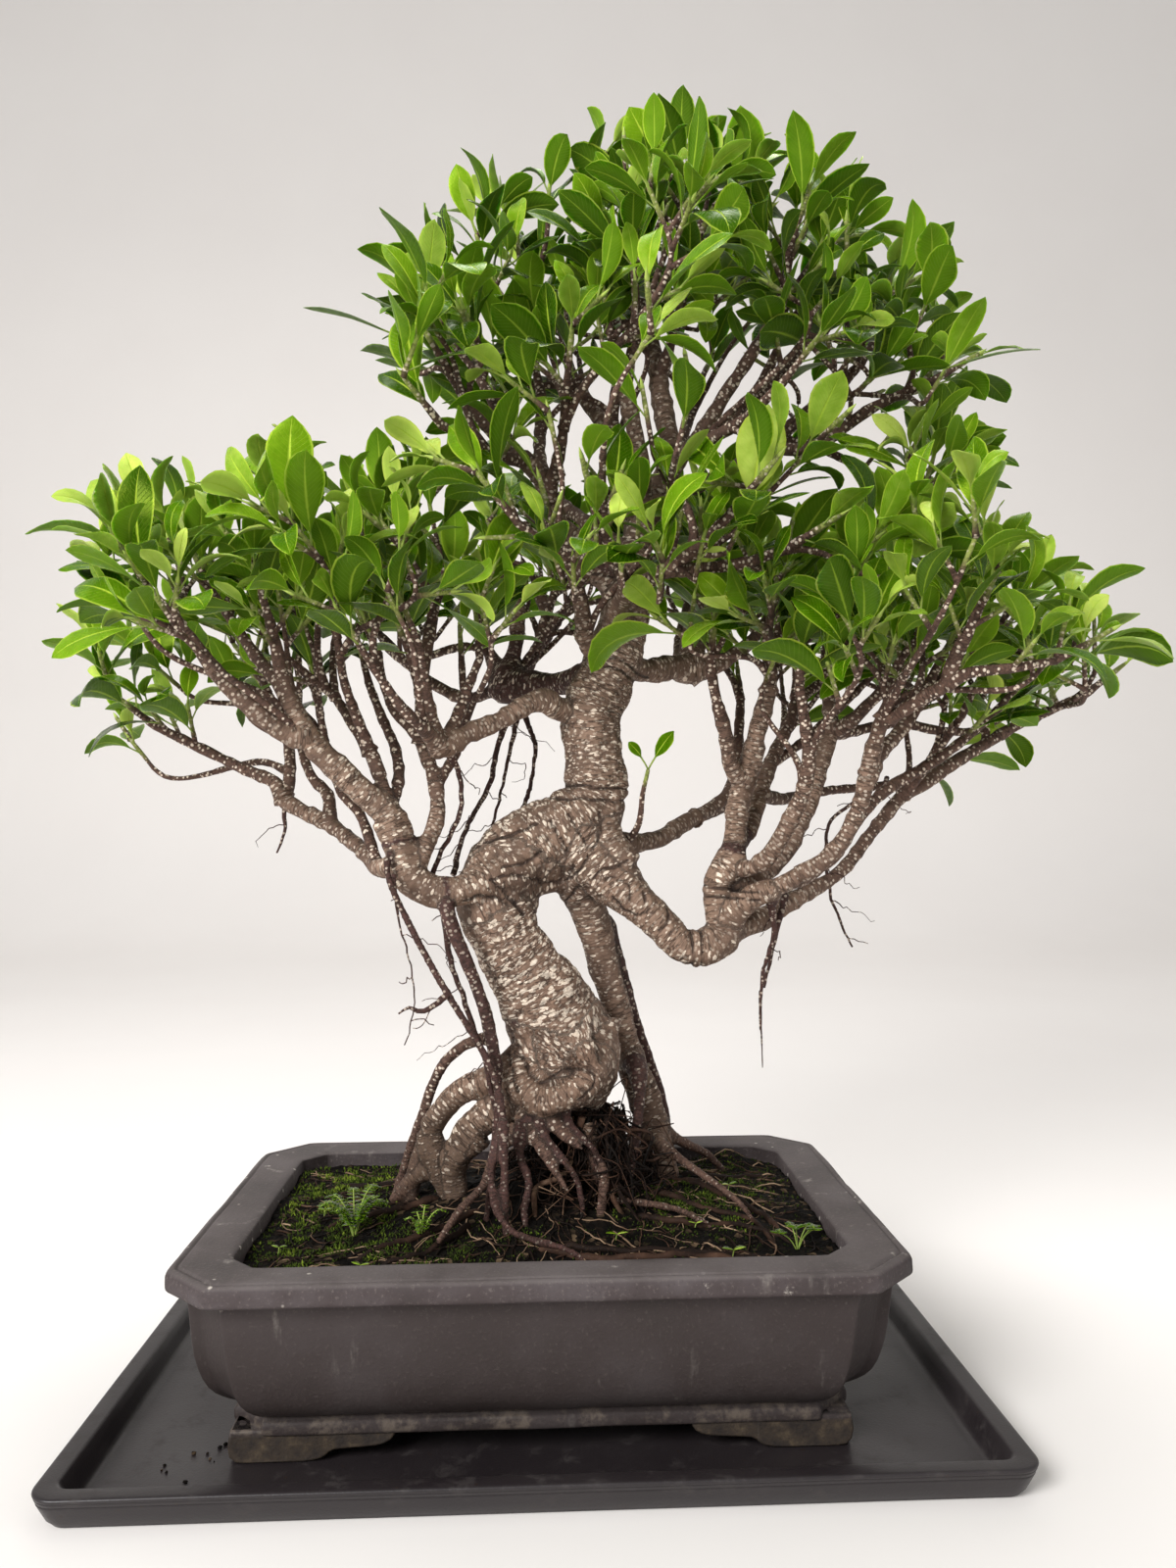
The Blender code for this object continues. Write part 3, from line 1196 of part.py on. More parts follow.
def place_leaves(tree, template):
    """Leaf frames of every tip that clash with no wood and no other leaf."""
    wood = tube_tree(tree)
    faces = [tuple(polygon.vertices) for polygon in template.polygons]
    placed = []
    found = {tip: [] for tip in tree.tips}
    for number in range(LEAVES_A_SHOOT):
        for order, tip in enumerate(tree.tips):
            if number not in CAD_LEAVES[order % len(CAD_LEAVES)]:
                continue
            draw = random.Random(tip * 100 + number)
            for _ in range(LEAF_TRIES):
                frame = leaf_frame(tree, tip, number, draw)
                places = blade_places(template, frame, LEAF_CLEAR, 0.2)
                box = box_of(places)
                blade = BVHTree.FromPolygons(places, faces)
                if blade.overlap(wood):
                    continue
                if any(boxes_meet(box, other[0]) and blade.overlap(other[1]) for other in placed):
                    continue
                placed.append((box, blade))
                found[tip].append(frame)
                break
    return found


def blade_mesh(template, frame):
    mesh = template.copy()
    for vertex, place in zip(mesh.vertices, blade_places(template, frame)):
        vertex.co = place * MM
    return welded(mesh)


def make_wood(runs, material, collection, cutters):
    return add_object("wood", fused(tube_meshes(runs), cutters), material, collection)


def make_spray(name, runs, frames, template, material, collection, cutters):
    """One leafy spray: its twigs and blades in one body. The cut end of its first twig stays put."""
    slimmed = [slim(run, TWIG_SLIM) for run in runs[1:]]
    first = runs[0]
    if len(first) > 2:
        slimmed.insert(0, first[:1] + slim(first[1:], TWIG_SLIM))
    else:
        slimmed.insert(0, first)
    meshes = tube_meshes(slimmed) + [blade_mesh(template, frame) for frame in frames]
    return add_object(name, fused(meshes, cutters), material, collection)


def lengthened(run, extra):
    """The run with both ends moved out."""
    first = run[0][0] + (run[0][0] - run[1][0]).normalized() * extra
    last = run[-1][0] + (run[-1][0] - run[-2][0]).normalized() * extra
    return [(first, run[0][1])] + run[1:-1] + [(last, run[-1][1])]


def seedling_parts(x, y, height, pairs, template):
    """Stem run and leaflet meshes of one seedling."""
    ground = soil_height(x, y)
    stem = [(Vector((x, y, ground - STEM_DEPTH)), STEM_RADIUS),
            (Vector((x + 1, y - 2, ground + height * 0.5)), STEM_RADIUS),
            (Vector((x + 2, y - 6, ground + height)), STEM_RADIUS)]
    leaflets = []
    for pair in range(pairs):
        share = (pair + 1) / pairs
        root = stem[1][0].lerp(stem[2][0], share) + Vector((0, 0, -1))
        for side in (-1, 1):
            direction = Vector((side, 0.3 - 0.5 * share, 0.5 * share)).normalized()
            leaflets.append(leaflet_mesh(template, root, direction, 11 - 2 * pair))
    return stem, leaflets


def leaflet_mesh(template, root, direction, length):
    """A small flat leaflet, shaped from the template sphere."""
    mesh = template.copy()
    across = direction.cross(Vector((0, 0, 1))).normalized()
    normal = across.cross(direction)
    for vertex in mesh.vertices:
        x, y, z = vertex.co
        place = root + direction * length * (z * 0.5 + 0.45) + across * length * 0.32 * x - normal * 0.7 * y
        vertex.co = place * MM
    return welded(mesh)


def make_seedlings(template, material, collection, cutters):
    stems = []
    for name, (x, y, height, pairs) in SEEDLINGS.items():
        stem, leaflets = seedling_parts(x, y, height, pairs, template)
        add_object(name, fused(tube_meshes([stem]) + leaflets, cutters), material, collection)
        stems.append(stem)
    return stems


def meets_soil(run):
    """True if any part of the run reaches into the soil."""
    for (start, first), (end, last) in zip(run, run[1:]):
        for part in range(7):
            place = start.lerp(end, part / 6)
            if place.z - max(first, last) < soil_height(place.x, place.y) + 1:
                return True
    return False


def make_soil(runs, material, collection, cutters):
    """Soil with plain holes for the trunk, the roots and the seedlings."""
    deep = [run for run in runs if meets_soil(run)]
    holes = tube_meshes([lengthened(run, HOLE_ROOM) for run in deep], HOLE_ROOM)
    mesh = main_body(boolean(soil_body(), holes, "DIFFERENCE", cutters))
    return add_object("soil", mesh, material, collection)


def main():
    clear_scene()
    collection = make_collection("ficus_bonsai")
    cutters = make_collection("cutters")
    clay = make_material("clay", (0.115, 0.095, 0.083), 0.85)
    plastic = make_material("tray_plastic", (0.09, 0.075, 0.07), 0.45)
    earth = make_material("soil", (0.035, 0.024, 0.014), 1.0)
    bark = make_material("bark", (0.25, 0.17, 0.11), 0.8)
    leaf = make_material("leaf", (0.07, 0.22, 0.03), 0.4)
    make_tray(plastic, collection)
    make_pot(clay, collection, cutters)
    tree = grow_tree()
    template = blade_template()
    wood, sprays = split_tree(tree)
    frames = place_leaves(tree, template)
    stems = make_seedlings(template, leaf, collection, cutters)
    make_soil(wood + stems, earth, collection, cutters)
    make_wood(wood, bark, collection, cutters)
    for number, (runs, tips) in enumerate(sprays):
        leaves = [frame for tip in tips for frame in frames[tip]]
        make_spray("spray_%02d" % (number + 1), runs, leaves, template, leaf, collection, cutters)


main()
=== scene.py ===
"""Looks of the ficus bonsai: fine wood with bark, leaves, clay pot, tray, soil, moss and rootlets.

Sizes are millimetres in the tables and metres in the meshes. The tree grows by the same rule and the
same seeded draws as in the part, so each fine spray lies where its solid is. More leaves are added
to each shoot afterwards.
"""

import json
import math
import random

import bmesh
import bpy
import numpy as np
from mathutils import Matrix, Vector, noise
from mathutils.bvhtree import BVHTree
from mathutils.kdtree import KDTree

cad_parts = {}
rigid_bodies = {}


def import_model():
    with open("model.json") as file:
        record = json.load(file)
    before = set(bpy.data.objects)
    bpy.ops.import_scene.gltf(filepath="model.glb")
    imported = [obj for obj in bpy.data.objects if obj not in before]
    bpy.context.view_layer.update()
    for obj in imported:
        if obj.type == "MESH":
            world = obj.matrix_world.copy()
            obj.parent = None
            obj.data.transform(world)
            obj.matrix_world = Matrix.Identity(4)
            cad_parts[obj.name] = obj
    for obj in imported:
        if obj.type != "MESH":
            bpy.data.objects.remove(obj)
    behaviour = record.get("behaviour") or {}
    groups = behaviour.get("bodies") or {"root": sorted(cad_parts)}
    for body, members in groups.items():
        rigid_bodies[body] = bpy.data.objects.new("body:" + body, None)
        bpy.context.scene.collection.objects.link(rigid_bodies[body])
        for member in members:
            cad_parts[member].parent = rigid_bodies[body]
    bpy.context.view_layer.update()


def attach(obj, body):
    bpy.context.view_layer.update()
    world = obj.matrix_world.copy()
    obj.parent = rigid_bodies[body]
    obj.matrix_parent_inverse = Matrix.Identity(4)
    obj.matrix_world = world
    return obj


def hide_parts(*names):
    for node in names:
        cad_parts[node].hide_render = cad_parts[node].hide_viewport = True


MM = 0.001
GAP = 0.3            # clearance between pieces that touch
CORNERS = ((1, 1), (-1, 1), (-1, -1), (1, -1))
TRAY_WIDTH = 565
TRAY_DEPTH = 400
TRAY_FLOOR = 5
TRAY_CORNER = 16
TRAY_SHIFT_Y = 20    # the pot stands forward of the tray's middle
POT_WIDTH = 450
POT_DEPTH = 315
POT_TOP = 122
FOOT_HEIGHT = 16
UNDERSIDE = TRAY_FLOOR + GAP + FOOT_HEIGHT
LEG_THICK = 26
LEG_EDGE = 1.6       # rounding of a leg's edges
LEG_INSETS = {"front": 1.6, "side": 2.4}      # how far the legs stand back from the base's edge
LEG_LENGTHS = {"front": 100, "side": 70}
BASE_WIDTH = 380
BASE_DEPTH = 245
NOTCH_ENDS = (0.16, 0.84)            # where a notch starts and ends along the cut of a corner
DRAIN_RADIUS = 10
DRAIN_X = 95
DRAIN_DEPTH = 40
POT_FLOOR = 33
SOIL_EDGE = 111
POT_INSIDE = [       # height, width, depth and corner cut of the pot's inside
    (POT_FLOOR, 352, 220, 22), (62, 370, 237, 20), (SOIL_EDGE - 1, 378, 245, 18),
    (POT_TOP - 2, 380, 247, 18)]
SOIL_MOUND = 28
MOUND_X = 10
MOUND_Y = 5
SOIL_WAVE = 1.2
WAVE_LENGTHS = (17, 13)
MOUND_REACH_X = 110
MOUND_REACH_Y = 80
TREE_SEED = 21
ROUTE_STEP = 12      # spacing of the points along limbs and twigs
LEAFY_LENGTH = 40    # leafy end of a shoot
SHOOT_RADIUS = 1.5
TWIG_TAPER = 0.006   # growth of a twig's radius for each millimetre back from its tip
PIPE_POWER = 2.3     # how the radii of twigs add up where they join
TIP_SPACING = 38
SEARCH_REACH = 50    # how far wood is looked for around a place
TWIG_ROOM = 6.0      # least room between two twigs that grow past each other
SPRAY_SHOOTS = 7     # most shoots in one spray
THICK_RADIUS = 9     # limbs thicker than this carry no twigs
SHORTEST_TWIG = 24
LONGEST_TWIG = 190
LEAST_FORWARD = 0.1  # cosine between a limb and the flattest twig that may leave it
FLAT_COST = 1.7      # cost of a millimetre of twig, less what its direction saves
FORWARD_GAIN = 0.4
SHOOT_GAIN = 0.3
LEAVE_ROOM = 10      # a twig runs this far beyond its parent's bark before it bends
OWN_ROOM = 14        # a twig needs no room nearer to its parent's bark than this
TWIG_PULL = 0.9
SHELL = (0.72, 1.0)  # tips lie in this outer part of a leaf pad
LOWEST_TIP = -0.3    # and not below this share of its height
JOINT_TRIES = 8      # branching points that are tried for a new twig
SAMPLE_STEP = 5      # spacing of the places where a twig's room is tested
CUT_ROOM = 2.8       # least room between a spray's lower end and the wood around it
CUT_REACH = 60       # furthest that a spray starts from its branching point
CUT_STEP = 2
CUT_MARGIN = 4       # least way between a spray's lower end and a corner of its path
CUT_SAMPLE = 3       # spacing of the places where a spray's room is tested
CUT_OVERLAP = 3      # how far a fine spray reaches back into its stub
LEAVES_A_SHOOT = 9
CAD_LEAVES = ((1, 4, 7), (2, 5), (3, 6))    # leaves kept on the first, second, third shoot and so on
GOLDEN_TURN = 137.5
TURN_PLAY = 14
SHOOT_TURN = 77      # each shoot starts its leaves this much further round
LEAF_TILTS = (26, 6.5, 8)            # tilt of the youngest leaf, growth for each older one, play
LEAF_STARTS = (0.8, 4.6)             # way below the tip of the youngest leaf and between two leaves
LEAF_AGES = (0.55, 0.11)             # size of the youngest leaf and growth for each older one
LEAF_LENGTH = 46
PETIOLE = 9
LEAF_ROOM = 2.4      # least room between a blade and wood it does not grow from
LEAF_CLEAR = 0.8     # how much a blade is grown while it is tested against others
LEAF_TRIES = 9
BLADE_THICK = 1.3    # at the keel under the midrib
BLADE_HALF = 0.24    # half width of a blade as a share of its length
PETIOLE_HALF = 0.9
TRUNK = [
    (29, 10, 100, 36), (29, 8, 136, 33), (27, 5, 179, 33), (24, 0, 214, 35), (9, -5, 246, 35),
    (-5, -8, 277, 30), (-24, -10, 308, 27), (-33, -8, 331, 28), (-22, -3, 359, 28), (5, 2, 377, 28),
    (27, 5, 389, 27), (39, 6, 406, 24), (39, 5, 434, 21), (37, 4, 465, 22), (49, 3, 497, 21),
    (61, 2, 529, 19), (62, 2, 558, 17), (69, 6, 583, 13), (78, 6, 610, 11), (88, 6, 632, 9.5),
    (98, 8, 655, 8.5), (96, 14, 679, 7.5), (92, 18, 701, 7.5), (90, 22, 723, 7), (87, 28, 750, 5),
    (82, 34, 778, 3.8), (79, 40, 811, 3), (81, 44, 838, 3)]
LIMBS = {
    "left": [
        (-8, -12, 355, 16), (-29, -26, 349, 12), (-55, -34, 340, 10.5), (-75, -38, 340, 11),
        (-89, -40, 349, 12), (-96, -40, 370, 12), (-103, -40, 390, 13), (-127, -48, 413, 9.5),
        (-142, -52, 428, 8.5), (-155, -56, 444, 8), (-164, -60, 463, 6.5), (-171, -62, 482, 5),
        (-174, -64, 500, 4), (-180, -62, 522, 3)],
    "left_second": [
        (-160, -56, 441, 6.5), (-177, -66, 451, 5.8), (-198, -74, 470, 5.5), (-209, -76, 482, 5),
        (-221, -78, 499, 4), (-233, -80, 515, 3)],
    "left_third": [
        (-170, -60, 475, 4.5), (-193, -44, 500, 4), (-210, -36, 524, 3.4), (-226, -30, 546, 2.7)],
    "left_low": [
        (-99, -36, 358, 8), (-113, -20, 355, 6.5), (-122, 0, 362, 5.6), (-141, 22, 376, 5.7),
        (-157, 36, 386, 5.8), (-176, 46, 395, 5.9), (-194, 54, 406, 6.5), (-203, 58, 419, 5),
        (-226, 62, 429, 4), (-263, 62, 447, 3.8), (-292, 56, 462, 3)],
    "left_low_up": [
        (-193, 54, 406, 6), (-192, 62, 426, 4.5), (-196, 74, 452, 3.8), (-208, 84, 479, 3.1),
        (-221, 92, 502, 3)],
    "left_stub": [
        (-157, 36, 388, 5), (-160, 46, 409, 4.4), (-171, 54, 419, 3.8), (-182, 66, 438, 3.6),
        (-188, 82, 466, 3.1)],
    "left_cross": [
        (-113, -20, 356, 4.4), (-128, -4, 392, 3.5), (-142, 8, 406, 3), (-153, 20, 428, 3),
        (-161, 30, 456, 3), (-166, 34, 480, 2.9)],
    "left_up_a": [
        (-104, -40, 395, 8), (-110, -34, 417, 5.6), (-118, -28, 436, 4.4), (-132, -20, 456, 3.6),
        (-145, -10, 475, 3.2), (-168, -4, 494, 2.8)],
    "left_up_b": [
        (-118, -28, 437, 4.4), (-127, -42, 463, 3.4), (-133, -50, 484, 2.9), (-136, -56, 510, 2.6)],
    "left_up_c": [
        (-103, -40, 392, 7), (-99, -20, 418, 4.2), (-104, -6, 441, 3.6), (-114, 6, 462, 3.4),
        (-126, 20, 490, 2.8)],
    "left_right": [
        (-89, -40, 352, 8), (-78, -36, 372, 6.2), (-72, -32, 388, 6.2), (-73, -26, 411, 5.6),
        (-80, -20, 434, 4.8), (-89, -14, 451, 4.4), (-103, -10, 465, 3.5), (-112, -6, 487, 3),
        (-116, -2, 508, 2.8)],
    "left_right_b": [(-86, -16, 446, 4.2), (-84, -28, 474, 3), (-88, -38, 496, 2.7)],
    "left_right_c": [(-73, -26, 411, 4.4), (-60, -14, 436, 3.4), (-54, -6, 462, 2.9), (-56, 0, 490, 2.7)],
    "second": [
        (30, 0, 466, 14), (14, -8, 467, 11), (2, -20, 472, 8.5), (-9, -28, 469, 7), (-27, -36, 457, 6.3),
        (-50, -44, 447, 6.7), (-68, -50, 438, 9), (-73, -56, 452, 5), (-76, -66, 475, 3.5),
        (-79, -74, 500, 2.8)],
    "second_b": [(-66, -50, 439, 6.6), (-58, -44, 456, 4), (-50, -40, 478, 3.4), (-42, -34, 500, 2.8)],
    "second_c": [(-69, -52, 440, 6.6), (-78, -72, 448, 4), (-92, -88, 463, 3.3), (-106, -98, 484, 2.6)],
    "back": [
        (40, 6, 494, 14), (26, 22, 492, 10), (10, 42, 492, 9), (-9, 58, 493, 13), (-26, 70, 498, 19),
        (-20, 72, 522, 8), (-17, 78, 549, 6.2), (-22, 84, 573, 5.5), (-28, 90, 596, 4.5)],
    "back_b": [(-26, 70, 498, 10), (-4, 84, 521, 4.8), (2, 94, 544, 4), (12, 106, 574, 3.2)],
    "back_c": [(-26, 70, 498, 10), (-41, 90, 525, 4.8), (-48, 106, 553, 4), (-58, 122, 583, 3.2)],
    "back_d": [
        (-26, 70, 496, 10), (-54, 84, 486, 5.4), (-76, 98, 494, 4.7), (-101, 112, 512, 4),
        (-124, 122, 532, 3.8)],
    "back_e": [(-26, 70, 498, 10), (-14, 96, 506, 6.3), (-2, 122, 530, 4.9), (18, 146, 561, 4)],
    "right": [
        (30, 2, 372, 22), (43, -2, 354, 21), (57, -6, 340, 18), (72, -10, 326, 14), (88, -12, 311, 12),
        (102, -12, 299, 12.5), (115, -10, 297, 14), (129, -8, 304, 13.5), (127, -8, 326, 11),
        (127, -6, 344, 11), (135, -4, 354, 12.5), (140, -2, 374, 9), (143, 0, 396, 8), (148, 2, 415, 8),
        (153, -2, 432, 8), (156, -6, 450, 7), (162, -10, 471, 6), (165, -14, 489, 4.6),
        (161, -20, 512, 3.6)],
    "right_up_left": [
        (147, 2, 413, 6), (136, -10, 430, 5.6), (131, -20, 449, 4.8), (124, -28, 470, 4.1),
        (119, -34, 492, 3.4)],
    "right_middle": [(163, -12, 482, 4.4), (172, 0, 506, 3.6), (176, 8, 530, 3.2)],
    "right_dark": [
        (138, -2, 365, 8), (155, 18, 383, 6.5), (166, 34, 408, 5.9), (178, 48, 434, 5.3),
        (192, 58, 458, 4.6), (202, 68, 484, 3.9), (204, 76, 512, 3.1)],
    "right_diag": [(177, 48, 431, 4), (200, 62, 445, 3.3), (226, 72, 466, 3.2), (252, 76, 490, 3.1)],
    "right_b0": [
        (137, -6, 352, 8), (151, -20, 354, 5.8), (163, -30, 367, 6.2), (173, -38, 388, 6),
        (180, -46, 405, 5.4), (182, -54, 426, 4.7), (179, -62, 447, 4), (173, -70, 474, 3.3)],
    "right_b1": [
        (132, -6, 340, 9), (149, 2, 343, 6.6), (169, 6, 353, 5.8), (182, 8, 368, 5.8), (192, 12, 388, 6.4),
        (202, 16, 409, 7.2), (209, 20, 431, 7.2), (218, 24, 455, 6.4), (218, 28, 478, 5),
        (216, 32, 503, 3.7)],
    "right_b2": [
        (217, 24, 452, 5.2), (230, 12, 460, 5), (240, 4, 471, 4.6), (250, -2, 482, 4),
        (262, -10, 504, 3.3)],
    "right_b3": [
        (217, 24, 452, 5), (238, 36, 455, 4), (259, 44, 460, 3.8), (282, 52, 463, 3.8),
        (310, 60, 458, 3.6), (345, 70, 457, 3.1)],
    "right_b4": [
        (130, -8, 318, 12), (146, -20, 331, 9), (161, -26, 338, 7.6), (178, -32, 348, 6.8),
        (195, -38, 358, 5.6), (209, -42, 374, 5.4), (219, -46, 395, 5.4), (224, -50, 417, 6.6),
        (227, -56, 437, 5.4), (231, -62, 454, 4.7), (238, -68, 472, 3.8)],
    "right_b4b": [
        (225, -50, 420, 5), (239, -38, 436, 4.8), (252, -32, 448, 4.8), (265, -28, 464, 4.2),
        (280, -24, 490, 3.4)],
    "right_b5": [
        (128, -8, 306, 13), (150, 4, 311, 8.6), (169, 14, 319, 7.2), (191, 22, 330, 6.5),
        (212, 28, 340, 5.3), (231, 34, 353, 5.2), (248, 38, 373, 4.8), (266, 42, 393, 5.2),
        (279, 46, 406, 5.3), (298, 50, 416, 5.3), (315, 54, 427, 5), (333, 56, 438, 4.6),
        (350, 60, 447, 4.6), (377, 62, 462, 4), (404, 60, 474, 3.6), (430, 56, 486, 3.1)],
    "right_b5b": [(278, 46, 405, 4.6), (290, 32, 424, 3.6), (300, 20, 442, 3.2), (312, 8, 464, 2.9)],
    "right_b6": [
        (161, -26, 338, 6.5), (188, -12, 347, 5.6), (211, -6, 362, 4.9), (227, 0, 383, 4.3),
        (246, 4, 403, 4.3), (264, 2, 416, 4.2), (284, -4, 428, 3.7), (306, -8, 444, 3.4),
        (332, -8, 466, 3)],
    "right_far": [
        (166, 34, 407, 6), (186, 54, 404, 4.4), (206, 76, 408, 3.8), (234, 94, 412, 3.6),
        (265, 106, 415, 3.4), (292, 114, 418, 3.4), (320, 122, 425, 3.3)],
    "right_stub": [(200, 66, 479, 4.2), (223, 86, 496, 3.9), (249, 104, 508, 4), (278, 116, 522, 3.3)],
    "right_high": [
        (230, -60, 450, 4.8), (248, -84, 464, 4), (262, -98, 474, 4.4), (275, -106, 480, 3.8),
        (300, -114, 482, 3.2), (326, -118, 486, 2.6)],
    "right_high_b": [(262, -98, 475, 4.4), (266, -106, 490, 4.8), (273, -114, 508, 3.4)],
    "back_right": [
        (46, 8, 382, 13), (58, 24, 372, 8), (87, 46, 373, 6.7), (110, 62, 385, 6.8), (132, 76, 396, 5.4),
        (150, 88, 409, 5.5), (160, 100, 430, 4.8), (164, 112, 459, 4), (168, 124, 489, 3.6)],
    "back_right_b": [
        (118, 66, 389, 4.4), (142, 92, 396, 3.6), (163, 114, 408, 3.4), (186, 132, 430, 3.3),
        (206, 146, 458, 3.2)],
    "upper_right": [
        (52, 4, 500, 14), (66, 8, 500, 10.5), (82, 22, 499, 8.5), (99, 34, 504, 9), (117, 44, 505, 13),
        (116, 50, 527, 8), (122, 58, 551, 5.4), (129, 66, 578, 4.4)],
    "upper_right_b": [
        (117, 44, 505, 10), (138, 46, 508, 6), (150, 48, 516, 5.3), (166, 54, 529, 4.6),
        (182, 60, 552, 3.6)],
    "upper_right_c": [(117, 46, 508, 9), (112, 72, 520, 6), (116, 96, 542, 4.7), (124, 118, 569, 4)],
    "centre": [
        (47, 0, 496, 12), (33, -18, 512, 6.6), (30, -27, 529, 5.6), (27, -35, 545, 5), (20, -46, 563, 4.6),
        (10, -56, 580, 3.8)],
    "centre_b": [(26, -38, 550, 4.6), (35, -54, 566, 3.6), (42, -68, 584, 3.2)],
    "apex_left": [
        (61, 2, 552, 16), (41, -8, 572, 12), (27, -14, 585, 10), (13, -20, 596, 8.6), (5, -26, 613, 7),
        (1, -32, 628, 6.4), (-10, -38, 638, 5.6), (-22, -42, 645, 5.4), (-34, -48, 656, 4.7),
        (-47, -54, 670, 4), (-60, -58, 690, 3.2)],
    "apex_left_low": [
        (-10, -38, 638, 4.6), (-26, -58, 633, 3.6), (-43, -74, 637, 3.3), (-64, -90, 644, 2.7)],
    "apex_left_c": [
        (-20, -41, 644, 4.2), (-28, -32, 667, 3.5), (-35, -24, 688, 3.4), (-48, -18, 712, 2.8)],
    "apex_left_d": [
        (1, -32, 628, 5), (0, -16, 653, 4.3), (1, -2, 677, 4.2), (2, 6, 699, 3.7), (-3, 12, 724, 3),
        (-8, 18, 752, 2.8)],
    "apex_front": [(5, -26, 614, 5), (12, -46, 633, 4.2), (16, -60, 652, 3.4), (18, -72, 676, 2.8)],
    "apex_back": [
        (70, 6, 586, 11.5), (68, 12, 617, 8.7), (62, 18, 648, 7.3), (56, 24, 673, 6.6), (46, 32, 694, 5.9),
        (34, 40, 714, 5.2), (24, 46, 738, 3.8), (18, 52, 768, 3)],
    "apex_back_b": [(60, 20, 656, 6), (54, 0, 682, 4.4), (56, -10, 706, 3.6), (52, -18, 734, 2.9)],
    "apex_mid": [
        (76, 6, 603, 8), (75, -14, 624, 6.4), (70, -30, 648, 5.8), (64, -40, 668, 6.2),
        (60, -47, 686, 5.2), (64, -56, 712, 3.4), (66, -64, 740, 2.8)],
    "apex_tip_b": [(91, 20, 718, 6), (98, 4, 742, 3.8), (104, -6, 764, 3.1), (110, -16, 796, 2.8)],
    "apex_right": [
        (92, 7, 640, 8), (108, -6, 658, 5.8), (123, -16, 676, 5), (133, -24, 692, 4.9),
        (143, -30, 706, 4.4), (154, -36, 722, 4.2), (166, -42, 740, 4.6), (172, -46, 760, 3.4),
        (175, -50, 786, 2.8)],
    "apex_right_b": [
        (96, 8, 652, 7), (130, 18, 678, 4.8), (153, 32, 700, 4), (176, 44, 722, 3.8), (196, 54, 744, 3.2),
        (214, 62, 770, 3)],
    "apex_right_front": [
        (108, -6, 658, 5.4), (126, -36, 658, 4.2), (145, -60, 665, 3.5), (162, -80, 678, 2.9)],
    "apex_low_right": [
        (84, 6, 624, 9), (108, 18, 634, 6.4), (134, 24, 647, 5.9), (162, 32, 665, 5.3),
        (190, 40, 687, 5.2), (213, 46, 708, 4.6), (238, 52, 730, 4.4), (260, 58, 756, 3.6)],
    "apex_far_right": [
        (174, 36, 674, 5.3), (203, 20, 668, 4.6), (230, 10, 682, 4.4), (248, 4, 694, 3.8),
        (270, -4, 702, 3.4), (290, -8, 710, 3)],
    "apex_rear": [
        (78, 6, 606, 7), (92, 40, 640, 5), (108, 66, 676, 4.3), (122, 88, 712, 3.6), (132, 104, 748, 3)],
    "rear_left": [
        (69, 6, 580, 9), (48, 36, 606, 5.8), (26, 62, 630, 4.8), (4, 84, 656, 3.8), (-16, 100, 684, 3)],
    "front": [
        (56, 0, 520, 14), (54, -34, 536, 7.8), (64, -54, 544, 6.2), (76, -72, 549, 5.2),
        (90, -88, 556, 4.5), (108, -104, 568, 3.7), (124, -116, 584, 3)],
    "front_b": [(60, -46, 541, 5.4), (54, -70, 552, 4.6), (46, -90, 563, 3.8), (36, -108, 580, 2.9)],
    "front_c": [(82, -79, 551, 4.6), (106, -84, 552, 3.9), (132, -90, 554, 3.7), (160, -96, 562, 3.1)],
    "front_d": [(55, -66, 551, 4.2), (30, -84, 558, 3.4), (8, -98, 562, 3.1), (-14, -110, 574, 2.7)]}
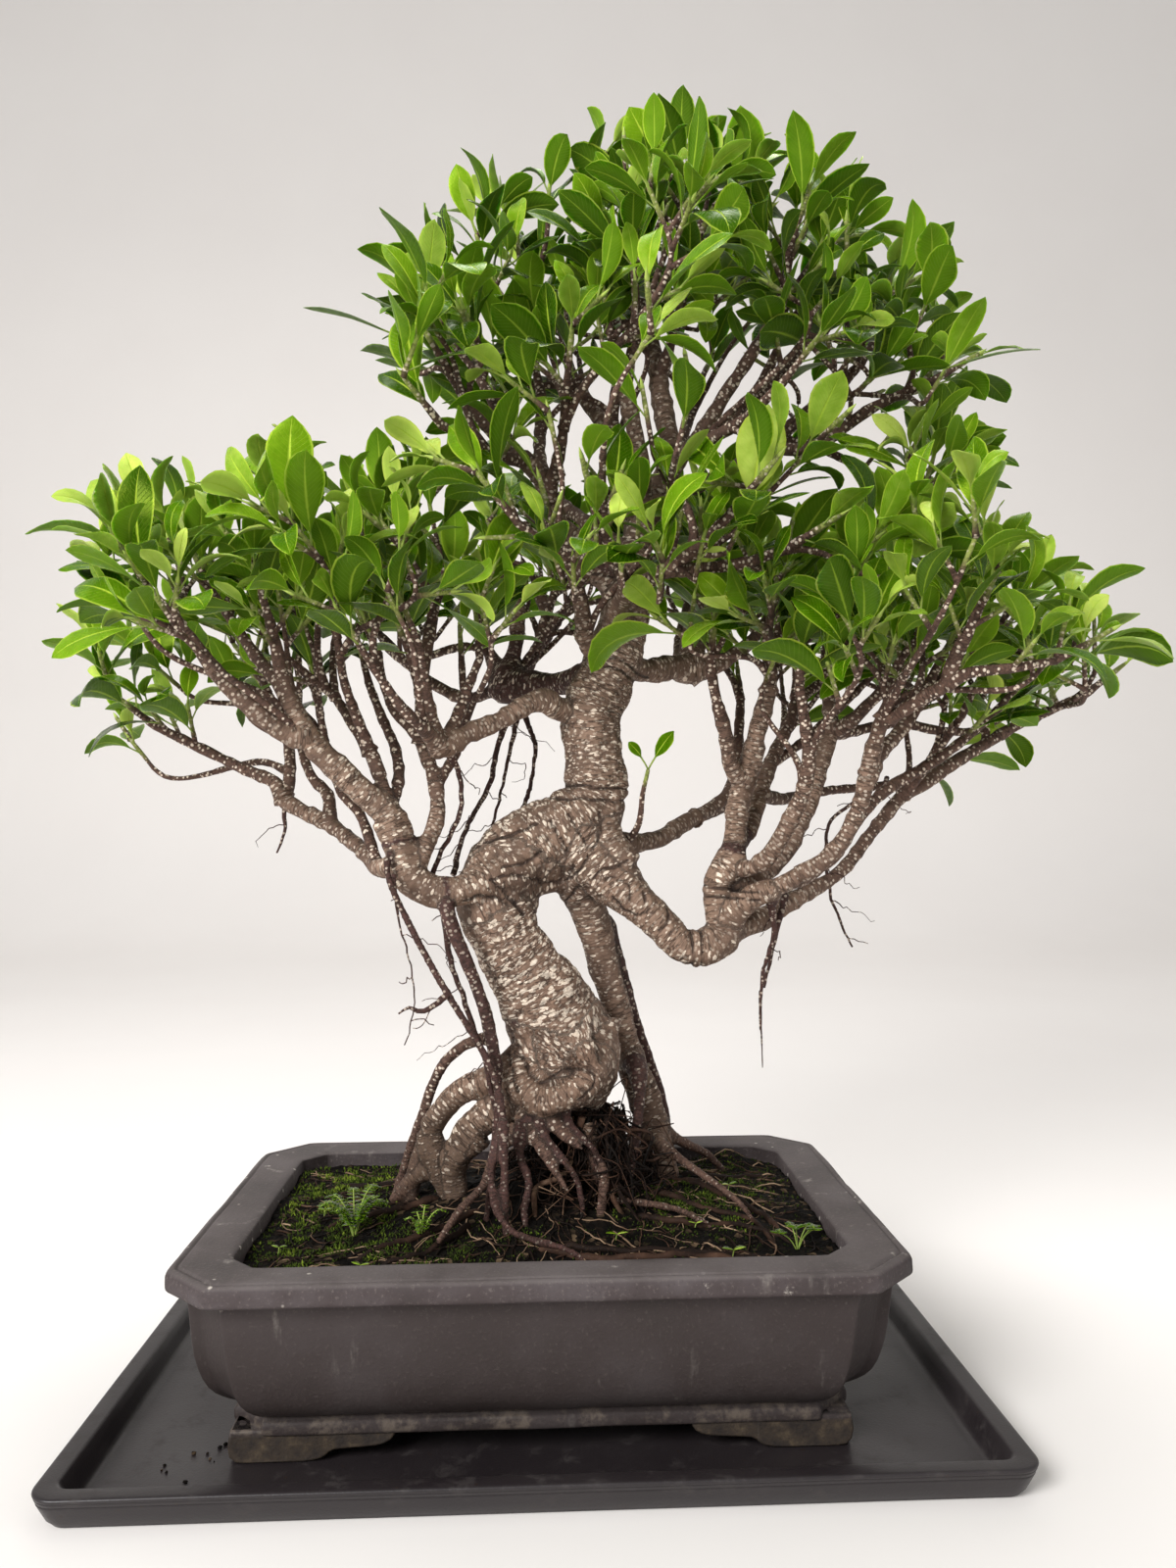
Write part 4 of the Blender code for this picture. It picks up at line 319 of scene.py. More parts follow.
ROOTS = {
    "column": [
        (22, 8, 352, 18), (31, 14, 336, 15), (37, 22, 318, 13), (45, 28, 289, 11.6), (56, 32, 247, 10.4),
        (65, 34, 212, 11), (76, 35, 182, 12.6), (84, 36, 152, 11.5), (88, 37, 122, 14)],
    "column_strand": [
        (47, 30, 324, 5), (71, 48, 238, 4.5), (83, 52, 201, 4.5), (92, 54, 169, 5), (98, 56, 122, 4.5)],
    "aerial_left": [
        (-98, -40, 374, 5), (-103, -56, 356, 4), (-98, -60, 341, 4), (-87, -60, 318, 4),
        (-73, -58, 291, 4), (-58, -57, 265, 4), (-42, -56, 239, 4), (-32, -56, 218, 4.6),
        (-27, -60, 197, 4.5), (-25, -66, 165, 4), (-24, -74, 118, 3.8)],
    "aerial_left_b": [
        (-66, -36, 340, 6.5), (-63, -46, 325, 5.3), (-56, -48, 305, 5.2), (-46, -46, 282, 4.8),
        (-36, -43, 249, 4.8), (-30, -42, 208, 4.6), (-33, -46, 160, 4), (-38, -54, 118, 3.6)],
    "arch": [
        (-20, -20, 232, 7), (-36, -20, 236, 5), (-54, -14, 231, 4.4), (-66, -8, 221, 4), (-76, -2, 204, 4),
        (-86, 6, 176, 4), (-96, 12, 148, 4), (-106, 18, 116, 4)],
    "left_a": [
        (-8, -16, 220, 14), (-36, -20, 209, 8), (-52, -16, 202, 7), (-67, -12, 190, 6.8),
        (-78, -8, 172, 6.4), (-88, -4, 148, 6), (-94, 0, 116, 5.4)],
    "left_b": [
        (0, -14, 200, 18), (-26, -18, 190, 13), (-44, -18, 178, 11), (-56, -16, 162, 10.5),
        (-62, -14, 146, 10), (-58, -12, 116, 9)],
    "front_a": [
        (0, -24, 190, 14), (-12, -40, 182, 6.5), (-15, -50, 162, 4.5), (-9, -56, 148, 4),
        (-12, -62, 134, 4), (-10, -68, 112, 3.4)],
    "front_c": [
        (0, -22, 204, 14), (-4, -40, 184, 6), (6, -48, 170, 4.2), (22, -56, 150, 3.6),
        (28, -60, 118, 3.4)],
    "front_d": [
        (12, -22, 200, 12), (16, -32, 184, 5.4), (24, -36, 174, 4.4), (35, -38, 164, 3.8),
        (45, -40, 120, 3.6)],
    "front_wrap": [
        (-27, -60, 190, 5.5), (-34, -64, 160, 4.2), (-30, -76, 136, 4), (-20, -84, 126, 4),
        (-2, -94, 122, 3.8), (16, -101, 119, 3.4), (34, -106, 107, 3.2)],
    "right_b": [(68, 24, 216, 10), (70, 4, 192, 4.6), (66, -8, 166, 4), (58, -18, 122, 3.8)],
    "right_c": [(80, 36, 162, 12), (104, 48, 146, 6), (128, 68, 130, 5), (148, 88, 106, 4)],
    "right_d": [
        (76, 30, 156, 14), (98, 0, 146, 6), (116, -20, 137, 4.8), (134, -38, 126, 4),
        (150, -54, 106, 3.4)]}
STRANDS = {
    "ball_strand": [
        (-18, 68, 490, 5), (-10, 64, 465, 2.6), (-4, 58, 448, 2.4), (-5, 50, 431, 2.4), (-9, 40, 409, 2.4),
        (-16, 28, 392, 2.4), (-24, 16, 376, 3)],
    "pair": [
        (160, -24, 336, 4), (166, -10, 306, 2.4), (159, -6, 280, 2.2), (157, -4, 251, 2),
        (158, -4, 209, 1.6)]}
PADS = [
    ("top", (95, 0, 790), (105, 105, 75), 6),
    ("upper_left", (-20, -10, 735), (95, 100, 75), 4),
    ("upper_right", (235, 10, 735), (85, 100, 70), 4),
    ("far_right", (290, 5, 655), (55, 80, 45), 2),
    ("front", (95, -105, 615), (120, 60, 50), 4),
    ("left_outer", (-258, 0, 540), (75, 100, 65), 4),
    ("left_middle", (-150, -30, 580), (70, 110, 60), 3),
    ("left_inner", (-75, -35, 585), (60, 90, 55), 2),
    ("right", (295, 0, 535), (100, 115, 50), 4),
    ("right_outer", (395, 10, 505), (60, 80, 40), 3),
    ("right_middle", (190, -50, 575), (75, 90, 50), 3),
    ("back", (40, 140, 620), (150, 60, 70), 5),
    ("left_back", (-150, 120, 560), (90, 60, 50), 3),
    ("right_back", (230, 130, 560), (90, 60, 50), 3)]

# Fine profiles. Pot wall: rise over the underside, growth over the base, corner cut, notch depth
POT_PROFILE = [
    (0, -2, 22, 3), (0.5, -0.8, 22, 3), (1.8, 0, 22, 3), (4, 0.2, 22, 3), (6.2, 0, 22, 3),
    (7.6, -1.0, 22, 3), (8.3, -3.0, 21, 3), (9, -5.2, 20, 3), (10.2, -6, 20, 3), (11.3, -4.5, 20.5, 3),
    (12.4, 0.5, 22, 4), (13.6, 6.5, 24, 5), (16, 13, 25, 5), (19.5, 20, 25.5, 5), (24, 26.5, 26, 5),
    (30, 32, 26.5, 5), (38, 37, 27, 5), (46, 40.5, 27, 5), (55, 43.2, 27.5, 5), (65, 45.6, 28, 5),
    (75, 47.6, 28, 5), (84, 49.4, 28, 5), (87, 50.2, 28, 5)]
# Lip: inset from the widest, drop below the top, corner cut
LIP_PROFILE = [
    (7.0, 13.6, 29), (3.0, 13.2, 30), (1.0, 12.6, 30), (0.25, 11.4, 30), (0.0, 9.6, 30), (0.0, 6.5, 30),
    (0.1, 4.0, 30), (0.7, 2.2, 30), (1.8, 1.0, 30), (3.4, 0.3, 30), (4.4, 0.2, 29.6), (5.2, 1.3, 29.4),
    (6.2, 1.4, 29.2), (7.0, 0.3, 29), (8.2, 0.0, 28.6), (14, 0.1, 26.5), (22, 0.3, 23.5), (29, 0.4, 21),
    (32.4, 0.7, 19.6), (34.2, 1.6, 18.6)]
# Tray: height, inset from the widest, cut of the corner radius
TRAY_PROFILE = [
    (0, 10, 6), (0.4, 9.2, 6), (1.4, 8.6, 5.6), (4, 6.1, 4), (9, 3.9, 3), (13.6, 1.9, 2), (14.2, 1.7, 1.8),
    (14.5, 2.1, 1.8), (14.8, 1.6, 1.6), (16.4, 0.9, 1.2), (16.9, 0.7, 1), (17.2, 1.1, 1), (17.5, 0.5, 0.8),
    (18.6, 0.0, 0), (19.4, 0.3, 0.2), (19.9, 1.2, 1), (20, 2.4, 2), (20, 10.4, 6), (19.7, 11.8, 7),
    (18.5, 13, 8), (13, 15.4, 8), (8.2, 17.5, 8), (6.3, 18.6, 8), (5.4, 20.2, 8), (5, 23, 8)]
# Underside of a foot leg: share of its length and of its height, downward
LEG_CURVE = [
    (0.10, 1.0), (0.28, 1.0), (0.44, 1.0), (0.50, 0.97), (0.55, 0.90), (0.58, 0.80), (0.60, 0.68),
    (0.63, 0.60), (0.70, 0.56), (0.80, 0.53), (0.88, 0.49), (0.93, 0.42), (0.97, 0.28), (0.99, 0.10)]
FOOT_CHIP = (-191, -124, 6, 7)       # place and reach

SOIL_GRID = 2.2
SOIL_LUMPS = [       # x, y, rise, reach
    (150, 104, 12, 14), (-96, -86, 4, 22), (-140, 30, 4, 30), (60, 96, 4, 24)]
ROOT_MASS = [(28, 8, 36), (60, 28, 34), (-56, -14, 16), (0, -40, 26), (88, 38, 20)]    # x, y, reach
# Moss: middle x and y, reach x and y, count of tufts, tone, tallest
MOSS_PATCHES = [
    (-140, -60, 60, 66, 3200, 0.50, 3.4), (-150, 50, 46, 80, 3400, 0.66, 3.6),
    (-70, -96, 60, 26, 1100, 0.35, 2.4), (130, 50, 56, 70, 2600, 0.42, 2.8),
    (90, -80, 110, 40, 900, 0.2, 2.0), (20, 90, 110, 34, 1200, 0.35, 2.4),
    (96, -30, 44, 40, 2200, 0.50, 2.8), (-40, -80, 50, 30, 600, 0.4, 2.4)]
MOSS_EDGE = (186, 120, 292)          # furthest x, y and sum of both
MOSS_SEED = 11
MOSS_FOOT = 0.8      # moss starts this far under the soil's surface
TUFT_FACES = ((2, 1, 0), (0, 1, 4, 3), (3, 4, 6), (1, 2, 5, 4), (4, 5, 6), (2, 0, 3, 5), (5, 3, 6))
FINE_ROOTS = 420
ROOT_EDGE = (182, 116)
ROOTLET_SEED = 23
TANGLE_SEED = 31
WEEDS = {"seedling_left": (-124, -54, 32, 7), "seedling_middle": (-78, -72, 20, 5),
         "seedling_right": (162, -90, 24, 6)}       # x, y, height, count of fronds or stalks
LONE_LEAVES = [(118, -102, 5, 8), (46, -84, 4, 7), (-112, -112, 5, 6), (-168, -80, 6, 5), (-150, -20, 5, 5),
               (134, 10, 5, 6), (100, -60, 3, 5)]    # x, y, height, leaf length
LONE_SEED = 41
LEAFLET_STOPS = ((0, 0.12), (0.18, 0.62), (0.42, 1.0), (0.68, 0.92), (0.88, 0.5), (1.0, 0.06))
CRUMBS = [(-226, -120, 5, 3), (-200, -112, 4, 4), (-196, -100, 3, 3), (-214, -144, 6, 2), (222, 110, 8, 4)]
CRUMB_SEED = 17
STAGE_ROWS = [(-3000, -2), (2200, -2), (2700, 60), (3050, 300), (3200, 700), (3250, 4000)]   # y and height
STAGE_ENDS = (-5000, 5000)

# Lights: name, place in metres, size and power
LIGHTS = [
    ("key", (-1.6, -2.0, 1.7), 1.4, 104), ("fill", (2.2, -1.6, 1.4), 2.4, 10),
    ("rim", (0.3, 0.6, 3.0), 1.6, 36)]
LIGHT_AIM = (0.06, 0, 0.45)
SKY_STRENGTH = 0.47

# Forms that only the fine wood has
KNEE = {
    "knee": [
        (26, -8, 232, 28), (10, -14, 228, 27), (8, -18, 211, 21), (18, -22, 203, 17), (32, -18, 210, 14)],
    "knee_fold": [(40, -2, 246, 15), (40, -8, 228, 13), (35, -12, 212, 11)],
    "arm": [
        (-20, -24, 216, 10), (-14, -32, 204, 9.5), (-1, -39, 197, 9.5), (13, -41, 199, 9.5),
        (27, -39, 206, 9.5), (36, -31, 213, 9.5), (41, -18, 220, 9)],
    "shoulder": [(-23, 2, 320, 20), (-27, -2, 342, 22), (-8, 0, 366, 20)],
    "arch_top": [(-6, 0, 345, 10), (10, 2, 346, 10), (26, 6, 344, 10)],
    "right_shoulder": [(38, 2, 388, 16), (44, -2, 372, 17), (58, -6, 352, 15)]}

EXTRA_ROOTS = {
    "left_mass": [(-80, -8, 171, 8), (-77, -10, 158, 9.5), (-70, -10, 145, 10), (-62, -8, 128, 11)],
    "left_mass_b": [
        (-44, -17, 172, 11), (-60, -14, 156, 10), (-78, -8, 146, 8), (-92, -4, 136, 6),
        (-106, -2, 120, 4)],
    "left_upper": [(-30, -20, 210, 9.5), (-52, -17, 202, 8.6), (-67, -12, 190, 8.6), (-79, -8, 172, 8.4)],
    "finger": [
        (-14, -34, 188, 6), (-4, -46, 172, 4.2), (6, -54, 158, 3.4), (14, -60, 147, 2.6),
        (18, -63, 142, 1.2)],
    "under_knee": [(2, -32, 188, 6), (10, -38, 178, 4.4), (20, -42, 170, 3.2), (28, -44, 166, 1.6)],
    "pale_stub": [
        (30, -20, 176, 8), (34, -28, 158, 4.9), (41, -44, 149, 4.3), (39, -54, 131, 3.6),
        (37, -60, 112, 3.3)],
    "left_low_a": [
        (-20, -34, 176, 6), (-33, -52, 163, 3.9), (-39, -58, 147, 3.3), (-53, -70, 136, 3.2),
        (-67, -86, 120, 2.7)],
    "right_long": [
        (34, -30, 150, 5), (46, -44, 133, 2.9), (60, -46, 131, 2.8), (76, -48, 129, 2.8),
        (94, -50, 125, 2.7), (113, -58, 116, 2.6)],
    "back_a": [(10, 20, 170, 14), (-4, 40, 152, 7), (-22, 56, 136, 5), (-44, 68, 118, 4)],
    "back_b": [(40, 20, 170, 14), (46, 48, 150, 7), (40, 70, 132, 5), (30, 88, 114, 4)]}

SIDE_SPACING = 34    # way along a twig between places where a side shoot is tried
SIDE_NEAR = 60       # side shoots start no further than this from a leafy tip
SIDE_LENGTHS = (16, 34)
SIDE_LEAVES = 5
OWN_LEAVES = 7       # most leaves of a shoot that the part has too
SIDE_THICKEST = 4.4  # thickest twig that bears side shoots
SIDE_ROOM = 22       # least room between a side shoot's tip and other wood
SIDE_TRIES = 4
SIDE_RADIUS = 1.7    # where a side shoot leaves its twig
SIDE_SEED = 77
LONG_TRIES = 2       # long twigs that are tried beside each leafy tip
LONG_ROOM = 23       # least room between their tips
LONG_REACH = (70, 180)
LONG_CHOICES = 14
LONG_SEED = 91
LONG_THICKEST = 3.4
LONG_TAPER = 0.011   # growth of a long twig's radius for each millimetre back from its tip
LONG_SPREAD = (24, 26, 13)           # how far its tip lies from the leafy tip beside it, each way
LONG_PARENTS = (2.5, 12)             # radii of the limbs that carry long twigs
LONG_LOW = 400       # long twigs leave them above this
CHOSEN_TIPS = [      # more leafy tips: at the crown's top, in front of the fork
    (34, 0, 868), (62, -20, 882), (92, 10, 884), (126, -10, 872), (50, 30, 852), (100, -40, 848),
    (8, -10, 848), (-16, 20, 832), (158, 0, 856), (196, -24, 842), (20, -122, 548), (48, -130, 556),
    (76, -122, 548), (102, -118, 562), (35, -108, 578), (62, -114, 584), (92, -102, 588), (4, -110, 566)]
# Tips of extra leaves lie inside this outline of x and z, as seen from the front, and outside the hollows
CANOPY = [
    (-333, 520), (-312, 600), (-262, 633), (-192, 654), (-149, 633), (-107, 647), (-79, 675), (-100, 718),
    (-86, 781), (-51, 824), (6, 859), (48, 885), (91, 898), (161, 878), (232, 845), (274, 802),
    (309, 746), (300, 712), (265, 690), (331, 668), (324, 626), (331, 591), (380, 548), (430, 520),
    (380, 492), (373, 455), (316, 462), (260, 488), (105, 522), (62, 535), (-15, 536), (-86, 553),
    (-178, 494), (-241, 457), (-305, 440)]
HOLLOWS = [(76, 690, 96, 54), (205, 682, 70, 38), (20, 640, 46, 30), (150, 716, 70, 42),
           (-60, 604, 30, 26), (190, 600, 40, 24)]      # x, z and reach both ways
HOLLOW_SHARE = 0.93  # share of the leaves in a hollow that are left out
# Single leaves that stand out: root, direction, way that the upper side faces, length, tone
SHOW_LEAVES = [
    ((131, -115, 580), (0.1, -0.1, 1), (0.15, -1, 0.1), 52, 0.9),
    ((-155, -108, 574), (-0.07, -0.05, 1), (-0.1, -1, 0.1), 50, 0.66),
    ((191, 0, 832), (0.1, 0, 1), (-0.3, -1, 0.1), 40, 0.55),
    ((288, -40, 706), (1, -0.1, 0.1), (0, -0.3, 1), 50, 0.6),
    ((-98, -40, 724), (-1, 0, 0.2), (0.1, -0.3, 1), 50, 0.45),
    ((96, 0, 862), (-0.55, -0.1, 0.8), (-0.4, -1, 0.3), 42, 0.7),
    ((-44, -20, 806), (-0.35, -0.1, 0.9), (-0.2, -1, 0.2), 36, 0.75)]
CROWN_MIDDLE = Vector((60, 0, 560))
TALL_LEAF = 882      # leaves that would end higher are shorter
CROWN_LOW = 690      # the crown's leaves, above this, are a little darker
CROWN_SHADE = 0.08
TONE_PLAY = 0.16
SHOOT_SEED = 7000    # added to the number of a shoot or a leaf for its own draws
FORM_SEED = 50000
THREAD_SEED = 600
SHADE_REACH = 62     # tips above a tip, this near, darken its leaves
LEAF_CELL = 40       # size of the cells that leaves are sorted into
SEEN_LOW = (-0.345, -0.210, 0.0)     # leaves stay inside this box, in metres
SEEN_HIGH = (0.512, 0.243, 0.930)

FINE_STRANDS = {
    "right_loop": [
        (264, 36, 420, 1.8), (257, 30, 406, 1.6), (246, 28, 404, 1.5), (232, 28, 398, 1.5),
        (216, 26, 384, 1.4), (214, 26, 358, 1.4), (217, 28, 332, 1.2), (225, 30, 310, 1),
        (234, 30, 292, 0.7)],
    "left_rootlet": [(-195, 54, 403, 2.2), (-194, 56, 381, 1.3), (-201, 56, 365, 0.8)],
    "pair_b": [(177, 2, 334, 2.8), (171, 0, 310, 1.9), (165, 2, 284, 1.3), (162, 4, 266, 0.9)],
    "knob_strand": [
        (-62, -44, 433, 3.3), (-57, -36, 423, 2), (-55, -30, 407, 1.9), (-58, -26, 388, 1.8),
        (-69, -24, 367, 1.7), (-75, -26, 350, 2)],
    "strand_c": [
        (-21, 72, 477, 3.8), (-32, 66, 450, 2.3), (-39, 54, 416, 2.1), (-50, 40, 394, 2),
        (-58, 16, 372, 1.9), (-62, -10, 350, 2.2)],
    "strand_d": [
        (-16, 64, 476, 2.6), (-24, 56, 440, 1.5), (-30, 44, 408, 1.2), (-38, 36, 380, 1),
        (-44, 20, 352, 1.2)],
    "dark_root": [
        (-66, -34, 338, 4), (-64, -30, 300, 2.2), (-52, -30, 262, 1.9), (-40, -32, 226, 1.9),
        (-32, -34, 190, 2)],
    "left_hook": [(-62, -58, 272, 2.6), (-78, -60, 262, 1.9), (-88, -58, 264, 1.2), (-94, -58, 260, 0.6)],
    "left_thread": [
        (-98, -58, 352, 1.6), (-94, -60, 320, 0.7), (-88, -60, 296, 0.6), (-84, -62, 268, 0.5),
        (-90, -62, 240, 0.4)]}

# Routes whose bark is dark: the aerial roots and strands by their own colour, the limbs at the back and
# right_dark as painted shade
DARK_AND_SHADED_ROUTES = (
    "aerial_left", "aerial_left_b", "column_strand", "front_wrap", "ball_strand", "pair", "front_a",
    "front_c", "front_d", "right_b", "back", "back_b", "back_c", "back_d", "back_e", "right_dark",
    "back_right")

SPROUT = [(52, 10, 372, 3.4), (64, 8, 374, 3.2), (71, 2, 386, 2.4), (73, -6, 406, 1.9), (77, -8, 424, 1.5)]
SPROUT_LEAVES = (((0.5, -0.3, 0.8), 21), ((-0.5, -0.2, 0.8), 13))    # direction and length
SPROUT_SEED = 5

# Roots that lie on the soil: x, y, radius of each point
SURFACE_ROOTS = [
    [(-6, -90, 2.9), (24, -102, 2.7), (58, -106, 2.5), (96, -104, 2.3), (126, -107, 2.0)],
    [(10, -88, 2.3), (44, -96, 2.1), (84, -97, 1.9), (124, -100, 1.7), (152, -104, 1.4)],
    [(-40, -40, 2.8), (-66, -64, 2.5), (-92, -80, 2.2), (-120, -100, 1.7)],
    [(-44, -56, 2.4), (-76, -92, 2), (-102, -106, 1.5)],
    [(-70, -10, 3), (-104, -22, 2.6), (-128, -28, 2), (-150, -40, 1.4)],
    [(90, 20, 3.2), (122, 4, 2.7), (146, -22, 2.3), (158, -58, 1.7)],
    [(100, 40, 3.4), (132, 52, 2.6), (160, 62, 2), (176, 58, 1.4)],
    [(60, -50, 2.2), (96, -58, 2), (134, -56, 1.7), (164, -80, 1.2)],
    [(70, -20, 2.4), (110, -30, 2), (140, -44, 1.6), (150, -88, 1.2)],
    [(-60, 30, 3), (-96, 44, 2.4), (-130, 40, 1.8), (-156, 52, 1.3)],
    [(-30, 60, 3), (-52, 86, 2.2), (-84, 98, 1.6)],
    [(60, 70, 2.8), (84, 92, 2.2), (118, 102, 1.5)]]

# Roots that are slimmer than in the part: lower end and share of the thickness
SLIM_ROOTS = [
    ((150, -54, 106), 0.6), ((148, 88, 106), 0.7), ((34, -106, 107), 0.7), ((-24, -74, 118), 0.8),
    ((-38, -54, 118), 0.75), ((-10, -68, 112), 0.75), ((28, -60, 118), 0.7), ((45, -40, 120), 0.7)]

# Pairs of ring creases in the bark: middle, direction of the limb there, half of their spacing, depth
CREASES = [
    ((38, 5, 408), (0.08, -0.05, 1), 4.4, 1.7), ((109, -11, 297), (1, 0.1, 0.05), 3.4, 1.5),
    ((64, 4, 562), (0.2, 0, 1), 3.6, 1.3), ((128, -8, 336), (0.1, 0, 1), 3.0, 1.0),
    ((50, 3, 500), (0.4, 0, 1), 3.2, 0.8)]
# Folds of the bark, drawn as seen from the front: x and z of their points
FOLDS = [
    [(-14, 218), (-8, 207), (2, 202), (16, 210), (30, 211), (37, 206), (35, 196), (25, 188)],
    [(-25, 226), (-21, 210), (-18, 194)], [(21, 346), (30, 355), (34, 363)],
    [(12, 342), (19, 346), (23, 355)], [(37, 346), (43, 351), (54, 355), (62, 358)],
    [(-36, 346), (-22, 332), (-11, 321)], [(-27, 355), (-11, 358), (0, 366)],
    [(45, 344), (54, 346), (62, 341), (64, 330)], [(51, 332), (60, 324), (68, 318)],
    [(6, 389), (14, 375), (20, 363)], [(20, 394), (27, 380), (33, 369)],
    [(43, 394), (43, 380), (38, 369)], [(-53, 366), (-36, 373), (-19, 379), (-3, 386)],
    [(-36, 346), (-17, 349), (3, 343), (14, 346)], [(16, 322), (20, 332), (28, 339)],
    [(-54, 330), (-40, 334), (-24, 330)], [(70, 318), (76, 326), (74, 336)],
    [(84, 308), (92, 316), (92, 324)]]
FOLD_DEPTH = 1.6
PRESSED = (14, -4, 304, 20, 11)      # the bulb's right flank: place, reach and how far it stands back
CREASE_WIDTH = 1.5
CREASE_FAR = 8.0
CREASE_REACH = 34
CORE_TOP = 222       # the trunk slims to a core from here down, painted dark as the shade of the hollow under the knee
CORE_BOTTOM = 172
CORE_RADIUS = 15
CORE_SHIFT = 14      # the core lies this much further back
CORE_MIDDLE = (28, 20)

# Roots under the knee: count, least and greatest radius, pale share, spread of the ways
UNDER_ROOTS = [(9, 1.4, 2.2, 0.3, 1.4), (130, 0.6, 1.2, 0.05, 1.9), (150, 0.3, 0.5, 0.32, 2.8)]
UNDER_MIDDLE = (30, -2, 181)
UNDER_REACH = 30
UNDER_SPREAD = 66

# Fine meshes
WOOD_VOXEL = 2.1
WOOD_STEP = 4
TWIG_STEP = 4.5
WOOD_SIDES = ((12, 28), (5, 18), (0, 12))            # radius that is passed and sides of the tube
TWIG_SIDES = ((5, 14), (3, 11), (0, 8))
YOUNG_LENGTH = 26    # green stretch at the end of a leafy twig
STRAND_SIDES = 6
THREAD_SPACING = 7   # points of a hanging root between two threads
THREAD_RADIUS = 0.5
LEAF_STOPS = (       # rings of a leaf: share of the petiole, of the blade and of the greatest half width
    (0.0, 0.0, 0.0), (0.45, 0.0, 0.0), (1.0, 0, 0.06), (1.0, 0.06, 0.20), (1.0, 0.15, 0.46),
    (1.0, 0.27, 0.74), (1.0, 0.40, 0.92), (1.0, 0.53, 1.0), (1.0, 0.66, 0.96), (1.0, 0.78, 0.80),
    (1.0, 0.89, 0.47), (1.0, 0.96, 0.16), (1.0, 1.0, 0.0))
LEAF_RING = ((-1, 0), (-0.5, 1), (0, 1), (0.5, 1), (1, 0), (0, -1))    # place across and face
LEAF_HALF = 0.225
LEAF_SCALE = 1.1     # fine blades are a little longer than the plain ones
STALK_SCALE = 1.25
MIDRIB_THICK = 0.45
BUD = ((0, 1.4), (3, 1.5), (6, 0.9), (9, 0.15))      # way from its start and radius

# Camera, solved from the straight edges of pot and tray in the photo
CAMERA_PLACE = (-0.004, -0.833, 0.3775)
CAMERA_TURNS = (2.62, 2.51, 0.34)    # to the right, upward and roll, in degrees
FOCAL_PIXELS = 1180
FRAME_HEIGHT = 1600
SENSOR = 36.0
MIX_INPUTS = (0, 6, 7)               # sockets of a colour mix: share and the two colours
MIX_OUTPUT = 2


def placed(name, data):
    """A new object with the given data, in the scene."""
    item = bpy.data.objects.new(name, data)
    bpy.context.scene.collection.objects.link(item)
    return item


def mesh_of(work, name):
    """A mesh from an edit mesh, which is freed."""
    mesh = bpy.data.meshes.new(name)
    work.to_mesh(mesh)
    work.free()
    return mesh


def lookup_of(places, numbers=None):
    """Lookup for the nearest of some places, under their own numbers or the given ones."""
    lookup = KDTree(len(places))
    for number, place in zip(numbers or range(len(places)), places):
        lookup.insert(place, number)
    lookup.balance()
    return lookup


def clamped(value):
    """A number kept between 0 and 1."""
    return min(1.0, max(0.0, value))


def random_vector(draw):
    """A vector that points anywhere."""
    return Vector([draw.gauss(0, 1) for _ in range(3)])


def level_way(turn):
    """Level direction at an angle."""
    return Vector((math.cos(turn), math.sin(turn), 0))


def squared(vector, axis):
    """Direction of the part of a vector that is square to an axis."""
    return (vector - axis * vector.dot(axis)).normalized()


def baked_mesh(item):
    """Mesh of an object with its modifiers applied. The object itself is removed."""
    depsgraph = bpy.context.evaluated_depsgraph_get()
    mesh = bpy.data.meshes.new_from_object(item.evaluated_get(depsgraph))
    mesh.transform(item.matrix_world)
    bpy.data.objects.remove(item, do_unlink=True)
    return mesh


def cut_mesh(item, cutters):
    """Mesh of an object with all cutter meshes taken away from it. The object itself is removed."""
    group = bpy.data.collections.new("cutters")
    bpy.context.scene.collection.children.link(group)
    items = [bpy.data.objects.new("cutter", cutter) for cutter in cutters]
    for cutter in items:
        group.objects.link(cutter)
    modifier = item.modifiers.new("cut", "BOOLEAN")
    modifier.operation = "DIFFERENCE"
    modifier.operand_type = "COLLECTION"
    modifier.collection = group
    modifier.solver = "MANIFOLD"
    mesh = baked_mesh(item)
    for cutter in items:
        bpy.data.objects.remove(cutter, do_unlink=True)
    bpy.data.collections.remove(group)
    return mesh


def corner_ring(width, depth, cut, notch):
    """Outline of a rectangle with cut corners, four points a corner, with an inward notch."""
    ring = []
    for sign_x, sign_y in CORNERS:
        start = Vector((sign_x * (width / 2 - cut), sign_y * depth / 2))
        end = Vector((sign_x * width / 2, sign_y * (depth / 2 - cut)))
        inward = Vector((-sign_x, -sign_y)).normalized() * notch
        corner = [start, *(start.lerp(end, share) + inward for share in NOTCH_ENDS), end]
        ring += corner if sign_x * sign_y < 0 else corner[::-1]
    return ring


def soil_height(x, y):
    """Top of the soil: a mound around the trunk and small waves."""
    mound = math.exp(-((x - MOUND_X) / MOUND_REACH_X) ** 2 - ((y - MOUND_Y) / MOUND_REACH_Y) ** 2)
    wave = math.sin(x / WAVE_LENGTHS[0]) * math.sin(y / WAVE_LENGTHS[1])
    return SOIL_EDGE + SOIL_MOUND * mound + SOIL_WAVE * wave


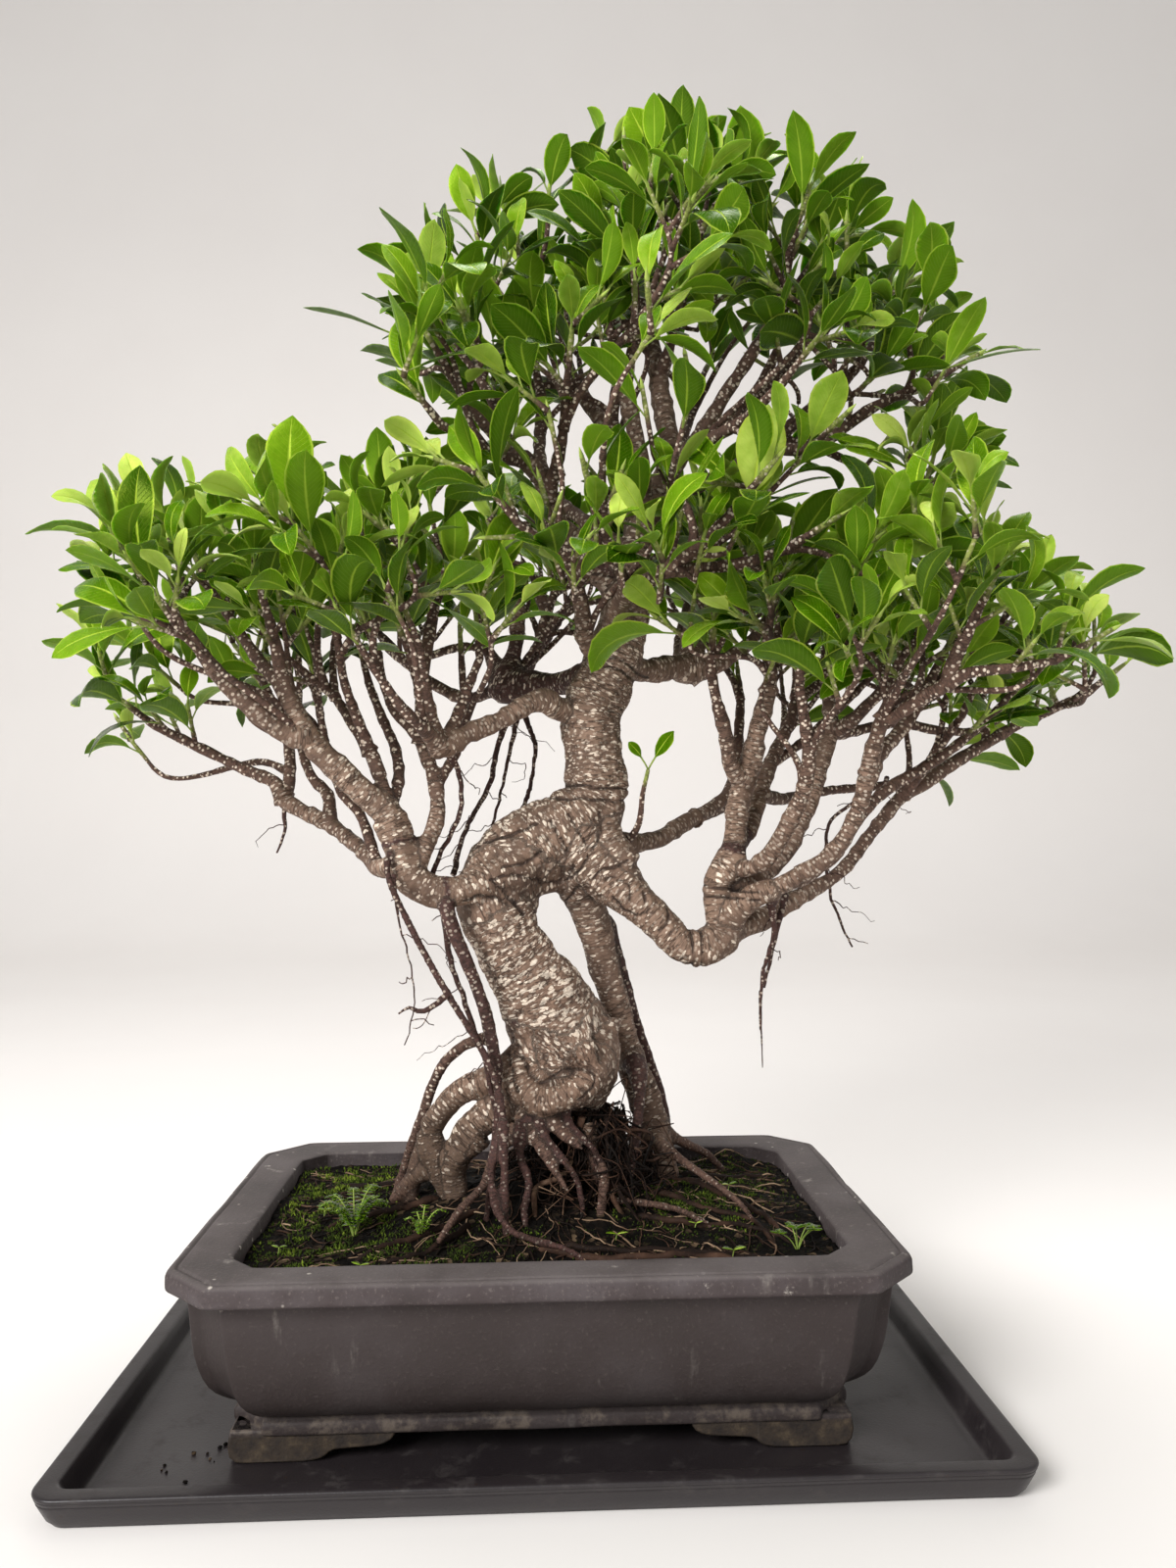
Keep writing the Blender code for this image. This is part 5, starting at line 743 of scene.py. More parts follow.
class Tree:
    """Points of the tree, each with its parent point, its radius and the kind of growth."""

    def __init__(self):
        """A tree without points."""
        self.place = []
        self.parent = []
        self.radius = []
        self.kind = []
        self.tips = []       # last point of each leafy shoot

    def add(self, place, parent, radius, kind):
        """Add a point, and return its index."""
        self.place.append(place)
        self.parent.append(parent)
        self.radius.append(radius)
        self.kind.append(kind)
        return len(self.place) - 1

    def nearest(self, place):
        """Index of the point that is nearest to a place."""
        return min(range(len(self.place)), key=lambda index: (self.place[index] - place).length)

    def heading(self, index):
        """Direction of growth from a point's parent to it."""
        before = self.parent[index]
        if before is None:
            return Vector((0, 0, 1))
        return (self.place[index] - self.place[before]).normalized()

    def children(self):
        """Indices of the points that grow from each point."""
        below = [[] for _ in self.place]
        for index, before in enumerate(self.parent):
            if before is not None:
                below[before].append(index)
        return below


def smooth_route(route, step=ROUTE_STEP):
    """Places and radii along a smooth curve through a route's own (x, y, z, radius) points."""
    return curved([(Vector(point[:3]), point[3]) for point in route], step)


def add_route(tree, route, kind):
    """Grow a route from the tree's point that is nearest to the route's start."""
    points = smooth_route(route)
    if tree.place:
        last = tree.nearest(points[0][0])
    else:
        last = tree.add(points[0][0], None, points[0][1], kind)
    for place, radius in points[1:]:
        last = tree.add(place, last, radius, kind)
    return last


def add_leafy_end(tree, last, draw):
    """Lengthen a limb's end by a leafy shoot that turns up and outward."""
    heading = tree.heading(last)
    outward = Vector((tree.place[last].x - CROWN_MIDDLE.x, tree.place[last].y, 0)).normalized()
    lean = Vector((draw.uniform(-0.3, 0.3), draw.uniform(-0.3, 0.3), 0))
    heading = (heading + 0.45 * Vector((0, 0, 1)) + 0.25 * outward + lean).normalized()
    tree.tips.append(tree.add(tree.place[last] + heading * LEAFY_LENGTH, last, SHOOT_RADIUS, "shoot"))


def wanted_tips(draw):
    """Tips on the upper and outer shell of each leaf pad, with the way each shoot heads."""
    wanted = []
    for _, middle, half, count in PADS:
        for _ in range(count * 6):
            way = random_vector(draw).normalized()
            if way.z < LOWEST_TIP:
                continue
            depth = draw.uniform(*SHELL)
            place = Vector(middle) + Vector([way[axis] * half[axis] * depth for axis in range(3)])
            lean = Vector((draw.uniform(-0.25, 0.25), draw.uniform(-0.25, 0.25), 0))
            heading = (way * 0.6 + Vector((0, 0, 0.55)) + lean).normalized()
            wanted.append((place, heading))
    return wanted


def joint_cost(tree, index, base, heading):
    """Cost of a twig from a tree point to a shoot's base: short, forward-going twigs are cheap."""
    way = base - tree.place[index]
    reach = way.length
    if not SHORTEST_TWIG <= reach <= LONGEST_TWIG:
        return None
    way /= reach
    forward = way.dot(tree.heading(index))
    if forward < LEAST_FORWARD:
        return None
    return reach * (FLAT_COST - FORWARD_GAIN * forward - SHOOT_GAIN * way.dot(heading))


def twig_path(tree, index, base, heading):
    """Curved path from a tree point to a shoot's base, straight where it leaves its parent."""
    start = tree.place[index]
    way = (base - start).normalized()
    leave = (way + 0.5 * tree.heading(index)).normalized()
    first = start + leave * (tree.radius[index] + LEAVE_ROOM)
    reach = (base - first).length
    pull = reach * TWIG_PULL
    steps = max(1, round(reach / ROUTE_STEP))
    path = [first]
    for step in range(1, steps + 1):
        t = step / steps
        first_share, first_pull = 2 * t ** 3 - 3 * t * t + 1, t ** 3 - 2 * t * t + t
        base_share, base_pull = -2 * t ** 3 + 3 * t * t, t ** 3 - t * t
        path.append(first_share * first + first_pull * pull * leave
                    + base_share * base + base_pull * pull * heading)
    return path


def path_is_clear(tree, index, path, lookup, samples):
    """True if the path keeps its room from all wood but the parent it leaves."""
    start = tree.place[index]
    own = tree.radius[index] + OWN_ROOM
    places = [start.lerp(path[0], 0.7)] + path
    for first, second in zip(places, places[1:]):
        parts = max(1, round((second - first).length / SAMPLE_STEP))
        for part in range(1, parts + 1):
            place = first.lerp(second, part / parts)
            if (place - start).length < own:
                continue
            for _, sample, _ in lookup.find_range(place, SEARCH_REACH):
                room = (samples[sample][0] - place).length - samples[sample][1] - SHOOT_RADIUS * 1.6
                if room < TWIG_ROOM:
                    return False
    return True


def wood_samples(tree, step, first):
    """Places along all wood with their radii and the point each leads to, from a first part on."""
    samples = []
    for index, before in enumerate(tree.parent):
        if before is None:
            continue
        start, end = tree.place[before], tree.place[index]
        parts = max(1, round((end - start).length / step))
        for part in range(first, parts + 1):
            share = part / parts
            radius = tree.radius[before] + (tree.radius[index] - tree.radius[before]) * share
            samples.append((start.lerp(end, share), radius, index))
    return samples


def may_branch(tree, busy):
    """Points that a new twig may leave from."""
    found = []
    for index, kind in enumerate(tree.kind):
        if kind == "limb" and tree.radius[index] > THICK_RADIUS:
            continue
        if kind in ("limb", "twig") and index not in busy:
            found.append(index)
    return found


def mark_busy(tree, busy, index):
    """Keep the next junction off this one and its neighbours."""
    busy.add(index)
    if tree.parent[index] is not None:
        busy.add(tree.parent[index])
    for other, before in enumerate(tree.parent):
        if before == index:
            busy.add(other)


def grow_twigs(tree, draw):
    """Join the wanted tips to the tree one after another, the nearest first."""
    wanted = wanted_tips(draw)
    busy = set()
    for index, before in enumerate(tree.parent):
        if before is not None and tree.kind[index] != tree.kind[before]:
            mark_busy(tree, busy, before)
    count = sum(pad[3] for pad in PADS)
    while wanted and count:
        lookup = lookup_of([tree.place[index] for index in may_branch(tree, busy)])
        wanted.sort(key=lambda tip: -lookup.find(tip[0])[2])
        place, heading = wanted.pop()
        if any((tree.place[tip] - place).length < TIP_SPACING for tip in tree.tips):
            continue
        if join_tip(tree, place, heading, busy):
            count -= 1


def join_tip(tree, place, heading, busy):
    """Grow a twig and its leafy shoot to a tip, from the cheapest branching point with a clear way."""
    base = place - heading * LEAFY_LENGTH
    costs = []
    for index in may_branch(tree, busy):
        cost = joint_cost(tree, index, base, heading)
        if cost is not None:
            costs.append((cost, index))
    costs.sort()
    samples = wood_samples(tree, SAMPLE_STEP, 1)
    lookup = lookup_of([sample[0] for sample in samples])
    for _, index in costs[:JOINT_TRIES]:
        path = twig_path(tree, index, base, heading)
        if not path_is_clear(tree, index, path + [place], lookup, samples):
            continue
        last = index
        for point in path:
            last = tree.add(point, last, SHOOT_RADIUS, "twig")
        tree.tips.append(tree.add(place, last, SHOOT_RADIUS, "shoot"))
        mark_busy(tree, busy, index)
        return True
    return False


def count_shoots(tree, below):
    """Leafy shoots beyond each point; a root counts as more than a spray can hold."""
    shoots = [0] * len(tree.place)
    for end in range(len(tree.place)):
        if below[end]:
            continue
        index = end
        while index is not None:
            shoots[index] += SPRAY_SHOOTS + 1 if tree.kind[end] == "root" else 1
            index = tree.parent[index]
    return shoots


def thicken_twigs(tree, below):
    """Give twigs the radius that their shoots need, from the tips back."""
    for index in range(len(tree.place) - 1, -1, -1):
        if tree.kind[index] not in ("twig", "shoot"):
            continue
        flow = 0.0
        for child in below[index]:
            step = (tree.place[child] - tree.place[index]).length
            flow += (tree.radius[child] + TWIG_TAPER * step) ** PIPE_POWER
        if flow:
            tree.radius[index] = flow ** (1 / PIPE_POWER)


def grow_tree():
    """The whole tree as points: trunk, limbs, roots, strands, twigs and leafy shoots."""
    draw = random.Random(TREE_SEED)
    tree = Tree()
    ends = [add_route(tree, route, "limb") for route in (TRUNK, *LIMBS.values())]
    for route in (*ROOTS.values(), *STRANDS.values()):
        add_route(tree, route, "root")
    for end in ends:
        add_leafy_end(tree, end, draw)
    grow_twigs(tree, draw)
    thicken_twigs(tree, tree.children())
    return tree


def chains(tree, start, below, keep):
    """Split the points under a start point into unbranched runs, the thickest child going on."""
    runs = []
    open_runs = [[start]]
    while open_runs:
        run = open_runs.pop()
        while True:
            after = [child for child in below[run[-1]] if keep(child)]
            if not after:
                break
            after.sort(key=lambda child: -tree.radius[child])
            for child in after[1:]:
                open_runs.append([run[-1], child])
            run.append(after[0])
        if len(run) > 1:
            runs.append(run)
    return runs


def run_points(tree, run):
    """Places and radii of a run, which starts inside its parent no thicker than it goes on."""
    points = [(tree.place[point], tree.radius[point]) for point in run]
    start = min(points[0][1], points[1][1] * 1.2) if tree.parent[run[0]] is not None else points[0][1]
    return [(points[0][0], start)] + points[1:]


def cut_place(tree, path, lookup, samples):
    """How far along a path the spray starts, clear of the wood around its branching point."""
    travelled = tree.radius[path[0]] + CUT_MARGIN - 1
    while travelled < CUT_REACH:
        place, _ = along(tree, path, travelled)
        if place is None:
            return None
        room = SEARCH_REACH
        for _, sample, _ in lookup.find_range(place, SEARCH_REACH):
            middle, radius, owner = samples[sample]
            if owner not in path[1:]:
                room = min(room, (middle - place).length - radius)
        if room > tree.radius[path[1]] + CUT_ROOM:
            return travelled
        travelled += CUT_STEP
    return None


def along(tree, path, distance):
    """Place and heading at a distance along a path of points, kept off the path's corners."""
    for before, after in zip(path, path[1:]):
        edge = tree.place[after] - tree.place[before]
        if distance < edge.length - CUT_MARGIN / 2:
            distance = max(distance, CUT_MARGIN)
            return tree.place[before] + edge.normalized() * distance, edge.normalized()
        distance = max(distance - edge.length, 0)
    return None, None


def spray_cuts(tree, before, index, below, lookup, samples):
    """Cut the branch from its wood, or else each branch that leaves it further on."""
    path = single_path(before, index, below)
    distance = cut_place(tree, path, lookup, samples)
    if distance is not None:
        return [(path, distance)]
    cuts = []
    for child in below[path[-1]]:
        cuts += spray_cuts(tree, path[-1], child, below, lookup, samples)
    return cuts


def divide(tree, shoots):
    """Starts of sprays: each child with few enough shoots of a point with more."""
    starts = []
    for index, before in enumerate(tree.parent):
        if before is None or not 0 < shoots[index] <= SPRAY_SHOOTS:
            continue
        if shoots[before] > SPRAY_SHOOTS:
            starts.append((before, index))
    return starts


def single_path(before, index, below):
    """The path from a branching point through a child up to the next branching."""
    path = [before, index]
    while len(below[path[-1]]) == 1:
        path.append(below[path[-1]][0])
    return path


def passed_points(tree, path, place):
    """Index of the first path point beyond a place on the path."""
    for number, (before, after) in enumerate(zip(path, path[1:])):
        edge = tree.place[after] - tree.place[before]
        share = (place - tree.place[before]).dot(edge) / edge.length_squared
        off = (tree.place[before] + edge * share - place).length
        if off < 0.01 and 0 <= share < 1:
            return number + 1
    return len(path) - 1


def gather(index, below):
    """All points that grow from a point, with the point itself."""
    found = {index}
    front = [index]
    while front:
        for child in below[front.pop()]:
            found.add(child)
            front.append(child)
    return found


def leaf_frame(tree, tip, number, draw):
    """Root, direction, normal and length of one leaf of a shoot, youngest first."""
    axis = tree.heading(tip)
    across = axis.cross(Vector((0.3, 0.2, 1))).normalized()
    turn = math.radians(GOLDEN_TURN * number + draw.uniform(-TURN_PLAY, TURN_PLAY) + SHOOT_TURN * tip)
    radial = Matrix.Rotation(turn, 3, axis) @ across
    least, growth, play = LEAF_TILTS
    tilt = math.radians(least + growth * number + draw.uniform(-play, play))
    root = tree.place[tip] - axis * (LEAF_STARTS[0] + LEAF_STARTS[1] * number)
    direction = axis * math.cos(tilt) + radial * math.sin(tilt)
    direction = (direction + Vector((0, 0, 0.12))).normalized()
    normal = squared(axis * math.sin(tilt) - radial * math.cos(tilt) + Vector((0, 0, 1.0)), direction)
    age = min(1.0, LEAF_AGES[0] + number * LEAF_AGES[1])
    length = LEAF_LENGTH * age * draw.uniform(0.88, 1.16)
    return root, direction, normal, length


def blade_point(frame, t, side, face, grow=0.0):
    """Point of a leaf: t from root to tip, side from -1 to 1, face 0 on top and -1 at the keel."""
    root, direction, normal, length = frame
    reach = PETIOLE + length
    across = direction.cross(normal)
    neck = PETIOLE / reach
    droop = 0.10 * reach * t * t
    half = PETIOLE_HALF
    if t > neck:
        share = (t - neck) / (1 - neck)
        half += length * BLADE_HALF * math.sin(math.pi * share ** 0.85) ** 0.8
    if t <= 0 or t >= 1:
        half = thick = 0.0
    else:
        half += grow
        thick = BLADE_THICK + 2 * grow
    place = root + direction * reach * t - normal * droop
    return place + across * side * half + normal * (face * thick + grow)


def blade_template():
    """A sphere of three sides and three rings, which each blade is shaped from."""
    work = bmesh.new()
    bmesh.ops.create_uvsphere(work, u_segments=3, v_segments=4, radius=1)
    return mesh_of(work, "blade")


def ring_share(height):
    """Place along the leaf of a template ring at a height from -1 to 1."""
    stops = ((-1.0, 0.0), (-0.71, 0.17), (0.0, 0.52), (0.71, 0.83), (1.0, 1.0))
    return min(stops, key=lambda stop: abs(stop[0] - height))[1]


def blade_places(template, frame, grow=0.0, start=0.0):
    """Places of the template's points on a leaf; with a start, the root moves out along the leaf."""
    places = []
    for vertex in template.vertices:
        x, y, z = vertex.co
        t = max(start, ring_share(z))
        side = math.copysign(1, x) if abs(x) > 0.1 else 0
        face = -1 if y > 0.1 and side == 0 else 0
        places.append(blade_point(frame, t, side, face, grow))
    return places


def box_of(places):
    """Lowest and highest corner of the box around some places."""
    low = Vector([min(place[axis] for place in places) for axis in range(3)])
    high = Vector([max(place[axis] for place in places) for axis in range(3)])
    return low, high


def boxes_meet(first, second):
    """True if two boxes touch or overlap."""
    return all(first[0][axis] <= second[1][axis] and second[0][axis] <= first[1][axis]
               for axis in range(3))


def ring_sides(rings, sides):
    """Faces between rings of points that follow one another."""
    faces = []
    for ring in range(rings - 1):
        low, high = ring * sides, (ring + 1) * sides
        for side in range(sides):
            after = (side + 1) % sides
            faces.append((low + side, low + after, high + after, high + side))
    return faces


def tube_tree(tree):
    """Lookup over all wood as thin prisms, to keep leaves clear of it."""
    places = []
    faces = []
    for index, before in enumerate(tree.parent):
        if before is None:
            continue
        start, end = tree.place[before], tree.place[index]
        axis = (end - start).normalized()
        across = axis.orthogonal().normalized()
        up = axis.cross(across)
        faces += [tuple(len(places) + point for point in face) for face in ring_sides(2, 4)]
        for place, radius in ((start, tree.radius[before]), (end, tree.radius[index])):
            radius = min(radius, tree.radius[index] * 1.3) + LEAF_ROOM
            for a, b in ((1, 0), (0, 1), (-1, 0), (0, -1)):
                places.append(place + (across * a + up * b) * radius * 1.2)
    return BVHTree.FromPolygons(places, faces)


class Shape:
    """Points, faces and marks of a mesh that is put together from many small bodies."""

    def __init__(self, *marks):
        """An empty shape; each of its points will have a value for each mark."""
        self.places = []
        self.faces = []
        self.marks = {name: [] for name in marks}
        self.count = 0

    def add(self, places, faces, **marks):
        """Add a body by its points, its faces and its points' marks."""
        places = np.asarray(places, float)
        self.places.append(places)
        self.faces += [tuple(point + self.count for point in face) for face in faces]
        for name, values in self.marks.items():
            values.append(np.asarray(marks[name], float).reshape(len(places), -1))
        self.count += len(places)

    def mesh(self, name):
        """All bodies as one mesh."""
        mesh = bpy.data.meshes.new(name)
        mesh.from_pydata((np.concatenate(self.places) * MM).tolist(), [], self.faces)
        return mesh

    def item(self, name, material):
        """All bodies as one smooth object with its marks and its material."""
        mesh = self.mesh(name)
        for mark, values in self.marks.items():
            write_mark(mesh, mark, np.concatenate(values))
        mesh.update()
        return finished(name, mesh, material)


def finished(name, mesh, material, is_smooth=True):
    """A mesh as an object of the scene with its one material."""
    mesh.materials.clear()
    mesh.materials.append(material)
    if is_smooth:
        mesh.polygons.foreach_set("use_smooth", [True] * len(mesh.polygons))
    return placed(name, mesh)


def crisp(item):
    """Leaves with sharp margins and midribs: edges along a blade's side or middle aren't smoothed over."""
    mesh = item.data
    marks = np.empty(len(mesh.vertices) * 3, np.float32)
    mesh.attributes["leaf_place"].data.foreach_get("vector", marks)
    marks = marks.reshape(-1, 3)
    ends = np.empty(len(mesh.edges) * 2, int)
    mesh.edges.foreach_get("vertices", ends)
    first, last = marks[ends[0::2]], marks[ends[1::2]]
    along = (first[:, 0] == last[:, 0]) & (first[:, 2] == last[:, 2])
    margin = along & (np.abs(first[:, 0]) == 1)
    rib = along & (first[:, 0] == 0) & (first[:, 2] == 1)
    mesh.attributes.new("sharp_edge", "BOOLEAN", "EDGE").data.foreach_set("value", margin | rib)
    return item


def write_mark(mesh, name, values):
    """Store a float or a vector for each point of the mesh, for its material to read."""
    values = np.asarray(values, np.float32)
    if values.ndim == 2 and values.shape[1] == 3:
        mesh.attributes.new(name, "FLOAT_VECTOR", "POINT").data.foreach_set("vector", values.ravel())
    else:
        mesh.attributes.new(name, "FLOAT", "POINT").data.foreach_set("value", values.ravel())


def curved(points, step):
    """Places and radii every few millimetres along a smooth curve through (place, radius) points."""
    places = [place for place, _ in points]
    radii = [radius for _, radius in points]
    places = [places[0] * 2 - places[1]] + places + [places[-1] * 2 - places[-2]]
    found = [points[0]]
    for index in range(1, len(places) - 2):
        before, start, end, after = places[index - 1:index + 3]
        parts = max(1, round((end - start).length / step))
        for part in range(1, parts + 1):
            t = part / parts
            place = 0.5 * (2 * start + (end - before) * t
                           + (2 * before - 5 * start + 4 * end - after) * t * t
                           + (3 * start - before - 3 * end + after) * t ** 3)
            found.append((place, radii[index - 1] + (radii[index] - radii[index - 1]) * t))
    return found


def swept(points):
    """Way along, heading and two directions across at each point, without twist."""
    frames = []
    way = 0.0
    across = None
    for index, (place, _) in enumerate(points):
        before = points[max(index - 1, 0)][0]
        after = points[min(index + 1, len(points) - 1)][0]
        heading = (after - before).normalized()
        if across is None:
            across = heading.orthogonal().normalized()
        across = squared(across, heading)
        if index:
            way += (place - points[index - 1][0]).length
        frames.append((way, heading, across, heading.cross(across)))
    return frames


def tube(points, sides, bumps=0.0, seed=0.0, start_swell=0.0):
    """Points, faces, bark places and radii of a closed tube with a slightly uneven girth."""
    places, marks, sizes = [], [], []
    for (place, radius), (way, _, first, second) in zip(points, swept(points)):
        swell = 1 + start_swell * math.exp(-way / (radius * 1.4 + 1))
        for side in range(sides):
            turn = math.tau * side / sides
            x, y = math.cos(turn), math.sin(turn)
            girth = radius * swell
            if bumps:
                spot = Vector((x * 1.3, y * 1.3, way / (radius * 2.2 + 3) + seed))
                girth *= 1 + bumps * noise.noise(spot)
            places.append(place + (first * x + second * y) * girth)
            marks.append((x * radius, y * radius, way + seed * 37))
            sizes.append(radius)
    return places, ring_faces(len(points), sides), marks, sizes


def seen_runs(tree):
    """Runs of (place, radius) of the wood, of the sprays' stubs, and of each spray with its tips."""
    below = tree.children()
    samples = [(place, min(radius, tree.radius[tree.parent[index]]), index)
               for place, radius, index in wood_samples(tree, CUT_SAMPLE, 0)]
    lookup = lookup_of([sample[0] for sample in samples])
    cuts = []
    for before, index in divide(tree, count_shoots(tree, below)):
        cuts += spray_cuts(tree, before, index, below, lookup, samples)
    taken = set()
    stubs = []
    sprays = []
    for path, distance in cuts:
        place, heading = along(tree, path, distance)
        passed = passed_points(tree, path, place)
        radius = tree.radius[path[passed]]
        stub = [(tree.place[point], radius) for point in path[:passed]]
        stubs.append(stub + [(place - heading * 2, radius), (place + heading * 3, radius * 0.85)])
        group = gather(path[passed], below)
        taken |= gather(path[1], below)
        runs = [run_points(tree, run) for run in chains(tree, path[passed], below, lambda child: True)]
        if not runs:
            runs = [[(tree.place[path[passed]], radius)]]
        runs[0] = [(place - heading * CUT_OVERLAP, radius)] + runs[0]
        sprays.append((runs, [tip for tip in tree.tips if tip in group]))
    wood = [run_points(tree, run) for run in chains(tree, 0, below, lambda child: child not in taken)]
    return wood, stubs, sprays


def side_end(start, heading, lookup, added, draw):
    """Tip of a short shoot from a place on a twig, or None if no try finds room for it."""
    for _ in range(SIDE_TRIES):
        way = squared(random_vector(draw), heading)
        way = (way + heading * 0.5 + Vector((0, 0, 0.55))).normalized()
        end = start + way * draw.uniform(*SIDE_LENGTHS)
        if way.z < -0.1 or lookup.find(end)[2] < SIDE_ROOM or not is_leafy_place(end, draw):
            continue
        if all((end - other).length >= SIDE_ROOM for other in added):
            return end
    return None


def add_side_shoots(tree, sprays):
    """Grow short leafy shoots from the twigs of each spray, where there is room for them."""
    draw = random.Random(SIDE_SEED)
    lookup = lookup_of(list(tree.place))
    leafy = lookup_of([tree.place[tip] for tip in tree.tips])
    added = []
    for runs, tips in sprays:
        shoots = []
        for run in runs:
            points = curved(run, SIDE_SPACING)
            for (before, _), (start, radius) in zip(points, points[1:]):
                if radius > SIDE_THICKEST or leafy.find(start)[2] > SIDE_NEAR:
                    continue
                end = side_end(start, (start - before).normalized(), lookup, added, draw)
                if end is None:
                    continue
                base = tree.add(start, lookup.find(start)[1], SIDE_RADIUS, "side")
                tip = tree.add(end, base, SHOOT_RADIUS, "side")
                tree.tips.append(tip)
                tips.append(tip)
                added.append(end)
                shoots.append([(start, SIDE_RADIUS), (end, SHOOT_RADIUS)])
        runs += shoots


def long_twig(tree, limbs, lookup, end, heading, shortest, draw):
    """Places of a thin twig from one of the limbs up to a leafy tip, or None without a clear way."""
    base = end - heading * LEAFY_LENGTH * 0.7
    costs = []
    for index in limbs:
        cost = joint_cost(tree, index, base, heading)
        if cost is not None and shortest < (base - tree.place[index]).length < LONG_REACH[1]:
            costs.append((cost, index))
    if not costs:
        return None
    choices = LONG_CHOICES if shortest > 0 else 1
    index = draw.choice(sorted(costs)[:choices])[1]
    middle = twig_path(tree, index, base, heading)
    for place in middle[1:]:
        _, other, room = lookup.find(place)
        if shortest > 0 and room < tree.radius[other] + 3:
            return None
    return index, [tree.place[index]] + middle + [end]


def add_twig(tree, index, places):
    """Add a thin twig to the tree's points, and return the run of it and its tip."""
    last = index
    run = []
    for number, place in enumerate(places):
        radius = min(LONG_THICKEST, SHOOT_RADIUS + LONG_TAPER * (len(places) - 1 - number) * ROUTE_STEP)
        run.append((place, radius))
        if number:
            last = tree.add(place, last, radius, "side")
    tree.tips.append(last)
    return run, last


def wanted_twigs(tree, sprays, draw):
    """Tips for long twigs, each with its heading, if it has one, and the twig's least length."""
    wanted = [(Vector(place), None, 0) for place in CHOSEN_TIPS + [leaf[0] for leaf in SHOW_LEAVES]]
    for _, tips in sprays:
        for tip in tips:
            for _ in range(LONG_TRIES):
                aside = Vector([draw.gauss(0, spread) for spread in LONG_SPREAD])
                wanted.append((tree.place[tip] + aside, tree.heading(tip), LONG_REACH[0]))
    return wanted


def add_long_shoots(tree, sprays):
    """Grow thin twigs from the limbs up to new leafy tips: the chosen ones and some beside each spray's."""
    draw = random.Random(LONG_SEED)
    limbs = [index for index, kind in enumerate(tree.kind) if kind == "limb"
             and LONG_PARENTS[0] < tree.radius[index] <= LONG_PARENTS[1] and tree.place[index].z > LONG_LOW]
    lookup = lookup_of(list(tree.place))
    ends = [tree.place[tip] for tip in tree.tips]
    owners = [(tree.place[tip], number) for number, (_, tips) in enumerate(sprays) for tip in tips]
    for end, heading, shortest in wanted_twigs(tree, sprays, draw):
        lean = Vector((draw.uniform(-0.5, 0.5), draw.uniform(-0.5, 0.5), draw.uniform(0, 0.4)))
        if heading is None:
            heading = (end - CROWN_MIDDLE).normalized() * 0.6 + Vector((0, 0, 0.7))
            lean *= 0.4
        elif any((end - other).length < LONG_ROOM for other in ends) or not is_leafy_place(end, draw):
            continue
        found = long_twig(tree, limbs, lookup, end, (heading + lean).normalized(), shortest, draw)
        if found is None:
            continue
        run, tip = add_twig(tree, *found)
        _, number = min(owners, key=lambda owner: (owner[0] - end).length)
        sprays[number][0].append(run)
        sprays[number][1].append(tip)
        ends.append(end)


def is_in_outline(x, z, outline):
    """True if a point lies inside a closed outline of points."""
    inside = False
    for (x0, z0), (x1, z1) in zip(outline, outline[1:] + outline[:1]):
        if (z0 > z) != (z1 > z) and x < x0 + (x1 - x0) * (z - z0) / (z1 - z0):
            inside = not inside
    return inside


def front_view(place):
    """Where the upright plane through the trunk is hit by the line of sight to a place."""
    depth = 1 - place.y * MM / CAMERA_PLACE[1]
    height = CAMERA_PLACE[2] / MM
    return place.x / depth, height + (place.z - height) / depth


def is_leafy_place(place, draw):
    """True where extra leaves may grow: in the canopy's outline, and seldom in a hollow."""
    x, z = front_view(place)
    if not is_in_outline(x, z, CANOPY):
        return False
    for middle_x, middle_z, reach_x, reach_z in HOLLOWS:
        if ((x - middle_x) / reach_x) ** 2 + ((z - middle_z) / reach_z) ** 2 < 1:
            return draw.random() > HOLLOW_SHARE
    return True


def wood_routes(tree):
    """All fine runs of the wood piece as (place, radius), the own forms of this script with them."""
    wood, stubs, sprays = seen_runs(tree)
    runs = [slim_foot(curved(run, WOOD_STEP)) if number == 0 else curved(slimmed(run), WOOD_STEP)
            for number, run in enumerate(wood)]
    runs += [curved(run, WOOD_STEP) if len(run) > 3 else run for run in stubs]
    runs += [smooth_route(route, WOOD_STEP) for route in (*KNEE.values(), *EXTRA_ROOTS.values())]
    return runs, sprays


def slimmed(run):
    """A run with the share of its thickness that its lower end has in SLIM_ROOTS."""
    for end, share in SLIM_ROOTS:
        if (run[-1][0] - Vector(end)).length < 2:
            return run[:1] + [(place, radius * share) for place, radius in run[1:]]
    return run


def core_share(height):
    """From 0 above the foot of the trunk to 1 down in its core."""
    return clamped((CORE_TOP - height) / (CORE_TOP - CORE_BOTTOM))


def slim_foot(run):
    """The trunk's run with its foot drawn in to the core."""
    found = []
    for place, radius in run:
        share = core_share(place.z)
        shifted = place + Vector((0, CORE_SHIFT * share, 0))
        found.append((shifted, radius + (CORE_RADIUS - radius) * share))
    return found


def remeshed(shape, voxel, smooth_steps):
    """One smooth body around all bodies of the shape."""
    item = placed("bodies", shape.mesh("bodies"))
    remesh = item.modifiers.new("remesh", "REMESH")
    remesh.mode = "VOXEL"
    remesh.voxel_size = voxel * MM
    smooth = item.modifiers.new("smooth", "SMOOTH")
    smooth.factor = 0.5
    smooth.iterations = smooth_steps
    return baked_mesh(item)


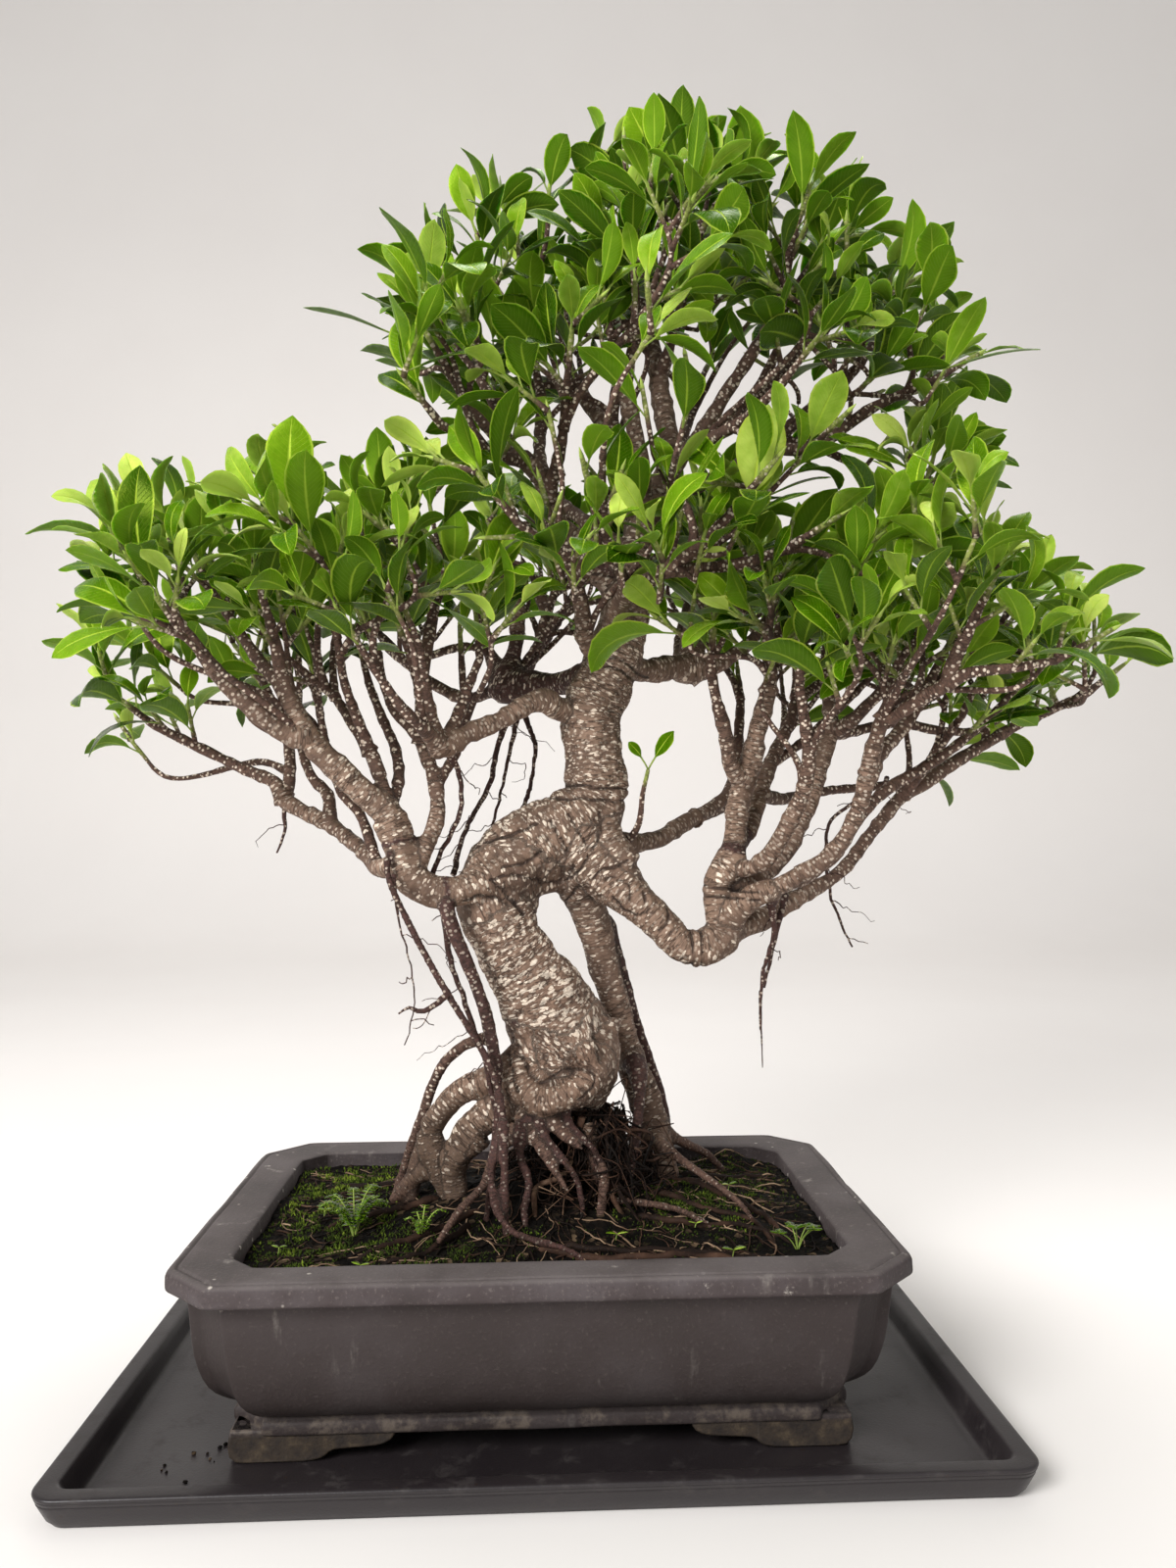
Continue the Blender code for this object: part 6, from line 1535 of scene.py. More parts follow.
def skeleton(runs):
    """Sample places along all runs with their frames, a lookup over them and one over the thick ones."""
    samples = []
    for number, run in enumerate(runs):
        for (place, radius), (way, heading, first, second) in zip(run, swept(run)):
            samples.append((place, radius, way + 71 * number, heading, first, second))
    thick = [index for index, sample in enumerate(samples) if sample[1] > THICK_RADIUS]
    return lookup_of([sample[0] for sample in samples]), \
        lookup_of([samples[index][0] for index in thick], thick), samples


def dark_and_shaded_routes():
    """Lookup over the dark aerial roots and strands, and the limbs that are painted dark as shade."""
    return lookup_of([place for group in (ROOTS, STRANDS, LIMBS) for name, route in group.items()
                      if name in DARK_AND_SHADED_ROUTES for place, _ in smooth_route(route, 3)])


def bark_places(mesh, runs):
    """For each point of the wood, its place along and across the nearest limb, and the limb's radius."""
    lookup, thick, samples = skeleton(runs)
    dark = dark_and_shaded_routes()
    marks, sizes, tones_and_shade = [], [], []
    for vertex in mesh.vertices:
        place = vertex.co / MM
        near = lookup.find_n(place, 8) + thick.find_n(place, 5)
        _, number, _ = min(near, key=lambda hit: hit[2] - samples[hit[1]][1])
        middle, radius, way, heading, first, second = samples[number]
        aside = place - middle
        marks.append((aside.dot(first), aside.dot(second), way + aside.dot(heading)))
        sizes.append(radius)
        # aerial: dark bark, the own colour of aerial roots and painted shade on the limbs at the back
        aerial = 1.0 if dark.find(middle)[2] < 2.5 else 0.0
        in_trunk = (middle - Vector((*CORE_MIDDLE, middle.z))).length < 8
        # core tone: painted shade that darkens the trunk's core down into the hollow under the knee
        tones_and_shade.append((aerial, core_share(place.z) if in_trunk else 0.0, 0.0))
    return marks, sizes, tones_and_shade


def fold_lookup():
    """Lookup over the folds of the bark, as seen from the front."""
    return lookup_of([place for fold in FOLDS
                      for place, _ in curved([(Vector((x, 0, z)), 1) for x, z in fold], 1)])


def lumps(place, mark, size):
    """How far the bark stands out in lumps, less its crosswise wrinkles."""
    lump = noise.noise(place / 19) * min(2.6, size * 0.12)
    lump += noise.noise(place / 7 + Vector((9, 4, 2))) * min(1.1, size * 0.07)
    across = Vector((mark[0] / 12, mark[1] / 12, mark[2] / 4.2))
    wrinkle = 1 - abs(noise.noise(across)) * 4
    return lump - max(0.0, wrinkle) ** 2 * min(1.1, size * 0.045)


def relief(mesh, marks, sizes):
    """Lumps, wrinkles and ring creases pushed into the wood; the way from each point to the next crease."""
    rings = [(Vector(middle), Vector(way).normalized(), half, depth)
             for middle, way, half, depth in CREASES]
    normals = [vertex.normal.copy() for vertex in mesh.vertices]
    creases = np.full(len(mesh.vertices), CREASE_FAR)
    folds = fold_lookup()
    *middle, press_reach, press_depth = PRESSED
    pressed = Vector(middle)
    for index, (vertex, normal, mark, size) in enumerate(zip(mesh.vertices, normals, marks, sizes)):
        place = vertex.co / MM
        lump = lumps(place, mark, size)
        if normal.y < -0.15:
            x, z = front_view(place)
            sway = Vector((noise.noise(place / 8), 0, noise.noise(place / 8 + Vector((7, 7, 7))))) * 2
            off = folds.find(Vector((x, 0, z)) + sway)[2]
            lump -= FOLD_DEPTH * math.exp(-(off / CREASE_WIDTH) ** 2)
            creases[index] = min(creases[index], off)
        for middle, way, half, depth in rings:
            aside = place - middle
            if aside.length < CREASE_REACH:
                off = abs(aside.dot(way) + 1.5 * noise.noise(place / 14)) - half
                lump -= depth * math.exp(-(off / CREASE_WIDTH) ** 2)
                creases[index] = min(creases[index], abs(off))
        inward = press_depth * math.exp(-((place - pressed).length / press_reach) ** 2)
        vertex.co = (place + normal * lump + Vector((-inward, 0, 0))) * MM
    return creases


def hollows(mesh, steps, depth):
    """How far each point lies below the smoothed surface, from 0 to 1 at the given depth."""
    count = len(mesh.vertices)
    places = np.empty(count * 3)
    mesh.vertices.foreach_get("co", places)
    places = places.reshape(count, 3) / MM
    ends = np.empty(len(mesh.edges) * 2, int)
    mesh.edges.foreach_get("vertices", ends)
    ends = ends.reshape(-1, 2)
    heads = np.concatenate((ends[:, 0], ends[:, 1]))
    tails = np.concatenate((ends[:, 1], ends[:, 0]))
    shares = np.bincount(heads, minlength=count)[:, None]
    smooth = places.copy()
    for _ in range(steps):
        near = [np.bincount(heads, smooth[tails, axis], count) for axis in range(3)]
        smooth += (np.stack(near, 1) / shares - smooth) * 0.6
    normals = np.empty(count * 3)
    mesh.vertex_normals.foreach_get("vector", normals)
    off = ((smooth - places) * normals.reshape(count, 3)).sum(1)
    return np.clip(off / depth, 0.0, 1.0)


def make_wood(tree, material):
    """The fine wood with its marks for the bark, and the runs and tips of the sprays."""
    runs, sprays = wood_routes(tree)
    shape = Shape()
    for number, run in enumerate(runs):
        places, faces, _, _ = tube(run, sides_of(run, WOOD_SIDES), 0.10, number * 3.7, 0.18)
        shape.add(places, faces)
    mesh = remeshed(shape, WOOD_VOXEL, 5)
    marks, sizes, tones_and_shade = bark_places(mesh, runs)
    creases = relief(mesh, marks, sizes)
    mesh.update()
    # depths below the smoothed surface and ways to the creases, for the bark's painted shade
    cavity = (hollows(mesh, 6, 0.55), hollows(mesh, 70, 4.0), CREASE_FAR - creases)
    write_mark(mesh, "bark_cavity_shade", np.stack(cavity, 1))
    write_mark(mesh, "bark_place", marks)
    write_mark(mesh, "bark_size", sizes)
    write_mark(mesh, "bark_tone", tones_and_shade)
    return finished("fine_wood", mesh, material), sprays


def sides_of(run, choices):
    """Sides of a tube, from the first of the choices whose radius its widest place passes."""
    widest = max(radius for _, radius in run)
    return next(sides for passed, sides in choices if widest > passed)


def add_tube(shape, points, sides, bumps, seed, young_from=None, swell=0.0, aerial=0.0):
    """Add a bark tube whose last stretch turns green, from a length before its end."""
    places, faces, marks, sizes = tube(points, sides, bumps, seed, swell)
    ways = [frame[0] for frame in swept(points)]
    young = []
    for way in ways:
        share = 0.0
        if young_from is not None:
            share = clamped((way - (ways[-1] - young_from)) / young_from * 1.6)
        young += [(aerial, 0.0, share)] * sides
    shape.add(places, faces, bark_place=marks, bark_size=sizes, bark_tone=young)


def leaf_axes(heading, across, normal, spin):
    """Directions to the side of a leaf and up from it, where it heads a way and is twisted by a spin."""
    up = heading.cross(across).normalized() * -1
    up = up if up.dot(normal) > 0 else -up
    side = heading.cross(up).normalized()
    side = side if side.dot(across) > 0 else -side
    return side * math.cos(spin) + up * math.sin(spin), up * math.cos(spin) - side * math.sin(spin)


def leaf_girth(petiole_share, share, half, fold):
    """Half width, thickness and lift of the margins at one ring of a leaf."""
    lift = fold * (1 - 0.6 * share)
    if share == 1.0:
        return 0.12, 0.1, lift
    if petiole_share < 1 or share == 0:
        return 0.75, 0.65, 0.0
    return 0.5 + half, MIDRIB_THICK + 0.3 * (1 - share), lift


def make_twigs(name, runs, tips, tree, material):
    """Twigs of one spray, each a closed tube that starts inside its parent."""
    shape = Shape("bark_place", "bark_size", "bark_tone")
    tip_places = [tree.place[tip] for tip in tips]
    for number, run in enumerate(runs):
        leafy = any((run[-1][0] - place).length < 0.1 for place in tip_places)
        if len(run) < 2:
            continue
        if leafy and len(run) > 2:
            fine = curved(run[:-1], TWIG_STEP) + straight(run[-2], run[-1])[1:]
        elif leafy:
            fine = straight(run[0], run[-1])
        else:
            fine = curved(run, TWIG_STEP)
        fine = knotted(fine, number)
        young_from = YOUNG_LENGTH if leafy else None
        swell = 0.0 if number == 0 else 0.4
        add_tube(shape, fine, sides_of(fine, TWIG_SIDES), 0.16, number * 5.3, young_from, swell)
    return shape.item(name, material)


def straight(start, end):
    """Points along a straight stretch, tapered, a few millimetres apart."""
    parts = max(2, round((end[0] - start[0]).length / TWIG_STEP))
    return [(start[0].lerp(end[0], part / parts), start[1] + (end[1] - start[1]) * part / parts)
            for part in range(parts + 1)]


def knotted(points, seed):
    """Small swellings along a twig, where leaves once grew."""
    found = []
    way = 0.0
    for index, (place, radius) in enumerate(points):
        if index:
            way += (place - points[index - 1][0]).length
        swell = 0.14 * max(0.0, math.sin(way / 2.1 + seed)) ** 3 + 0.12 * noise.noise(place / 11)
        found.append((place, radius * (1 + swell)))
    return found


def leaf_shape(frame, draw, bend, fold, turning=0.9, broad=1.0):
    """Points and marks of one fine leaf: a petiole that widens into a folded, drooping blade."""
    root, direction, normal, length = frame
    length *= LEAF_SCALE
    across = direction.cross(normal).normalized()
    petiole = PETIOLE * STALK_SCALE
    reach = petiole + length
    twist = draw.uniform(-turning, turning)
    sway = draw.uniform(-0.25, 0.25)
    phase = draw.uniform(0, math.tau)
    wave = draw.uniform(0.0, 0.7)
    width = length * LEAF_HALF * broad * draw.uniform(0.78, 1.16)
    place = Vector(root)
    last = 0.0
    points, marks = [], []
    for petiole_share, share, outline in LEAF_STOPS:
        way = petiole * petiole_share + length * share
        turn = -0.18 + bend * (way / reach) ** 2.2
        heading = direction * math.cos(turn) - normal * math.sin(turn)
        heading = (heading + across * sway * (way / reach)).normalized()
        place = place + heading * (way - last)
        last = way
        side, up = leaf_axes(heading, across, normal, twist * share)
        half, thick, lift = leaf_girth(petiole_share, share, width * outline, fold)
        for aside, face in LEAF_RING:
            rise = abs(aside) * half * lift - 0.10 * half * aside * aside
            wrinkle = math.sin(share * 15 + phase + (1.3 if aside > 0 else 0))
            rise += wave * wrinkle * aside * aside * share
            off = face * thick * (1 - 0.55 * abs(aside))
            points.append(place + side * aside * half * math.cos(lift) + up * (rise + off))
            marks.append((aside, share if petiole_share == 1 else -0.1, face))
    return points, marks


def add_leaf(shape, leaf, tone):
    """Add a fine leaf by its points and marks, in one tone."""
    places, marks = leaf
    faces = ring_faces(len(LEAF_STOPS), len(LEAF_RING))
    shape.add(places, faces, leaf_place=marks, leaf_tone=[tone] * len(places))


def add_green_tube(shape, points, sides, tone, aside):
    """Add a green stalk or bud, marked as lying aside of a leaf's midrib."""
    places, faces, _, _ = tube(points, sides)
    shape.add(places, faces, leaf_place=[(aside, -0.1, 1)] * len(places), leaf_tone=[tone] * len(places))


class LeafRoom:
    """The room that leaves may fill, with the blades that are there already."""

    def __init__(self, template):
        """A room without leaves; the template is the mesh of a plain blade."""
        self.template = template
        self.faces = [tuple(polygon.vertices) for polygon in template.polygons]
        self.cells = {}

    def take(self, frame, wood, is_solid):
        """Take a leaf's room, or return False if wood or a leaf is there, or the room ends."""
        places = blade_places(self.template, frame, LEAF_CLEAR if is_solid else 0.1, 0.2)
        box = box_of(places)
        blade = BVHTree.FromPolygons(places, self.faces)
        if blade.overlap(wood) or not is_solid and not is_inside(box):
            return False
        near = near_cells(box)
        others = {id(other): other for cell in near for other in self.cells.get(cell, ())}
        if any(boxes_meet(box, other[0]) and blade.overlap(other[1]) for other in others.values()):
            return False
        entry = (box, blade)
        for cell in near:
            self.cells.setdefault(cell, []).append(entry)
        return True


def free_leaf(tree, tip, number, room, wood, is_solid):
    """Frame of a leaf that finds room, or None."""
    draw = random.Random(tip * 100 + number)
    for _ in range(LEAF_TRIES):
        frame = leaf_frame(tree, tip, number, draw)
        if (frame[0] - tree.place[tree.parent[tip]]).dot(tree.heading(tip)) < 1:
            return None
        if room.take(frame, wood, is_solid):
            return frame
    return None


def ring_faces(rings, sides):
    """Faces of a closed body through rings of points."""
    ends = [tuple(range(sides))[::-1], tuple((rings - 1) * sides + side for side in range(sides))]
    return ring_sides(rings, sides) + ends


def place_leaves(tree, template, own_tips):
    """Leaf frames of every tip: first the leaves of the solids, then the others, then side shoots."""
    own_count, own_wood = own_tips
    all_wood = tube_tree(tree)
    room = LeafRoom(template)
    found = {tip: [] for tip in tree.tips}
    for solid_pass in (True, False):
        wood = own_wood if solid_pass else all_wood
        for number in range(LEAVES_A_SHOOT):
            for order, tip in enumerate(tree.tips):
                is_own = order < own_count
                if (is_own and number in CAD_LEAVES[order % len(CAD_LEAVES)]) != solid_pass:
                    continue
                if not solid_pass and (number >= (OWN_LEAVES if is_own else SIDE_LEAVES)
                                       or not is_leafy_place(tree.place[tip], random.Random(tip))):
                    continue
                frame = free_leaf(tree, tip, number, room, wood, solid_pass)
                if frame:
                    found[tip].append((number, frame, solid_pass))
    return found


def is_inside(box):
    """True if a box in millimetres lies inside the space that leaves may fill."""
    return all(box[0][axis] * MM > SEEN_LOW[axis] and box[1][axis] * MM < SEEN_HIGH[axis]
               for axis in range(3))


def near_cells(box):
    """Cells of a coarse grid that a box reaches into."""
    low = [math.floor(box[0][axis] / LEAF_CELL) for axis in range(3)]
    high = [math.floor(box[1][axis] / LEAF_CELL) for axis in range(3)]
    return [(x, y, z) for x in range(low[0], high[0] + 1) for y in range(low[1], high[1] + 1)
            for z in range(low[2], high[2] + 1)]


def canopy_shade(tree, tip):
    """How much darker the leaves of a tip are for the leafy tips above it."""
    place = tree.place[tip]
    above = 0
    for other in tree.tips:
        way = tree.place[other] - place
        if way.z > 14 and way.length < SHADE_REACH:
            above += 1
    return min(0.55, 0.05 * above)


def make_leaves(name, tips, frames, tree, material):
    """All leaves and end buds of one spray."""
    shape = Shape("leaf_place", "leaf_tone")
    for tip in tips:
        # painted shade: leaves under other leafy tips, and in the crown, are darker
        shoot_tone_and_shade = random.Random(tip + SHOOT_SEED).uniform(-TONE_PLAY, TONE_PLAY) - canopy_shade(tree, tip)
        shoot_tone_and_shade -= CROWN_SHADE if tree.place[tip].z > CROWN_LOW else 0
        for number, (root, direction, normal, length), is_solid in frames[tip]:
            draw = random.Random(tip * 100 + number + FORM_SEED)
            bend = draw.uniform(0.3, 0.8) if is_solid else draw.uniform(0.2, 1.5)
            fold = draw.uniform(0.1, 0.62) * (1.3 if number < 2 else 1)
            if not is_solid:
                length *= draw.uniform(0.82, 1.2)
            if root.z + direction.z * length > TALL_LEAF:
                length *= 0.78
            leaf = leaf_shape((root, direction, normal, length), draw, bend, fold)
            tone = 1.0 - 0.1 * number + shoot_tone_and_shade + draw.uniform(-TONE_PLAY, TONE_PLAY)
            add_leaf(shape, leaf, clamped(tone))
        axis = tree.heading(tip)
        start = tree.place[tip] - axis * 1.5
        add_green_tube(shape, [(start + axis * way, radius) for way, radius in BUD], 6, 0.95, 0.5)
    if not shape.count:
        return None
    return crisp(shape.item(name, material))


def aimed_leaf(root, way, facing, length, draw, *form):
    """Points and marks of a leaf that leads from its root along a way and faces another."""
    direction = Vector(way).normalized()
    return leaf_shape((Vector(root), direction, squared(Vector(facing), direction), length), draw, *form)


def make_show_leaves(material):
    """The few large leaves that stand out of the canopy."""
    shape = Shape("leaf_place", "leaf_tone")
    for number, (*leaf, tone) in enumerate(SHOW_LEAVES):
        add_leaf(shape, aimed_leaf(*leaf, random.Random(number), 0.3, 0.22, 0.15, 1.25), tone)
    return crisp(shape.item("show_leaves", material))


def add_threads(shape, points, seed):
    """Wiry threads that branch off a hanging root."""
    draw = random.Random(seed + THREAD_SEED)
    for place, _ in points[3:-2:THREAD_SPACING]:
        turn = draw.uniform(0, math.tau)
        thread = []
        for step in range(draw.randint(5, 13)):
            thread.append((place.copy(), THREAD_RADIUS * (1 - step / 20)))
            turn += draw.uniform(-0.8, 0.8)
            way = Vector((math.cos(turn) * 0.9, math.sin(turn) * 0.4, draw.uniform(-1.1, 0.3)))
            place = place + way * 4
        add_tube(shape, curved(thread, 2.5), 4, 0.1, turn, aerial=1.0)


def make_strands(material):
    """Thin aerial roots that hang free or run back into the wood."""
    shape = Shape("bark_place", "bark_size", "bark_tone")
    for number, route in enumerate(FINE_STRANDS.values()):
        points = smooth_route(route, 4)
        fine = []
        for place, radius in points:
            sway = Vector((noise.noise(place / 9), noise.noise(place / 9 + Vector((5, 5, 5))), 0)) * 1.6
            fine.append((place + sway, radius))
        fine[0] = points[0]
        add_tube(shape, fine, STRAND_SIDES, 0.2, number * 4.1, aerial=1.0)
        add_threads(shape, fine, number)
    return shape.item("aerial_strands", material)


def make_sprout(bark, leaf):
    """Small shoot on the trunk with two leaves."""
    shape = Shape("bark_place", "bark_size", "bark_tone")
    add_tube(shape, smooth_route(SPROUT, 3), 8, 0.15, 2.0, 16)
    stem = shape.item("sprout_stem", bark)
    leaves = Shape("leaf_place", "leaf_tone")
    draw = random.Random(SPROUT_SEED)
    for way, length in SPROUT_LEAVES:
        add_leaf(leaves, aimed_leaf(SPROUT[-1][:3], way, (0, -0.8, 0.6), length, draw, 0.3, 0.25), 0.5)
    return stem, crisp(leaves.item("sprout_leaves", leaf))


class Value:
    """Output of a node; plain arithmetic with it adds further nodes."""

    def __init__(self, look, socket):
        """Keep the socket and the look whose node tree it is in."""
        self.look = look
        self.socket = socket

    def __add__(self, other):
        """Sum of two values."""
        return self.look.math("ADD", self, other)

    def __sub__(self, other):
        """This value less another one."""
        return self.look.math("SUBTRACT", self, other)

    def __rsub__(self, number):
        """A number less this value."""
        return self.look.math("SUBTRACT", number, self)

    def __mul__(self, other):
        """Product of two values."""
        return self.look.math("MULTIPLY", self, other)

    def __truediv__(self, other):
        """This value divided by another one."""
        return self.look.math("DIVIDE", self, other)

    def __abs__(self):
        """Size of the value without its sign."""
        return self.look.math("ABSOLUTE", self)


class Look:
    """Node tree of one material, with a short call for each kind of node that it uses."""

    def __init__(self, name):
        """A new material with its shader and nothing else."""
        self.material = bpy.data.materials.new(name)
        self.material.use_nodes = True
        self.tree = self.material.node_tree
        self.shader = self.tree.nodes["Principled BSDF"]

    def node(self, kind, **settings):
        """A new node with some of its settings."""
        node = self.tree.nodes.new("ShaderNode" + kind)
        for name, value in settings.items():
            setattr(node, name, value)
        return node

    def feed(self, socket, value):
        """Link a value to a socket, or set the socket to a constant."""
        if isinstance(value, Value):
            self.tree.links.new(value.socket, socket)
        else:
            socket.default_value = value

    def output(self, node, number, *inputs, **named_inputs):
        """One output of a node whose inputs are fed in order and by name."""
        for socket, value in zip(node.inputs, inputs):
            self.feed(socket, value)
        for name, value in named_inputs.items():
            self.feed(node.inputs[name], value)
        return Value(self, node.outputs[number])

    def surface(self, **values):
        """Feed the shader's inputs, with _ for each space in a name."""
        for name, value in values.items():
            self.feed(self.shader.inputs[name.replace("_", " ")], value)
        return self.material

    def mark(self, name, output="Fac"):
        """What the mesh stores under a name."""
        return self.output(self.node("Attribute", attribute_name=name), output)

    def places(self):
        """Places in the object's own frame, in metres."""
        return self.output(self.node("TexCoord"), "Object")

    def math(self, operation, first, second=0.0, clamp=False):
        """One step of arithmetic."""
        return self.output(self.node("Math", operation=operation, use_clamp=clamp), 0, first, second)

    def most(self, first, *others):
        """The largest of some values."""
        for value in others:
            first = self.math("MAXIMUM", first, value)
        return first

    def scaled(self, vector, scale):
        """A vector with each part multiplied by its own factor."""
        return self.output(self.node("VectorMath", operation="MULTIPLY"), 0, vector, scale)

    def shifted(self, vector, way, reach):
        """A vector moved along a way that is multiplied by a reach for each axis."""
        return self.output(self.node("VectorMath", operation="MULTIPLY_ADD"), 0, way, reach, vector)

    def split(self, vector):
        """The three parts of a vector or a colour."""
        node = self.node("SeparateXYZ")
        self.feed(node.inputs[0], vector)
        return [Value(self, output) for output in node.outputs]

    def noise(self, vector, scale, detail=3.0, roughness=0.5, output="Fac"):
        """Cloudy noise around 0.5."""
        return self.output(self.node("TexNoise"), output, Vector=vector, Scale=scale, Detail=detail,
                           Roughness=roughness)

    def cells(self, vector, scale):
        """Way to the nearest point of a random grid, and a random number for that point."""
        node = self.node("TexVoronoi")
        way = self.output(node, "Distance", Vector=vector, Scale=scale)
        return way, self.split(Value(self, node.outputs["Color"]))

    def span(self, value, low, high, start=0.0, end=1.0):
        """The value mapped smoothly from low..high to start..end."""
        node = self.node("MapRange", interpolation_type="SMOOTHSTEP")
        return self.output(node, 0, value, low, high, start, end)

    def mix(self, share, first, second):
        """The first colour with a share of the second."""
        node = self.node("Mix", data_type="RGBA")
        for number, value in zip(MIX_INPUTS, (share, first, second)):
            self.feed(node.inputs[number], value)
        return Value(self, node.outputs[MIX_OUTPUT])

    def ramp(self, value, *stops):
        """Colours in steps: each stop is a place from 0 to 1 with red, green and blue from 0 to 255."""
        node = self.node("ValToRGB")
        elements = node.color_ramp.elements
        while len(elements) < len(stops):
            elements.new(1.0)
        for element, (place, *colour) in zip(elements, stops):
            element.position = place
            element.color = tint(*colour)
        return self.output(node, 0, value)

    def bump(self, height, distance, strength):
        """Normals bent by a height, whose full range is the distance in metres."""
        return self.output(self.node("Bump"), 0, Strength=strength, Distance=distance, Height=height)


def tint(red, green, blue):
    """Linear colour of a screen colour from 0 to 255."""
    found = []
    for value in (red, green, blue):
        value /= 255
        found.append(value / 12.92 if value <= 0.04045 else ((value + 0.055) / 1.055) ** 2.4)
    return (*found, 1.0)


def bark_zones(look, aside, back, tall):
    """Masks of the trunk: the bulb, the bend over it with painted shade in its folds, the painted shade
    under the knee, and the dark foot at its left.
    """
    bulb = look.span(tall, 0.34, 0.31, 0, 0.85) * look.span(tall, 0.19, 0.21)
    bulb *= look.span(aside, 0.08, 0.062) * look.span(back, 0.016, 0.002)
    bend = look.span(tall, 0.32, 0.335, 0, 0.5) * look.span(tall, 0.365, 0.35)
    bend *= look.span(aside, -0.045, -0.03) * look.span(aside, 0.05, 0.03)
    knee = look.span(tall, 0.212, 0.198, 0, 0.6) * look.span(aside, -0.05, -0.025)
    foot = look.span(tall, 0.21, 0.17, 0, 0.8) * look.span(aside, -0.03, -0.06)
    return bulb, bend, knee, foot


def bark_ground(look, patch, fine, thick, aerial, zones):
    """Ground colour: tan trunk and limbs, brown twigs, dark aerial roots, with painted shade in the bend's
    folds, under the knee and on the limbs at the back.
    """
    bulb, bend, knee, foot = zones
    old = look.ramp(patch, (0.28, 92, 72, 60), (0.46, 122, 98, 82), (0.62, 143, 117, 99),
                    (0.78, 104, 81, 68))
    old = look.mix(bulb, old, look.ramp(fine, (0.3, 98, 76, 63), (0.7, 146, 118, 99)))
    # painted shade in the folds of the bend over the bulb
    old = look.mix(bend, old, tint(82, 62, 50))
    # painted shade under the knee
    old = look.mix(knee, old, look.ramp(fine, (0.3, 84, 64, 52), (0.7, 128, 102, 84)))
    old = look.mix(foot, old, look.ramp(fine, (0.3, 56, 42, 33), (0.7, 100, 79, 62)))
    thin = look.ramp(fine, (0.3, 60, 41, 34), (0.52, 92, 67, 56), (0.72, 126, 99, 83))
    roots = look.ramp(fine, (0.3, 46, 28, 26), (0.6, 80, 52, 46), (0.78, 112, 80, 68))
    # the roots' dark bark: their own colour on aerial roots, painted shade on the limbs at the back
    return look.mix(aerial, look.mix(thick, thin, old), roots)


def bark_spots(look, place, size, bulb, low, softness):
    """Pale marks: crosswise dashes and a weave on thick wood, dots on twigs."""
    bent = look.shifted(place, look.noise(place, 0.22, 2, 0.5, "Color"), (3.2, 3.2, 2.4))
    way, pick = look.cells(look.scaled(bent, (0.13, 0.13, 0.36)), 1.0)
    reach = look.span(pick[0], 0.0, 1.0, 0.10, 0.36) + look.span(size, 22, 33, 0.0, 0.07) + bulb * 0.05
    dash = look.span(way - reach, 0.015, -0.025) * look.span(size, 5.0, 9.0)
    weave = look.noise(look.scaled(bent, (0.17, 0.17, 0.52)), 1.0, 2, 0.5) + bulb * 0.045
    weave = look.span(weave, 0.615, 0.635) * look.span(size, 13.0, 22.0)
    way, pick = look.cells(look.scaled(place, (0.27, 0.27, 0.36)), 1.0)
    dot = look.span(way, look.span(low, 0, 1, 0.40, 0.30), look.span(low, 0, 1, 0.30, 0.18))
    dot *= look.span(pick[1], 0.20, 0.26)
    for share in softness:
        dot *= 1.0 - share
    return look.most(dash, weave, dot)


def bark_look():
    """Tan-brown bark with pale crosswise marks, brown twigs with pale dots, dark aerial roots and painted
    shade.
    """
    look = Look("bark")
    place = look.mark("bark_place", "Vector")
    size = look.mark("bark_size")
    # aerial: dark bark, own colour on aerial roots and painted shade on the limbs at the back; hollow:
    # painted shade of the trunk's core
    aerial, hollow, young = look.split(look.mark("bark_tone", "Vector"))
    dent, fold, crease = look.split(look.mark("bark_cavity_shade", "Vector"))
    world = look.places()
    aside, back, tall = look.split(world)
    zones = bark_zones(look, aside, back, tall)
    bulb = zones[0]
    thick = look.span(size, 3.6, 7.6)
    low = look.span(tall, 0.205, 0.14)
    patch = look.noise(world, 34, 4, 0.6)
    fine = look.noise(place, 0.55, 4, 0.65)
    colour = bark_ground(look, patch, fine, thick, aerial, zones)
    wrinkle = look.noise(look.scaled(place, (0.10, 0.10, 0.62)), 1.0, 5, 0.7)
    crack = abs(look.noise(look.scaled(place, (0.04, 0.04, 0.27)), 1.0, 3, 0.6) - 0.5)
    crack = look.span(crack, 0.032, 0.004) * look.span(patch, 0.38, 0.56)
    shade = look.most(look.span(wrinkle, 0.52, 0.36, 0, 0.45), crack * 0.8)
    colour = look.mix(shade, colour, tint(62, 45, 35))
    green = look.ramp(fine, (0.3, 104, 116, 50), (0.7, 148, 156, 78))
    colour = look.mix(look.span(young, 0.15, 0.95), colour, green)
    spots = bark_spots(look, place, size, bulb, low, (thick * 0.7, young * 0.7, aerial * 0.45))
    seen = look.span(patch, 0.3, 0.6, 0.85, 1.0) - low * 0.6 - bulb * 0.1
    pale = look.ramp(fine, (0.3, 206, 184, 162), (0.65, 244, 230, 212))
    colour = look.mix(spots * seen, colour, pale)
    ring = look.span(crease, CREASE_FAR - 1.5, CREASE_FAR - 0.5) * look.span(size, 5, 8)
    # painted shade: darker in dents, large hollows and along the creases and folds
    deep = look.most(dent * 0.6, look.span(fold, 0.4, 1.0, 0, 0.7), ring * 0.85)
    colour = look.mix(deep, colour, tint(46, 32, 25))
    # painted shade: the trunk's core goes near black in the hollow under the knee
    colour = look.mix(hollow * 0.9, colour, tint(30, 21, 16))
    height = wrinkle * 0.9 + fine * 0.35 + spots * 0.22 - crack * 0.7 - ring * 0.9
    return look.surface(Base_Color=colour, Roughness=look.span(fine, 0.3, 0.7, 0.55, 0.8),
                        Normal=look.bump(height, 0.0018, 0.9), Specular_IOR_Level=0.35)


